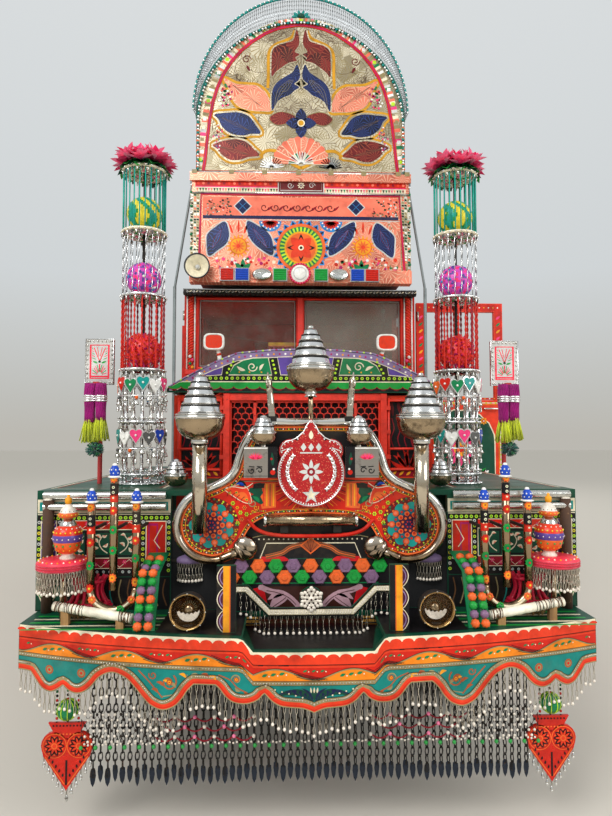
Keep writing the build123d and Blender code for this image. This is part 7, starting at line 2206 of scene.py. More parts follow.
# Towers: rods and beaded strands between rings, fancy balls, pendants and a crown of flowers
RINGS_Z = (1.473, 1.740, 2.008, 2.394, 2.734, 3.062)
ROUND = 0.112
HEART = [(0, -0.030), (0.012, -0.012), (0.022, 0.002), (0.0265, 0.014), (0.024, 0.024), (0.016, 0.029),
         (0.007, 0.027), (0, 0.020)]
HEART = HEART + [(-x, z) for x, z in reversed(HEART[1:-1])]
TIER_TONES = ("grey", "teal", "orange", "blue", "white", "red", "sky", "pink", "leaf", "navy")
RODS = (plastic("aqua", 0.3), plastic("grey", 0.3), plastic("red", 0.36), plastic("magenta", 0.36))


def beaded(x, y, low, high, radius, pitch):
    """A strand of beads as one tube whose radius swells at each bead."""
    count = int((high - low) / pitch) * 2
    return tube([(x, y, low + (high - low) * i / count) for i in range(count + 1)],
                [radius if i % 2 else radius * 0.45 for i in range(count + 1)], 6)


for name, cx in (("tower_left", 0.795), ("tower_right", -0.865)):
    cy = -0.950
    made = Build(name + "_set")
    made.add(tube([(cx, cy, 1.425), (cx, cy, 3.09)], 0.008, 8), IRON)
    for z in (1.425,) + RINGS_Z:
        flat = [(0.072, 0.0), (0.115, 0.0), (0.1175, 0.004), (0.1175, 0.010), (0.115, 0.014),
                (0.072, 0.014), (0.072, 0.0)]
        made.add(lathe(flat, 40), plastic("cream") if z > 2.7 else SATIN, moved((cx, cy, z)))
        for k in range(24):
            a = TAU * k / 24
            made.add(small, TINSEL, moved((*polar((cx, cy), 0.1185, a), z + 0.007), scale=1.2))
            if k % 2 == 0:
                made.add(bead, TINSEL if z > 2.3 else LINKS,
                         moved((*polar((cx, cy), 0.094, a), z - 0.004), scale=(1.2, 1.2, 0.6)))
        for a in around(4, 0.4):
            made.add(tube([(cx, cy, z + 0.007), (*polar((cx, cy), 0.08, a), z + 0.007)], 0.005, 6), IRON)
        if z > 2.1:
            made.add(lathe([(0.010, 0.006), (0.074, 0.002), (0.074, 0.010), (0.010, 0.012)], 32),
                     plastic("cream"), moved((cx, cy, z)))
            for reach, count, size in ((0.028, 9, 0.0075), (0.050, 15, 0.0085), (0.072, 20, 0.0090),
                                       (0.096, 26, 0.0090)):
                for k in range(count):
                    a = TAU * (k + 0.5 * (count % 2)) / count
                    made.add(ball(size, 4, 6, 0.5), (TINSEL, plastic("blush"), TINSEL, plastic("silver"),
                                                     plastic("fern"))[(k + count) % 5],
                             moved((*polar((cx, cy), reach, a), z)))
            for k in range(26):
                a = TAU * k / 26
                made.add(DROP, TINSEL if k % 2 else plastic("grey"),
                         moved((*polar((cx, cy), 0.113, a), z - 0.010), scale=(0.9, 0.9, 1.5)))
    for k in range(24):
        a = TAU * k / 24
        x, y = cx + ROUND * cos(a) * 0.97, cy + ROUND * sin(a) * 0.97
        made.add(tube([(x, y, 2.748), (x, y, 3.062)], 0.0036, 6), RODS[0] if k % 5 else plastic("teal", 0.3))
    for a in around(20):
        x, y = cx + ROUND * cos(a) * 0.96, cy + ROUND * sin(a) * 0.96
        for turn, mat in ((0.0, TINSEL), (pi, plastic("grey"))):
            rope = [(*polar((x, y), 0.0016, turn + 1.9 * j), 2.408 + 0.326 * j / 18) for j in range(19)]
            made.add(tube(rope, 0.0017, 5), mat)
    for k in range(18):
        a = TAU * k / 18
        x, y = cx + ROUND * cos(a) * 0.96, cy + ROUND * sin(a) * 0.96
        made.add(beaded(x, y, 2.022, 2.394, 0.0066, 0.030), RODS[2] if k % 3 else plastic("wine"))
        made.add(beaded(x, y, 2.022, 2.10, 0.0068, 0.016), RODS[2])
    for k in range(14):
        a = TAU * k / 14
        for low, high in ((1.439, 1.473), (1.487, 1.740), (1.754, 2.008)):
            x, y = polar((cx, cy), ROUND * 0.90, a)
            if high - low < 0.1:
                made.add(tube([(x, y, low), (x, y, high)], 0.005, 6), SATIN)
                continue
            turned_post = [(0.0, 0.0), (0.010, 0.0), (0.012, 0.012), (0.006, 0.022), (0.0085, 0.045),
                           (0.005, 0.066), (0.009, 0.075), (0.005, 0.084), (0.0045, high - low - 0.03),
                           (0.009, high - low - 0.02), (0.004, high - low)]
            made.add(lathe(turned_post, 8), SATIN if k % 2 else BRIGHT, moved((x, y, low)))
    for j, low in enumerate((1.487, 1.754)):
        for k in range(12):
            a = TAU * (k + 0.5 * j) / 12
            out = (cos(a), sin(a), 0)
            x, y = cx + 0.121 * out[0], cy + 0.121 * out[1]
            tone = TIER_TONES[(k * 3 + j * 4) % 10]
            z = low + 0.175 + 0.012 * (k % 2)
            turn = moved((x, y, z)) @ Matrix.Rotation(atan2(out[1], out[0]) + pi / 2, 4, "Z")
            made.add(plate([(u * 1.42, v * 1.42) for u, v in HEART], 0.004), TINSEL, turn, False)
            made.add(plate([(u * 1.16, v * 1.16) for u, v in HEART], 0.004), plastic(tone, 0.2),
                     moved(tuple(0.003 * v for v in out)) @ turn, False)
            made.add(bead, plastic("white"), moved((x + 0.004 * out[0], y + 0.004 * out[1], z + 0.004)))
            made.add(tube([(x, y, z + 0.025), (cx + 0.116 * out[0], cy + 0.116 * out[1], low + 0.256)],
                          0.0018, 4), LINKS)
            strand(made, x, y, low + 0.105, 0.060)
            bell = lathe([(0.003, 0.020), (0.008, 0.016), (0.012, 0.002), (0.015, -0.006), (0.013, -0.007)],
                         10)
            made.add(bell, BRIGHT, moved((*polar((cx, cy), 0.119, a + 0.26), low + 0.085 + 0.02 * (k % 2))))
            made.add(bead, TINSEL if k % 2 else plastic(TIER_TONES[(k + 4) % 10]),
                     moved((*polar((cx, cy), 0.119, a + 0.26), low + 0.115 + 0.02 * (k % 2)), scale=1.6))
        loop = [(*polar((cx, cy), 0.118, TAU * k / 30), low + 0.125) for k in range(30)]
        made.add(tube(loop, 0.0032, 5, True), TINSEL)
        for k in range(60):
            a = TAU * k / 60
            made.add(small, TINSEL if k % 2 else LINKS, moved((*polar((cx, cy), 0.119, a), low + 0.012)))
    # balls
    for z, radius, kind in ((2.117, 0.092, 0), (2.498, 0.090, 1), (2.846, 0.091, 2)):
        points, faces = ball(radius, 26, 48)
        tints = ((plastic("red"), plastic("coral"), plastic("scarlet")),
                 (plastic("fuchsia"), plastic("rose"), plastic("purple")),
                 (plastic("fern"), plastic("lemon"), plastic("aqua")))[kind]
        parts = ([], [], [])
        for face in faces:
            p = sum((points[i] for i in face), Vector()) / len(face)
            a, t = atan2(p.y, p.x), p.z / radius
            if kind == 2:
                wave = sin(6 * a + 4.0 * t + 2.0 * sin(3.4 * t + a))
                pick = 1 if wave > 0.05 else 2 if wave < -0.62 else 0
            elif kind == 1:
                wave = sin(9 * a + 2.0 * sin(7 * t)) * sin(8 * t + 2 * a)
                pick = 1 if wave > 0.55 else 2 if wave < -0.45 or t > 0.8 else 0
            else:
                pick = (int(a * 9) + int(p.z * 90)) % 3
            parts[pick].append(face)
        for part, tint in zip(parts, tints):
            if part:
                made.add((points, part), tint, moved((cx, cy, z)), kind != 0)
        if kind == 0:
            spike = lathe([(0.007, 0), (0.004, 0.006), (0, 0.013)], 5)
            for k in range(260):
                u, a = rng.uniform(-0.96, 0.98), rng.uniform(0, TAU)
                r = sqrt(1 - u * u)
                out = (r * cos(a), r * sin(a), u)
                made.add(spike, plastic(("red", "scarlet", "magenta")[k % 3]),
                         moved(tuple(c + radius * 0.98 * v for c, v in zip((cx, cy, z), out)), along=out),
                         False)
        if kind == 1:
            for k in range(46):
                u, a = rng.uniform(-0.9, 0.9), rng.uniform(0, TAU)
                r = sqrt(1 - u * u)
                out = (r * cos(a), r * sin(a), u)
                made.add(ball(0.008, 4, 6, 0.35), plastic(("blue", "sky", "white", "purple")[k % 4]),
                         moved(tuple(c + radius * v for c, v in zip((cx, cy, z), out)), along=out))
    for k in range(90):
        a = rng.uniform(0, TAU)
        r = rng.uniform(0.02, 0.104)
        made.add(lathe([(0.005, 0), (0, 0.022)], 4), plastic(("red", "pink", "silver", "magenta")[k % 4]),
                 moved((*polar((cx, cy), r, a), 2.022 + 0.02 * rng.random()),
                       along=(cos(a), sin(a), rng.uniform(0.4, 2.0))), False)
    # flowers on the top ring: pointed petals in open cups over green leaves
    petal = [(0, 0), (0.014, 0.018), (0.0200, 0.038), (0.0150, 0.064), (0, 0.084), (-0.0150, 0.064),
             (-0.0200, 0.038), (-0.014, 0.018)]
    fold = ([Vector((x, 0.20 * z - 0.6 * abs(x), z)) for x, z in petal], [(0, 1, 2, 3, 4), (4, 5, 6, 7, 0)])
    heads = [(0.0, 0.0, 3.132)] + [(0.090 * cos(TAU * k / 8), 0.090 * sin(TAU * k / 8),
                                    3.102 + 0.014 * (k % 2)) for k in range(8)]
    for i, (hx, hy, hz) in enumerate(heads):
        lean = Vector((hx, hy, 0.17)).normalized()
        base = moved((cx + hx, cy + hy, hz), along=lean)
        for ring_no, (count, tilt, size) in enumerate(((9, 1.02, 0.92), (8, 0.66, 1.0), (5, 0.30, 0.95))):
            for k in range(count):
                made.add(fold, plastic(("rose", "blush", "rose")[ring_no] if (k + i) % 3 else "blush"),
                         base @ Matrix.Rotation(TAU * k / count + 0.3 * ring_no + i, 4, "Z")
                         @ Matrix.Rotation(-tilt - 0.1 * rng.random(), 4, "X") @ Matrix.Diagonal(
                             (size, size, size * (0.86 + 0.3 * rng.random()), 1)), True)
        made.add(bead, plastic("amber"), base @ moved((0, 0, 0.014)))
        for k in range(8):
            made.add(fold, plastic("fern" if k % 2 else "forest"),
                     base @ moved((0, 0, -0.014)) @ Matrix.Rotation(TAU * k / 8 + i, 4, "Z")
                     @ Matrix.Rotation(-1.45, 4, "X") @ Matrix.Diagonal((1.3, 1.1, 0.85, 1)), True)
    made.done("chassis", "tower_plastic", name)

# Small sign boards with a plant, and the wool tassels below them
signs = Paint("sign_faces", front(-0.9302))
edges = Build("sign_edges")
for c in (1.060, -1.095):
    signs.poly(rect(c - 0.073, c + 0.073, 1.945, 2.185), "silver", 1)
    signs.poly(rect(c - 0.055, c + 0.055, 1.968, 2.162), paint("silver", 0.5), 2)
    signs.line(rect(c - 0.0470, c + 0.0470, 1.977, 2.153), 0.0105, "coral", 3, True)
    signs.line([(c - 0.044, 1.987), (c + 0.044, 1.987)], 0.0085, "coral", 4)
    signs.poly(ring((c, 2.066), 0.0065, 8), "forest", 5)
    for k in (-1, 1):
        signs.line(curve([(c + k * 0.002, 2.072), (c + k * 0.014, 2.102), (c + k * 0.030, 2.140)], 4),
                   0.0044, "coral", 4)
        signs.line([(c + k * 0.0035, 2.095), (c + k * 0.013, 2.142)], 0.0030, "coral", 4)
        for j in range(5):
            signs.line([(c + k * (0.021 + 0.0035 * j), 2.078 + 0.013 * j),
                        (c + k * 0.0385, 2.086 + 0.013 * j)], 0.0026, ("fern", "coral")[j % 2], 4)
        for j in range(6):
            a = radians(10 + 15.5 * j)
            signs.line([(c + k * 0.013 * cos(a), 1.996 + 0.016 * sin(a)),
                        (c + k * 0.039 * cos(a), 1.996 + 0.056 * sin(a))], 0.0034,
                       ("coral", "fern", "coral")[j % 3], 4)
        signs.poly(leaf((c + k * 0.010, 2.058), (c + k * 0.036, 2.068), 0.009), "fern", 4)
    for k in range(10):
        for x in (c - 0.064, c + 0.064):
            edges.add(small, BRIGHT, moved((x, -0.932, 1.955 + 0.0245 * k), scale=1.3))
    for k in range(6):
        for z in (1.956, 2.174):
            edges.add(small, BRIGHT, moved((c - 0.052 + 0.0208 * k, -0.932, z), scale=1.3))
    edges.add(tube([(c - 0.073, -0.931, 1.945), (c + 0.073, -0.931, 1.945), (c + 0.073, -0.931, 2.185),
                    (c - 0.073, -0.931, 2.185)], 0.004, 6, True), SATIN)
signs.done("chassis", "sign_paint")
edges.done("chassis", "sign_paint")
wool = Build("tassel_threads")
MAGENTA_WOOL = cloth("wool_magenta", "#A60E78", 300.0, 0.15)
LIME_WOOL = cloth("wool_lime", "#DCE824", 300.0, 0.3)
TEAL_WOOL = cloth("wool_teal", "#0E5A50", 300.0, 0.7)
for c in (1.060, -1.095):
    for side, drop in ((-0.029, 0.0), (0.027, 0.010)):
        x, y = c + side, -0.986
        top = 1.946
        for a in around(18):
            r = 0.0250
            thread = []
            for j in range(9):
                z = top - (0.20 - drop) * j / 8
                spin = a + 1.1 * j / 8
                swell = r * (0.88 + 0.16 * sin(pi * min(1, j / 5)))
                thread.append((*polar((x, y), swell, spin), z))
            wool.add(tube(thread, 0.0046, 5), MAGENTA_WOOL)
        for z in (1.880, 1.868, 1.856):
            wool.add(tube([(*polar((x, y), 0.0270, TAU * k / 14), z) for k in range(14)], 0.0062, 6, True),
                     TINSEL)
        wool.add(tube([(x, y, top), (x, y, top - 0.19)], 0.0215, 12), MAGENTA_WOOL)
        foot = top - 0.20 + drop
        for k in range(62):
            a = rng.uniform(0, TAU)
            r0, r1 = 0.024 * sqrt(rng.random()), 0.013 + 0.022 * rng.random()
            wool.add(tube([(*polar((x, y), r0, a), foot + 0.012),
                           (*polar((x, y), (r0 + r1) * 0.6, a), foot - 0.03),
                           (x + (r0 + r1) * cos(a + 0.1) * 0.85, y + (r0 + r1) * sin(a + 0.1) * 0.85,
                            foot - 0.092 - 0.016 * rng.random())], 0.0032, 4), LIME_WOOL)
    for k in range(170):
        u, a = rng.uniform(-1, 1), rng.uniform(0, TAU)
        r = sqrt(1 - u * u)
        out = Vector((r * cos(a), r * sin(a), u))
        at = Vector((c, -0.986, 1.606))
        tip = Vector((out.x * 0.047, out.y * 0.047, out.z * 0.040))
        wool.add(tube([at, at + tip], [0.004, 0.002], 4),
                 TEAL_WOOL if k % 4 else cloth("wool_green", "#1E9A4A", 300.0, 0.7))
wool.done("chassis", "tassel_thread", "tassels")

# Brow board over the grille
brow = Paint("brow_board", front(-0.5802))


def brow_top(x):
    """The height of the board's top edge at x."""
    pairs = ((0.0, 2.184), (0.2, 2.179), (0.4, 2.160), (0.5, 2.121), (0.6, 2.072), (0.7, 2.018),
             (0.815, 1.952))
    x = abs(x)
    for (x0, z0), (x1, z1) in zip(pairs, pairs[1:]):
        if x <= x1:
            return z0 + (z1 - z0) * (x - x0) / (x1 - x0)
    return pairs[-1][1]


brow.band(-0.812, 0.812, 1.937, lambda x: brow_top(x) - 0.002, "black", 1, 0.02)
brow.band(-0.80, 0.80, lambda x: max(1.94, brow_top(x) - 0.040), lambda x: brow_top(x) - 0.004,
          "mauve", 2, 0.02)
brow.band(-0.80, 0.80, lambda x: max(1.94, brow_top(x) - 0.044), lambda x: max(1.941, brow_top(x) - 0.040),
          "cream", 3, 0.02)
for k in range(46):
    x = -0.765 + 0.034 * k
    brow.dots([(x, brow_top(x) - 0.022)], 0.0065, ("magenta", "white", "amber")[k % 3], 3, 6)
brow.band(-0.80, 0.80, lambda x: min(1.962, brow_top(x) - 0.01), lambda x: min(1.990, brow_top(x) - 0.006),
          "green", 4, 0.02)
brow.band(-0.80, 0.80, lambda x: min(1.990, brow_top(x) - 0.006), lambda x: min(1.996, brow_top(x) - 0.004),
          "cream", 5, 0.02)
for k in range(21):
    x = -0.77 + 0.077 * k
    if brow_top(x) < 1.975:
        continue
    bow_line = [(x - 0.0385 * cos(pi * j / 10), 1.966 - 0.018 * sin(pi * j / 10)) for j in range(11)]
    brow.poly([(x - 0.0385, 1.966)] + bow_line, "green", 5)
    brow.line(bow_line, 0.004, "wine", 6)
    brow.poly(leaf((x, 1.939), (x, 1.949), 0.03), "maroon", 5)
for k in range(48):
    x = -0.752 + 0.032 * k
    if brow_top(x) > 2.045:
        brow.dots([(x, 2.014)], 0.0098, "lime", 4, 10)
        brow.dots([(x, 2.014)], 0.0042, "forest", 5, 8)
panel = [(0.200, 2.036), (0.222, 2.134), (0.310, 2.131), (0.368, 2.118), (0.420, 2.088), (0.452, 2.036)]
brow.poly(grown(panel, 0.006), "cream", 4, True)
brow.poly(panel, "leaf", 5, True)
for hand in (1, -1):
    brow.line(curl((0.315 * hand, 2.082), 0.030, 1.3, 0, hand), 0.006, "cream", 6)
    brow.poly(leaf((0.355 * hand, 2.060), (0.405 * hand, 2.085), 0.018, 0.1), "cream", 6)
    brow.poly(leaf((0.270 * hand, 2.060), (0.245 * hand, 2.100), 0.016, 0.1), "cream", 6)
    brow.dots([(0.26 * hand, 2.050), (0.33 * hand, 2.050), (0.39 * hand, 2.050)], 0.005, "amber", 6)
plaque = [(0.0, 2.036), (0.145, 2.036), (0.165, 2.138), (0.0, 2.142), (-0.165, 2.138), (-0.145, 2.036)]
brow.poly(grown(plaque, 0.005), "cream", 4)
brow.poly(plaque, "purple", 5)
flower(brow, (0, 2.088), 0.036, ("cream", "magenta", "amber"), 6, 8)
for hand in (1, -1):
    brow.line(curl((0.078 * hand, 2.088), 0.026, 1.3, 0, hand), 0.005, "cream", 6)
    brow.dots([((0.176 + 0.006 * k) * hand, 2.046 + 0.024 * k) for k in range(4)], 0.0075, "lime", 4)
    brow.dots([((0.462 - 0.012 * k) * hand, 2.046 + 0.022 * k) for k in range(4)], 0.0075, "lime", 4)
side = [(0.495, 2.036), (0.488, 2.078), (0.535, 2.062), (0.610, 2.028), (0.600, 2.028)]
brow.poly(grown(side, 0.005), "cream", 4, True)
brow.poly(side, "purple", 5, True)
brow.done("bonnet_lid", "bonnet_paint")
edge_roll = Build("brow_edge")
path = [(x, -0.566, brow_top(x)) for x in [-0.812 + 0.02 * k for k in range(82)]]
edge_roll.add(tube(path, 0.0105, 8), plastic("mauve", 0.35))
for k in range(0, 82, 2):
    x, y, z = path[k]
    edge_roll.add(bead, plastic(("cream", "magenta", "lime")[k // 2 % 3]),
                  moved((x, y - 0.008, z + 0.002), scale=1.3))
edge_roll.done("bonnet_lid", "bonnet_paint")

# Grille: expanded mesh in a red frame, radiator behind
GRILLE = -0.553
mesh = Build("grille_mesh")
RED_IRON = worn("grille_red", "#D8301A", "#5A1A12", 0.42, 0.0, 26.0, 0.62)
rows, cell, pitch = 20, 0.0445, 0.034
for j in range(rows):
    z = 1.212 + pitch * j
    for i in range(20):
        x = -0.445 + cell * i
        shift = cell / 2 if j % 2 else 0
        a, b, c = x + shift, x + shift + cell * 0.5, x + shift + cell
        if c > 0.447:
            continue
        path = [(a, z), (a + cell * 0.16, z + pitch * 0.5), (a + cell * 0.5, z + pitch * 0.62),
                (a + cell * 0.84, z + pitch * 0.5), (c, z)]
        mesh.add(tube([(u, GRILLE + 0.012, v) for u, v in path], 0.0042, 4), RED_IRON)
        mesh.add(tube([(b, GRILLE + 0.012, z + pitch * 0.62), (b, GRILLE + 0.012, z + pitch)], 0.0042, 4),
                 RED_IRON)
for x in (-0.445, -0.30, 0.30, 0.445):
    mesh.add(block((x - 0.008, GRILLE + 0.004, 1.20), (x + 0.008, GRILLE + 0.020, 1.88)),
             RED_IRON, None, False)
mesh.add(block((-0.45, GRILLE + 0.004, 1.872), (0.45, GRILLE + 0.020, 1.882)), RED_IRON, None, False)
mesh.done("chassis", "grille_mesh", "grille_lattice")
core = Build("radiator_core")
CORE = worn("radiator_dark", "#3A1016", "#16100E", 0.6, 0.3, 40.0, 0.6)
core.add(block((-0.43, -0.515, 1.21), (0.43, -0.49, 1.87)), CORE, None, False)
for k in range(43):
    x = -0.42 + 0.02 * k
    core.add(block((x - 0.002, -0.522, 1.215), (x + 0.002, -0.514, 1.865)), IRON, None, False)
core.done("chassis", "machined_steel")
nose = Build("nose_frame")
NOSE_RED = worn("nose_red", "#E2321C", "#8E2014", 0.36, 0.0, 12.0, 0.66)
nose.pair(block((0.448, -0.572, 1.16), (0.484, -0.550, 1.925)), NOSE_RED, smooth=False)
nose.add(block((-0.484, -0.566, 1.885), (0.484, -0.550, 1.925)), NOSE_RED, None, False)
for x in (0.497, 0.745):
    nose.pair(tube([(x, -0.556, 1.44), (x, -0.556, 1.90)], 0.0085, 8), NOSE_RED)
for z in (1.885, 1.598, 1.475):
    nose.pair(tube([(0.49, -0.556, z), (0.755, -0.556, z)], 0.0075, 8), NOSE_RED)
for z in (1.55, 1.70, 1.84):
    nose.pair(block((0.480, -0.574, z - 0.012), (0.505, -0.548, z + 0.012)), NOSE_RED, smooth=False)
nose.done("chassis", "nose_paint")
bays = Paint("side_bays", front(-0.5270))
bays.poly(rect(0.500, 0.742, 1.480, 1.885), "black", 1, True)
for k in range(9):
    a = radians(20 + 17.5 * k)
    foot = (0.620 + 0.02 * cos(a), 1.484)
    tip = (0.620 + 0.118 * cos(a), 1.484 + 0.105 * abs(sin(a)) + 0.01)
    bays.poly(leaf(foot, tip, 0.022, 0.1 * (-1) ** k), "red", 2, True)
for k in range(6):
    x = 0.520 + 0.04 * k
    bays.poly(leaf((x, 1.880), (x + 0.008, 1.790 + 0.02 * (k % 2)), 0.020), "maroon", 2, True)
    bays.line(curve([(x, 1.78), (x + 0.014, 1.72), (x - 0.004, 1.66), (x + 0.008, 1.61)]), 0.006,
              "wine", 2, both=True)
bays.done("chassis", "nose_paint")
sides = Paint("nose_lower", front(-0.5502))
sides.poly(rect(0.505, 0.768, 1.432, 1.474), "wine", 1, True)
for k in range(6):
    sides.poly(leaf((0.515 + 0.043 * k, 1.440), (0.545 + 0.043 * k, 1.466), 0.014), "amber", 2, True)
sides.done("chassis", "nose_paint")

# Windscreen surround: red frames, rubber seals, carved rope posts, visor trim
screen = Build("screen_frames")
FRAME = worn("screen_red", "#D92C1C", "#7E1A14", 0.36, 0.0, 10.0, 0.68)
Y0 = 0.896
outline = [(x, Y0, z) for x, z in rect(0.026, 0.862, 2.238, 2.832)]
screen.pair(tube(outline, 0.014, 4, True), FRAME, smooth=False)
inner = [(x, Y0 + 0.010, z) for x, z in rect(0.046, 0.842, 2.258, 2.812)]
screen.pair(tube(inner, 0.007, 6, True), worn("seal_grey", "#8C8A84", "#4A4844", 0.6, 0.0, 30.0, 0.6))
screen.add(block((-0.022, Y0 - 0.022, 2.235), (0.022, Y0 + 0.004, 2.836)), FRAME, None, False)
for z in (2.30, 2.45, 2.60, 2.75):
    screen.add(stud, LINKS, facing((0, Y0 - 0.022, z)))
    screen.pair(stud, LINKS, facing((0.874, Y0 - 0.006, z)))
screen.add(block((-0.965, Y0 - 0.012, 2.190), (0.965, Y0 + 0.006, 2.228)), FRAME, None, False)
lobe_shape = ball(0.019, 5, 8, 1.0)
for k in range(27):
    z = 2.236 + 0.0228 * k
    for hand in (1, -1):
        turn = moved((hand * 0.918, Y0 - 0.004, z)) @ Matrix.Rotation(hand * 0.62, 4, "Y")
        screen.add(lobe_shape, FRAME if k % 2 else plastic("scarlet", 0.3),
                   turn @ Matrix.Diagonal((1.75, 0.7, 0.52, 1)))
for x in (0.886, 0.950):
    screen.pair(tube([(x, Y0 - 0.002, 2.225), (x, Y0 - 0.002, 2.846)], 0.0065, 6), plastic("white", 0.35))
for k in range(4):
    a = 2.246 + 0.03 * k
    screen.pair(ball(0.014, 5, 8), plastic(("amber", "leaf", "pink", "white")[k]),
                moved((0.900 + 0.02 * (k % 2), Y0 - 0.024, a), scale=(1, 0.6, 1)))
screen.done("chassis", "cab_paint")
visor = Paint("visor_front", front(0.7718))
visor.poly(rect(-0.962, 0.962, 2.847, 2.877), "black", 1)
for k in range(36):
    x = -0.93 + 0.0532 * k
    visor.line(curl((x, 2.862), 0.010, 0.9, pi * (k % 2), 1 if k % 2 else -1), 0.0034, "white", 2)
    visor.poly(leaf((x + 0.014, 2.855), (x + 0.038, 2.868), 0.008), "cream", 2)
visor.done("chassis", "visor_black")
trim = Build("visor_trim")
for k in range(49):
    x = -0.948 + 0.0395 * k
    trim.add(lathe([(0.0, 0.0), (0.013, -0.004), (0.016, -0.012), (0.010, -0.018)], 10), IRON,
             moved((x, 0.780, 2.848), scale=(1.1, 0.7, 1)))
trim.add(tube([(-0.965, 0.774, 2.879), (0.965, 0.774, 2.879)], 0.006, 6), SATIN)
trim.add(tube([(-0.965, 0.774, 2.846), (0.965, 0.774, 2.846)], 0.005, 6), IRON)
trim.done("chassis", "visor_black")

# Cross mirrors on their stalks
heads = Build("mirror_heads")
squircle = [(0.083 * copysign(abs(cos(a)) ** 0.55, cos(a)), 0.067 * copysign(
    abs(sin(a)) ** 0.55, sin(a))) for a in around(28)]


def shell(scale, y):
    return [Vector((x * scale, y, z * scale)) for x, z in squircle]


rings = [shell(0.80, -0.020), shell(0.86, -0.026), shell(1.0, -0.022), shell(1.03, -0.006), shell(1.0, 0.012),
         shell(0.86, 0.026), shell(0.5, 0.034), shell(0.1, 0.036)]
points = [p for loop in rings for p in loop]
faces = [(28 * j + k, 28 * j + (k + 1) % 28, 28 * j + 28 + (k + 1) % 28, 28 * j + 28 + k) for j in range(7)
         for k in range(28)]
at = moved((0.695, 0.668, 2.426))
heads.pair((points, faces), plastic("white", 0.22), at)
heads.pair(([Vector((0, -0.020, 0))] + shell(0.82, -0.0195),
            [(0, 1 + (k + 1) % 28, 1 + k) for k in range(28)]), plastic("scarlet", 0.2), at, smooth=False)
path = curve([(0.650, 0.905, 2.170), (0.650, 0.80, 2.205), (0.650, 0.712, 2.262), (0.658, 0.690, 2.330),
              (0.672, 0.684, 2.372)], 6)
heads.pair(tube(path, [0.024 - 0.010 * k / 24 for k in range(25)], 12), plastic("white", 0.25))
for share, tone in ((0.30, "scarlet"), (0.52, "orange"), (0.72, "scarlet")):
    n = int(share * 24)
    heads.pair(tube(path[n:n + 3], 0.0235 - 0.008 * share, 12), plastic(tone, 0.25))
heads.done("chassis", "cab_paint", "mirrors")

# Inside the screen: a fringed strip and a hanging charm
inner = Build("screen_fringe")
inner.add(block((-0.272, 0.985, 2.440), (0.290, 1.000, 2.474)),
          cloth("fringe_amber", "#F2B21C", 200.0), None, False)
inner.add(tube([(-0.272, 0.984, 2.440), (0.290, 0.984, 2.440)], 0.006, 6),
          cloth("fringe_orange", "#E8601C", 200.0))
for k in range(15):
    x = -0.262 + 0.0385 * k
    inner.add(tube([(x, 0.99, 2.442), (x, 0.99, 2.425), (x, 0.99, 2.392)], [0.004, 0.007, 0.011], 8),
              cloth("fringe_pink", "#E23A7A", 240.0) if k % 2 else cloth("fringe_red", "#B01A22", 240.0))
for x in (-0.27, 0.29):
    inner.add(tube([(x, 0.992, 2.47), (x * 3.1, 0.97, 2.56)], 0.0016, 4), IRON)
inner.add(tube([(0.72, 0.99, 2.82), (0.72, 0.99, 2.76)], 0.002, 4), LINKS)
inner.add(ball(0.020, 6, 10), plastic("white"), moved((0.72, 0.99, 2.752)))
inner.add(tube([(0.72, 0.99, 2.738), (0.72, 0.99, 2.70), (0.72, 0.99, 2.668)], [0.008, 0.014, 0.018], 10),
          cloth("charm_pink", "#E8A8B8", 240.0))
inner.done("chassis", "trim_cloth")

# Tyres with ribs, lugs and stepped walls, and painted wheels
TYRE_R, RIM_R, WHEEL_Z, BASE_Y = 0.500, 0.2545, 0.500, 4.240
TYRE_WALLS = [(RIM_R, -0.092), (0.272, -0.104), (0.292, -0.1115), (0.318, -0.1165), (0.330, -0.1140),
              (0.372, -0.1165), (0.410, -0.1140), (0.440, -0.1075), (TYRE_R - 0.036, -0.101),
              (TYRE_R - 0.018, -0.094)]
TREAD = [(TYRE_R - 0.014, -0.088), (TYRE_R - 0.013, 0.0), (TYRE_R - 0.014, 0.088)]


def tyre(build, centre):
    """One tyre about the X axis at the given centre."""
    place = Matrix.Translation(centre) @ Matrix.Rotation(pi / 2, 4, "Y")
    walls = TYRE_WALLS + TREAD + [(r, -x) for r, x in reversed(TYRE_WALLS)]
    build.add(lathe(walls, 64), RUBBER, place)
    for row, (off, wide, count) in enumerate(((-0.078, 0.036, 46), (-0.029, 0.040, 46), (0.029, 0.040, 46),
                                              (0.078, 0.036, 46))):
        for k in range(count):
            a = TAU * (k + 0.5 * (row % 2)) / count
            half = 0.024
            skew = 0.010 * (1 if row % 2 else -1)
            corner = []
            for r in (TYRE_R - 0.016, TYRE_R - (0.004 if row in (0, 3) else 0.0012)):
                for da, dx in ((-half, -wide / 2), (half, -wide / 2), (half, wide / 2), (-half, wide / 2)):
                    t = a + (da + skew * (1 if dx > 0 else -1)) / 0.5
                    corner.append(Vector((r * cos(t), r * sin(t), off + dx)))
            build.add((corner, [(4, 5, 6, 7), (0, 1, 5, 4), (1, 2, 6, 5), (2, 3, 7, 6), (3, 0, 4, 7)]),
                      RUBBER, place, False)
    for a in around(60):
        for end in (-1, 1):
            build.add(block((-0.006, -0.004, -0.0015), (0.006, 0.004, 0.0015)), RUBBER, place @ moved(
                (0.444 * cos(a), 0.444 * sin(a), end * 0.1085), a), False)


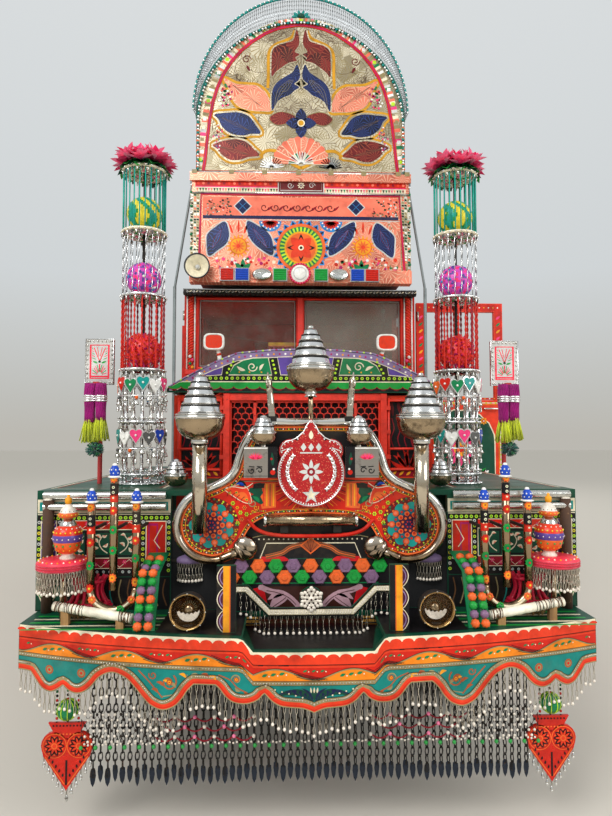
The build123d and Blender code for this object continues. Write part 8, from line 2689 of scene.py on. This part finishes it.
def disc_paint(name, body, x, y, sign, inner, outer, hub_x, hub_r):
    """Petals, nuts and a cap on the outer face of a wheel."""
    sheet = Paint(name + "_petals", lambda u, v, lift: (sign * (x + lift), y + u * sign, WHEEL_Z + v))
    sheet.poly(ring((0, 0), outer, 40), "red", 1)
    petals(sheet, (0, 0), outer * 0.98, 10, "amber", 2, 0.30, inner=0.45)
    petals(sheet, (0, 0), outer * 0.93, 10, "green", 3, 0.17, inner=0.5)
    petals(sheet, (0, 0), outer * 0.98, 10, "cream", 2, 0.13, pi / 10, inner=0.55)
    sheet.poly(ring((0, 0), inner * 1.12, 32), "navy", 4)
    sheet.dots([(outer * 0.92 * cos(TAU * k / 20 + 0.157), outer * 0.92 * sin(TAU * k / 20 + 0.157))
                for k in range(20)], 0.006, "white", 5)
    sheet.done(body, "rim_paint")
    extra = Build(name + "_hub")
    face = Matrix.Translation((sign * x, y, WHEEL_Z)) @ Matrix.Rotation(sign * pi / 2, 4, "Y")
    nut = lathe([(0.016, 0), (0.016, 0.014), (0.011, 0.018), (0.010, 0.030), (0, 0.031)], 6)
    for a in around(10):
        extra.add(nut, LINKS,
                  face @ moved((inner * 1.02 * cos(a) * 1.16, inner * 1.02 * sin(a) * 1.16, 0.0)), False)
    cap = Matrix.Translation((sign * hub_x, y, WHEEL_Z)) @ Matrix.Rotation(sign * pi / 2, 4, "Y")
    extra.add(lathe([(hub_r, 0.0), (hub_r, 0.004), (hub_r * 0.9, 0.010), (hub_r * 0.6, 0.024),
                     (hub_r * 0.3, 0.036), (0, 0.040)], 28), BRIGHT, cap)
    for a in around(8):
        extra.add(small, LINKS, cap @ moved((hub_r * 0.78 * cos(a), hub_r * 0.78 * sin(a), 0.016), scale=1.6))
    extra.done(body, "rim_paint")


for side, sign in (("left", 1), ("right", -1)):
    rubber = Build("tyre_front_" + side + "_tread")
    tyre(rubber, Vector((sign * 0.965, 0, WHEEL_Z)))
    rubber.done("wheel_front_" + side, "tyre_rubber", "tyre_front_" + side, angle=40)
    rubber = Build("tyres_rear_" + side + "_tread")
    for centre in (1.0775, 0.8175):
        tyre(rubber, Vector((sign * centre, BASE_Y, WHEEL_Z)))
    rubber.done("wheels_rear_" + side, "tyre_rubber", "tyres_rear_" + side, angle=40)
    disc_paint("wheel_front_" + side, "wheel_front_" + side, 1.0142, 0.0, sign, 0.112, 0.238, 1.0652, 0.084)
    disc_paint("wheel_rear_" + side, "wheels_rear_" + side, 0.9597, BASE_Y, sign, 0.132, 0.238, 1.1252, 0.104)
finish_nodes("rim_front_left rim_front_right rims_rear_left rims_rear_right",
             worn("rim_enamel", "#C9281C", "#6A4630", 0.44, 0.0, 14.0, 0.66))


# Doors: painted outside, mosaic panel inside, handle and window ledge
def door_face(name, body, place, slot, warm):
    """The painted lower half of a door, in warm colours outside and dark ones inside."""
    sheet = Paint(name, place)
    ground, edge, second = ("scarlet", "cream", "forest") if warm else ("wine", "silver", "navy")
    sheet.poly(rect(0.012, 0.738, 1.132, 1.975), ground, 1)
    sheet.line(rect(0.030, 0.720, 1.150, 1.955), 0.012, edge, 2, True)
    sheet.line(rect(0.044, 0.706, 1.164, 1.941), 0.006, "amber", 2, True)
    for k in range(18):
        sheet.dots([(0.030 + 0.0406 * k, 1.150), (0.030 + 0.0406 * k, 1.955)], 0.007, "lime", 3)
    for k in range(19):
        sheet.dots([(0.030, 1.170 + 0.0425 * k), (0.720, 1.170 + 0.0425 * k)], 0.007, "lime", 3)
    round_top = [(0.375 + 0.295 * cos(pi * k / 16), 1.62 + 0.27 * sin(pi * k / 16) + 0.012 * (k % 2))
                 for k in range(1, 16)]
    arch_outline = [(0.08, 1.20), (0.67, 1.20), (0.67, 1.62)] + round_top + [(0.08, 1.62)]
    sheet.poly(arch_outline, second, 3)
    sheet.line(arch_outline, 0.010, edge, 4, True)
    flower(sheet, (0.375, 1.56), 0.150, ("pink", "amber", "red"), 4, 12)
    petals(sheet, (0.375, 1.56), 0.170, 12, "sky", 3, 0.2, pi / 12)
    for k in (-1, 1):
        sheet.line(curve([(0.375, 1.22), (0.375 + k * 0.06, 1.32), (0.375 + k * 0.16, 1.36),
                          (0.375 + k * 0.22, 1.30)]), 0.012, "leaf", 4)
        for j in range(4):
            foot = (0.375 + k * (0.03 + 0.045 * j), 1.26 + 0.028 * j)
            sheet.poly(leaf(foot, (foot[0] + k * 0.05, foot[1] + 0.055), 0.030), "green", 5)
        flower(sheet, (0.375 + k * 0.205, 1.345), 0.048, ("white", "orange", "red"), 5, 8)
        flower(sheet, (0.375 + k * 0.20, 1.80), 0.034, ("amber", "red", "cream"), 5, 8)
    sheet.done(body, slot)


def round_window(name, body, place, tone):
    """The painted border of a door's window."""
    sheet = Paint(name, place)
    for low, high in ((2.752, 2.812), (1.985, 2.0)):
        sheet.poly(rect(0.01, 0.74, low, high), tone, 1)
        for k in range(18):
            sheet.dots([(0.03 + 0.04 * k, (low + high) / 2)], 0.006, ("amber", "white")[k % 2], 2)
    for left in (0.008, 0.682):
        sheet.poly(rect(left, left + 0.060, 2.0, 2.752), tone, 1)
        for k in range(12):
            sheet.poly(leaf((left + 0.012, 2.02 + 0.06 * k), (left + 0.048, 2.052 + 0.06 * k), 0.018),
                       ("amber", "leaf", "pink")[k % 3], 2)
    sheet.done(body, "cab_paint")


DOOR_FACES = (("left", "outside", lambda u, v, lift: (1.005 + u, 0.9648 - lift, v)),
              ("left", "inside", lambda u, v, lift: (1.755 - u, 1.0052 + lift, v)),
              ("right", "outside", lambda u, v, lift: (-0.9852 - lift, 1.715 - u, v)),
              ("right", "inside", lambda u, v, lift: (-0.9448 + lift, 0.965 + u, v)))
for side, face, place in DOOR_FACES:
    slot = "cab_paint" if face == "outside" else "panel_mosaic"
    door_face(side + "_door_" + face, side + "_door", place, slot, face == "outside")
for side, face, place in DOOR_FACES:
    round_window(side + "_window_" + face, side + "_door", place, "red" if face == "outside" else "wine")
for side, face, place in DOOR_FACES[::2]:
    pull = Build(side + "_door_handle")
    ends = (0.575, 0.695) if side == "left" else (0.055, 0.175)
    path = [place(ends[0], 1.905, 0.0), place(ends[0], 1.905, 0.026),
            place((ends[0] + ends[1]) / 2, 1.905, 0.034), place(ends[1], 1.905, 0.026),
            place(ends[1], 1.905, 0.0)]
    pull.add(tube(curve(path, 4), 0.0075, 8), BRIGHT)
    hinge_u = 0.012 if side == "left" else 0.738
    for z in (1.25, 1.85, 2.70):
        pull.add(tube([place(hinge_u, z - 0.04, 0.006), place(hinge_u, z + 0.04, 0.006)], 0.011, 10), LINKS)
    pull.done(side + "_door", "machined_steel")


# Cab seat: sprung cushion and back rest, both buttoned
def cushion(name, low, high, columns, rows_here, swell, buttons):
    """A soft block whose top or front swells between its buttons."""
    (x0, y0, z0), (x1, y1, z1) = low, high
    points, faces = [], []
    n, m = 60, 16
    for layer in range(2):
        for j in range(m + 1):
            for i in range(n + 1):
                u, v = i / n, j / m
                puff = (abs(sin(pi * u * columns)) * abs(sin(pi * v * rows_here))) ** 0.5
                edge_fall = min(1.0, 9 * u, 9 * (1 - u), 5 * v, 5 * (1 - v)) ** 0.5
                x = x0 + (x1 - x0) * u
                if buttons == "top":
                    y = y0 + (y1 - y0) * v
                    z = z0 if layer else z1 - swell + swell * puff * edge_fall - 0.022 * (1 - edge_fall)
                else:
                    z = z0 + (z1 - z0) * v
                    y = y1 if layer else y0 + swell - swell * puff * edge_fall + 0.022 * (1 - edge_fall)
                points.append(Vector((x, y, z)))
    size = (n + 1) * (m + 1)
    for layer in range(2):
        for j in range(m):
            for i in range(n):
                a = layer * size + j * (n + 1) + i
                quad = (a, a + 1, a + n + 2, a + n + 1)
                faces.append(quad if (layer == 0) == (buttons == "top") else quad[::-1])
    rim = list(range(n + 1)) + [j * (n + 1) + n for j in range(1, m + 1)]
    rim += [m * (n + 1) + i for i in range(n - 1, -1, -1)] + [j * (n + 1) for j in range(m - 1, 0, -1)]
    for k in range(len(rim)):
        a, b = rim[k], rim[(k + 1) % len(rim)]
        quad = (a, a + size, b + size, b)
        faces.append(quad if buttons == "top" else quad[::-1])
    made = Build(name)
    made.add((points, faces), cloth("seat_velvet", "#8A1730", 150.0, 0.6))
    for j in range(1, rows_here):
        for i in range(1, columns):
            u, v = i / columns, j / rows_here
            x = x0 + (x1 - x0) * u
            at = (x, y0 + swell - 0.002, z0 + (z1 - z0) * v)
            if buttons == "top":
                at = (x, y0 + (y1 - y0) * v, z1 - swell - 0.002)
            made.add(ball(0.011, 4, 8, 0.6), plastic("amber"), moved(at))
    return made


seat = cushion("seat_cushion", (-0.850, 1.500, 1.390), (0.850, 1.995, 1.520), 8, 3, 0.030, "top")
seat.done("chassis", "trim_cloth", "bench_seat")
rest = cushion("seat_back", (-0.850, 1.975, 1.500), (0.850, 2.105, 2.150), 8, 4, 0.030, "front")
rest.done("chassis", "trim_cloth")
base = Build("seat_base")
base.add(block((-0.850, 1.510, 1.095), (0.850, 1.990, 1.392)),
         timber("seat_wood", "#6A4020", "#2E1A0C", (8.0, 8.0, 1.0)), None, False)
base.done("chassis", "trim_cloth")
seat_face = Paint("seat_base_pattern", front(1.5098))
seat_face.line(rect(-0.82, 0.82, 1.125, 1.360), 0.010, "amber", 1, True)
for k in range(7):
    flower(seat_face, (-0.70 + 0.233 * k, 1.243), 0.070, ("red", "amber", "cream"), 1, 8)
seat_face.done("chassis", "trim_cloth")

# Dashboard dials, knobs, a fringed cloth and a rail
dials = Build("dash_dials")
for x, r in ((-0.52, 0.055), (-0.38, 0.055), (-0.27, 0.034), (-0.63, 0.034)):
    spot = moved((x, 1.1005, 1.895), along=(0, 1, 0))
    dials.add(lathe([(r, -0.002), (r, 0.006), (r * 0.88, 0.010), (r * 0.86, 0.004), (0, 0.004)], 24), BRIGHT,
              spot)
    dials.add(lathe([(r * 0.84, 0.0045), (0, 0.0045)], 24), plastic("black"), spot)
    dials.add(tube([spot @ Vector((0, 0, 0.006)), spot @ Vector((r * 0.5, r * 0.45, 0.006))], 0.0015, 4),
              plastic("orange"))
for k in range(5):
    dials.add(ball(0.011, 5, 8), plastic(("red", "amber", "leaf", "white", "red")[k]),
              moved((0.05 + 0.07 * k, 1.106, 1.86)))
dials.add(block((0.02, 1.094, 1.78), (0.78, 1.104, 1.84)), cloth("dash_cloth", "#C4303A", 160.0), None, False)
for k in range(26):
    strand(dials, 0.035 + 0.0292 * k, 1.108, 1.79, 0.045)
dials.add(tube([(-0.78, 1.106, 1.96), (0.78, 1.106, 1.96)], 0.008, 6), plastic("amber"))
dials.done("chassis", "dash_wood")

# Cargo body: painted bays between the ribs
SIDE_Y0, PITCH = 2.25, 4.43 / 6
GROUNDS = ("teal", "scarlet", "navy", "green", "wine", "sky")
for side, sign in (("left", 1), ("right", -1)):
    wall = Paint("wall_panels_" + side, on_side(sign, 1.2003))
    for i in range(6):
        y0, y1 = SIDE_Y0 + PITCH * i + 0.066, SIDE_Y0 + PITCH * (i + 1) - 0.006
        c, w = (y0 + y1) / 2, (y1 - y0) / 2
        tone = GROUNDS[i % 6]
        for low, high, kind in ((1.204, 1.52, 0), (1.54, 2.20, 1), (2.22, 2.786, 2)):
            wall.poly(rect(y0, y1, low, high), ("amber", tone, "black")[kind], 1)
            wall.line(rect(y0 + 0.016, y1 - 0.016, low + 0.016, high - 0.016), 0.012, "cream", 2, True)
            for k in range(16):
                u = y0 + 0.016 + (y1 - y0 - 0.032) * k / 15
                wall.dots([(u, low + 0.016), (u, high - 0.016)], 0.0065, "red", 3, 6)
            if kind == 0:
                for k in range(3):
                    flower(wall, (c - 0.2 + 0.2 * k, (low + high) / 2), 0.080,
                           (("red", "navy", "magenta")[k], "cream", "forest"), 3, 8)
                    for hand in (-1, 1):
                        wall.poly(leaf((c - 0.2 + 0.2 * k + hand * 0.05, low + 0.05),
                                       (c - 0.2 + 0.2 * k + hand * 0.10, low + 0.11), 0.03), "forest", 3)
            elif kind == 1:
                arch_line = [(c - 0.26, low + 0.05), (c + 0.26, low + 0.05), (c + 0.26, 1.93)]
                arch_line += [(c + 0.26 * cos(pi * k / 18), 1.93 + 0.20 * sin(pi * k / 18) + 0.014 * (k % 2))
                              for k in range(1, 18)] + [(c - 0.26, 1.93)]
                wall.poly(arch_line, "cream", 2)
                wall.line(arch_line, 0.012, "red", 3, True)
                wall.poly([(c - 0.05, 1.62), (c + 0.05, 1.62), (c + 0.085, 1.70), (c + 0.06, 1.755),
                           (c - 0.06, 1.755), (c - 0.085, 1.70)], "blue", 4)
                wall.poly(rect(c - 0.07, c + 0.07, 1.755, 1.770), "amber", 5)
                for k in range(7):
                    a = radians(30 + 20 * k)
                    tip = (c + 0.19 * cos(a), 1.775 + 0.24 * sin(a))
                    wall.line([(c, 1.765), tip], 0.008, "forest", 4)
                    wall.poly(leaf((c + 0.08 * cos(a), 1.775 + 0.10 * sin(a)),
                                   (c + 0.14 * cos(a + 0.25), 1.775 + 0.17 * sin(a + 0.25)), 0.028), "leaf",
                              4)
                    flower(wall, tip, 0.036,
                           (("red", "pink", "orange", "magenta")[k % 4], "amber", "white"), 5, 7)
            else:
                petals(wall, (c, 2.503), 0.245, 16, tone if tone != "navy" else "mauve", 2, 0.20)
                petals(wall, (c, 2.503), 0.205, 16, "amber", 3, 0.14, pi / 16)
                wall.poly(ring((c, 2.503), 0.125, 30), "red", 4)
                petals(wall, (c, 2.503), 0.115, 8, "white", 5, 0.32)
                petals(wall, (c, 2.503), 0.085, 8, "leaf", 6, 0.30)
                wall.dots([(c, 2.503)], 0.030, "amber", 7, 16)
                for hand in (-1, 1):
                    for v in (2.30, 2.705):
                        wall.poly(leaf((c + hand * 0.30, v),
                                       (c + hand * 0.21, v + 0.05 * (1 if v < 2.5 else -1)), 0.03), "green",
                                  3)
    wall.done("chassis", "body_paint")
    ribs = Paint("rib_faces_" + side, on_side(sign, 1.2353))
    for i in range(7):
        y = SIDE_Y0 + PITCH * i
        ribs.poly(rect(y + 0.004, y + 0.056, 1.205, 2.785), "wine", 1)
        for k in range(30):
            z = 1.235 + 0.052 * k
            ribs.poly([(y + 0.030, z - 0.022), (y + 0.050, z), (y + 0.030, z + 0.022), (y + 0.010, z)],
                      ("amber", "white", "leaf")[k % 3], 2)
    ribs.poly(rect(2.255, 6.735, 2.795, 2.846), "forest", 1)
    ribs.poly(rect(2.255, 6.735, 1.125, 1.196), "forest", 1)
    for k in range(74):
        u = 2.285 + 0.06 * k
        flower(ribs, (u, 2.820), 0.020, (("red", "amber", "pink")[k % 3], "cream", "navy"), 2, 6)
        ribs.poly([(u - 0.026, 1.192), (u + 0.026, 1.192), (u, 1.138)],
                  ("amber", "cream", "scarlet")[k % 3], 2)
    ribs.done("chassis", "body_paint")
    skirt = Paint("skirt_panels_" + side, on_side(sign, 1.1953))
    for y0, y1 in ((2.275, 3.555), (4.945, 6.715)):
        skirt.poly(rect(y0, y1, 0.805, 1.112), "teal", 1)
        skirt.line(rect(y0 + 0.018, y1 - 0.018, 0.822, 1.096), 0.012, "cream", 2, True)
        count = int((y1 - y0) / 0.21)
        for k in range(count):
            u = y0 + (y1 - y0) * (k + 0.5) / count
            flower(skirt, (u, 0.965), 0.070,
                   (("red", "amber", "magenta", "orange")[k % 4], "cream", "forest"), 3, 10)
            for hand in (-1, 1):
                skirt.poly(leaf((u + hand * 0.07, 0.90), (u + hand * 0.10, 1.02), 0.03, 0.1 * hand), "lime",
                           3)
        for k in range(int((y1 - y0) / 0.05)):
            skirt.dots([(y0 + 0.03 + 0.05 * k, 0.822)], 0.008, "red", 3, 6)
    skirt.done("chassis", "body_paint")
    hem = Build("skirt_fringe_" + side)
    for y0, y1 in ((2.275, 3.555), (4.945, 6.715)):
        hem.add(tube([(sign * 1.196, y0, 0.802), (sign * 1.196, y1, 0.802)], 0.007, 6), IRON)
        for k in range(int((y1 - y0) / 0.034)):
            strand(hem, sign * 1.190, y0 + 0.015 + 0.034 * k, 0.802, 0.095 + 0.02 * (k % 3), 1.3)
    hem.done("chassis", "ornament_chrome")

# Tailgate and the back
gate = Paint("tailgate_panels", rear(6.7952))
gate.poly(rect(-1.138, 1.138, 1.182, 2.113), "forest", 1)
for c in (-0.755, 0.0, 0.755):
    gate.poly(rect(c - 0.350, c + 0.350, 1.225, 2.075), ("scarlet", "navy", "scarlet")[int(c / 0.7) + 1], 2)
    gate.line(rect(c - 0.330, c + 0.330, 1.245, 2.055), 0.014, "amber", 3, True)
    flower(gate, (c, 1.65), 0.245, ("pink" if c else "amber", "cream", "red"), 3, 14)
    petals(gate, (c, 1.65), 0.285, 14, "leaf", 2, 0.14, pi / 14)
    for a, b in ((-1, -1), (1, -1), (-1, 1), (1, 1)):
        gate.poly(leaf((c + a * 0.29, 1.65 + b * 0.37), (c + a * 0.17, 1.65 + b * 0.30), 0.05), "lime", 3)
        flower(gate, (c + a * 0.265, 1.65 + b * 0.335), 0.050, ("white", "orange", "wine"), 4, 8)
gate.done("drop_gate", "body_paint")
chains = Build("gate_chains")
for x in (-1.13, 1.13):
    chains.add(block((x - 0.012, 6.796, 1.30), (x + 0.012, 6.806, 2.05)), STEEL, None, False)
    for z in (1.35, 1.70, 2.0):
        chains.add(stud, LINKS, moved((x, 6.806, z), along=(0, 1, 0)))
chains.done("drop_gate", "machined_steel")
lights = Build("rear_lights")
for sign in (-1, 1):
    for k, tone in enumerate(("red", "orange", "white")):
        x = sign * (0.915 + 0.072 * k)
        lights.add(lathe([(0.033, -0.004), (0.034, 0.004), (0.030, 0.012), (0.016, 0.018), (0, 0.020)], 20),
                   plastic(tone, 0.14), moved((x, 6.645, 0.720), along=(0, 1, 0)))
        lights.add(lathe([(0.033, 0.0), (0.037, 0.003), (0.033, 0.008)], 20), BRIGHT,
                   moved((x, 6.645, 0.720), along=(0, 1, 0)))
lights.done("chassis", "reflector_plastic")
backs = Paint("rear_bar_stripes", rear(6.6002))
for k in range(18):
    x = -1.13 + 0.127 * k
    if -1.12 < x < 1.05 and not 0.82 < abs(x + 0.03) < 1.14 and abs(x + 0.03) > 0.11:
        backs.poly([(x, 0.664), (x + 0.06, 0.664), (x + 0.10, 0.776), (x + 0.04, 0.776)],
                   ("red", "cream")[k % 2], 1)
backs.poly(rect(0.30, 0.66, 0.672, 0.768), "cream", 2)
backs.line(rect(0.31, 0.65, 0.682, 0.758), 0.004, "black", 3, True)
backs.done("chassis", "chassis_paint")
flaps = Paint("mud_flap_marks", rear(4.8522))
for c in (-0.95, 0.95):
    flaps.line(rect(c - 0.215, c + 0.215, 0.345, 1.02), 0.016, "red", 1, True)
    flaps.poly(star((c, 0.62), 0.10, 0.042, 8), "cream", 1)
    flaps.poly(ring((c, 0.62), 0.036, 16), "red", 2)
flaps.done("chassis", "flap_rubber")

# Cab sides, wing decks, crown backs and frame fittings
for side, sign in (("left", 1), ("right", -1)):
    flank_sheet = Paint("cab_flank_" + side, on_side(sign, 0.9753))
    flank_sheet.poly(rect(1.752, 2.140, 1.10, 2.84), "forest", 1)
    flank_sheet.line(rect(1.772, 2.120, 1.12, 2.82), 0.012, "amber", 2, True)
    for k in range(5):
        c = (1.946, 1.30 + 0.34 * k)
        flower(flank_sheet, c, 0.110,
               (("red", "pink", "orange", "magenta", "red")[k], "cream", "navy"), 3, 12)
        for hand in (-1, 1):
            flank_sheet.poly(leaf((c[0] + hand * 0.05, c[1] + 0.13), (c[0] + hand * 0.14, c[1] + 0.19), 0.04),
                             "lime", 3)
    flank_sheet.done("chassis", "cab_paint")
    deck = Paint("wing_deck_" + side, lambda u, v, lift, sign=sign: (sign * u, v, 1.4252 + lift))
    deck.line(rect(0.70, 1.225, -1.20, 0.76), 0.012, "cream", 1, True)
    deck.line(rect(0.72, 1.205, -1.18, 0.74), 0.006, "red", 1, True)
    for k in range(7):
        c = (0.965, -0.55 + 0.20 * k)
        flower(deck, c, 0.070, (("red", "amber", "pink")[k % 3], "cream", "navy"), 2, 8)
    deck.done("chassis", "wing_paint")
    cheek = Paint("wing_cheek_" + side, on_side(sign, 1.2503))
    cheek.poly(rect(-1.22, 0.72, 1.365, 1.418), "wine", 1)
    for k in range(32):
        flower(cheek, (-1.19 + 0.060 * k, 1.391), 0.020,
               (("amber", "white", "pink")[k % 3], "red", "cream"), 2, 6)
    cheek.done("chassis", "wing_paint")


def vault(u, v, lift):
    """A place on the bonnet's arch: u is the share of the half arc, v is Y."""
    share = (v + 0.55) / 1.145
    spots = []
    for rise in (0.235, 0.285):
        radius = (0.785 ** 2 + rise ** 2) / (2 * rise)
        a = asin(0.785 / radius) * u
        spots.append(((radius + lift) * sin(a), 1.925 + rise - radius + (radius + lift) * cos(a)))
    return (spots[0][0] * (1 - share) + spots[1][0] * share, v,
            spots[0][1] * (1 - share) + spots[1][1] * share)


lid = Paint("bonnet_pattern", vault, 0.04, 0.0008)
lid.poly(rect(-0.985, 0.985, -0.545, -0.470), "mauve", 1)
for k in range(39):
    lid.poly(ring((-0.95 + 0.05 * k, -0.508), 0.012, 8, 0.0095), ("magenta", "white", "amber")[k % 3], 2)
lid.poly(rect(-0.985, 0.985, -0.470, -0.462), "cream", 2)
for low, high, tone, layer in ((-0.400, 0.560, "cream", 1), (-0.390, 0.550, "black", 2),
                               (-0.365, 0.525, "cream", 3), (-0.358, 0.518, "leaf", 4)):
    inset = 0.012 * layer
    lid.poly(rect(-0.92 + inset, 0.92 - inset, low, high), tone, layer)
for k in range(34):
    u = -0.86 + 1.72 * k / 33
    for v in (-0.377, 0.537):
        lid.poly(ring((u, v), 0.0085, 8, 0.0080), "lime", 4)
for k in range(22):
    v = -0.35 + 0.84 * k / 21
    for u in (-0.885, 0.885):
        lid.poly(ring((u, v), 0.0085, 8, 0.0080), "lime", 4)
flower(lid, (0.0, 0.080), 0.200, ("scarlet", "amber", "navy"), 5, 14)
for hand in (-1, 1):
    for v, tone in ((-0.160, "pink"), (0.320, "orange")):
        flower(lid, (0.50 * hand, v), 0.120, (tone, "cream", "maroon"), 5, 10)
    lid.line(curve([(0.22 * hand, 0.080), (0.36 * hand, 0.020), (0.52 * hand, 0.080), (0.70 * hand, 0.060)],
                   6), 0.014, "forest", 5)
    for k in range(5):
        foot = (hand * (0.28 + 0.09 * k), 0.045 + 0.02 * (k % 2))
        lid.poly(leaf(foot, (foot[0] + hand * 0.05, foot[1] + (0.085 if k % 2 else -0.085)), 0.030, 0.1),
                 "lime", 6)
    flower(lid, (0.74 * hand, 0.070), 0.060, ("amber", "red", "cream"), 6, 8)
lid.done("bonnet_lid", "bonnet_paint")
for side, sign in (("left", 1), ("right", -1)):
    ribs = Paint("bonnet_side_" + side, on_side(sign, 0.7753))
    ribs.line(rect(-0.50, 0.57, 1.49, 1.86), 0.010, "cream", 1, True)
    ribs.poly(rect(-0.485, 0.555, 1.505, 1.845), "forest", 1)
    for k in range(5):
        c = (-0.38 + 0.21 * k, 1.675)
        flower(ribs, c, 0.080, (("amber", "pink", "orange", "pink", "amber")[k], "cream", "maroon"), 2, 10)
        for hand in (-1, 1):
            ribs.poly(leaf((c[0], c[1] + 0.075 * hand), (c[0] + 0.06, c[1] + 0.135 * hand), 0.026, 0.1),
                      "lime", 2)
            ribs.poly(leaf((c[0], c[1] + 0.075 * hand), (c[0] - 0.06, c[1] + 0.135 * hand), 0.026, 0.1),
                      "leaf", 2)
    ribs.done("chassis", "nose_paint")
    apron = Paint("wing_side_" + side, on_side(sign, 1.2503))
    apron.line(rect(-1.255, -0.665, 0.885, 1.345), 0.009, "cream", 1, True)
    apron.line(rect(-1.235, -0.685, 0.905, 1.325), 0.005, "red", 1, True)
    flower(apron, (-0.960, 1.115), 0.140, ("scarlet", "amber", "navy"), 2, 14)
    for k in range(4):
        a = pi / 4 + pi / 2 * k
        foot = (-0.960 + 0.15 * cos(a), 1.115 + 0.13 * sin(a))
        apron.poly(leaf(foot, (foot[0] + 0.075 * cos(a), foot[1] + 0.065 * sin(a)), 0.035), "lime", 2)
    for k in range(7):
        c = (-0.54 + 0.18 * k, 1.255)
        flower(apron, c, 0.042, (("amber", "pink", "orange")[k % 3], "cream", "maroon"), 2, 8)
        if k < 6:
            apron.poly(leaf((c[0] + 0.055, c[1]), (c[0] + 0.125, c[1]), 0.026), "lime", 2)
    apron.done("chassis", "wing_paint")
back = Paint("crown_back", rear(0.6402))
back.poly(rect(-0.86, 0.86, 2.90, 3.755), "scarlet", 1)
back.line(rect(-0.83, 0.83, 2.93, 3.725), 0.016, "cream", 2, True)
for k in range(5):
    flower(back, (-0.64 + 0.32 * k, 3.33), 0.13,
           (("amber", "navy", "leaf", "navy", "amber")[k], "cream", "red"), 2, 12)
back.done("chassis", "crown_paint")
high_back = Paint("crown_back_high", rear(0.6302))
high_back.poly([(-0.80, 3.80), (0.80, 3.80), (0.80, 4.22)]
               + [(0.80 * cos(pi * k / 24), 4.22 + 0.775 * sin(pi * k / 24)) for k in range(1, 24)]
               + [(-0.80, 4.22)], "forest", 1)
high_back.poly(star((0, 4.36), 0.46, 0.22, 12), "amber", 2)
high_back.poly(star((0, 4.36), 0.34, 0.16, 12), "red", 3)
flower(high_back, (0, 4.36), 0.15, ("cream", "navy", "amber"), 4, 12)
high_back.done("chassis", "crown_paint")
fittings = Build("frame_fittings")
for y in [-1.1 + 0.42 * k for k in range(18)]:
    for z in (0.69, 0.81):
        fittings.pair(stud, STEEL, moved((0.467, y, z), along=(1, 0, 0), scale=1.3))
fittings.add(tube(curve([(-0.33, -0.30, 0.78), (-0.34, 0.6, 0.60), (-0.34, 2.4, 0.56), (-0.34, 3.3, 0.58)],
                        8), 0.030, 10), STEEL)
fittings.add(tube([(-0.335, 2.2, 0.555), (-0.335, 3.0, 0.565)], 0.075, 16), STEEL)
fittings.done("chassis", "machined_steel")
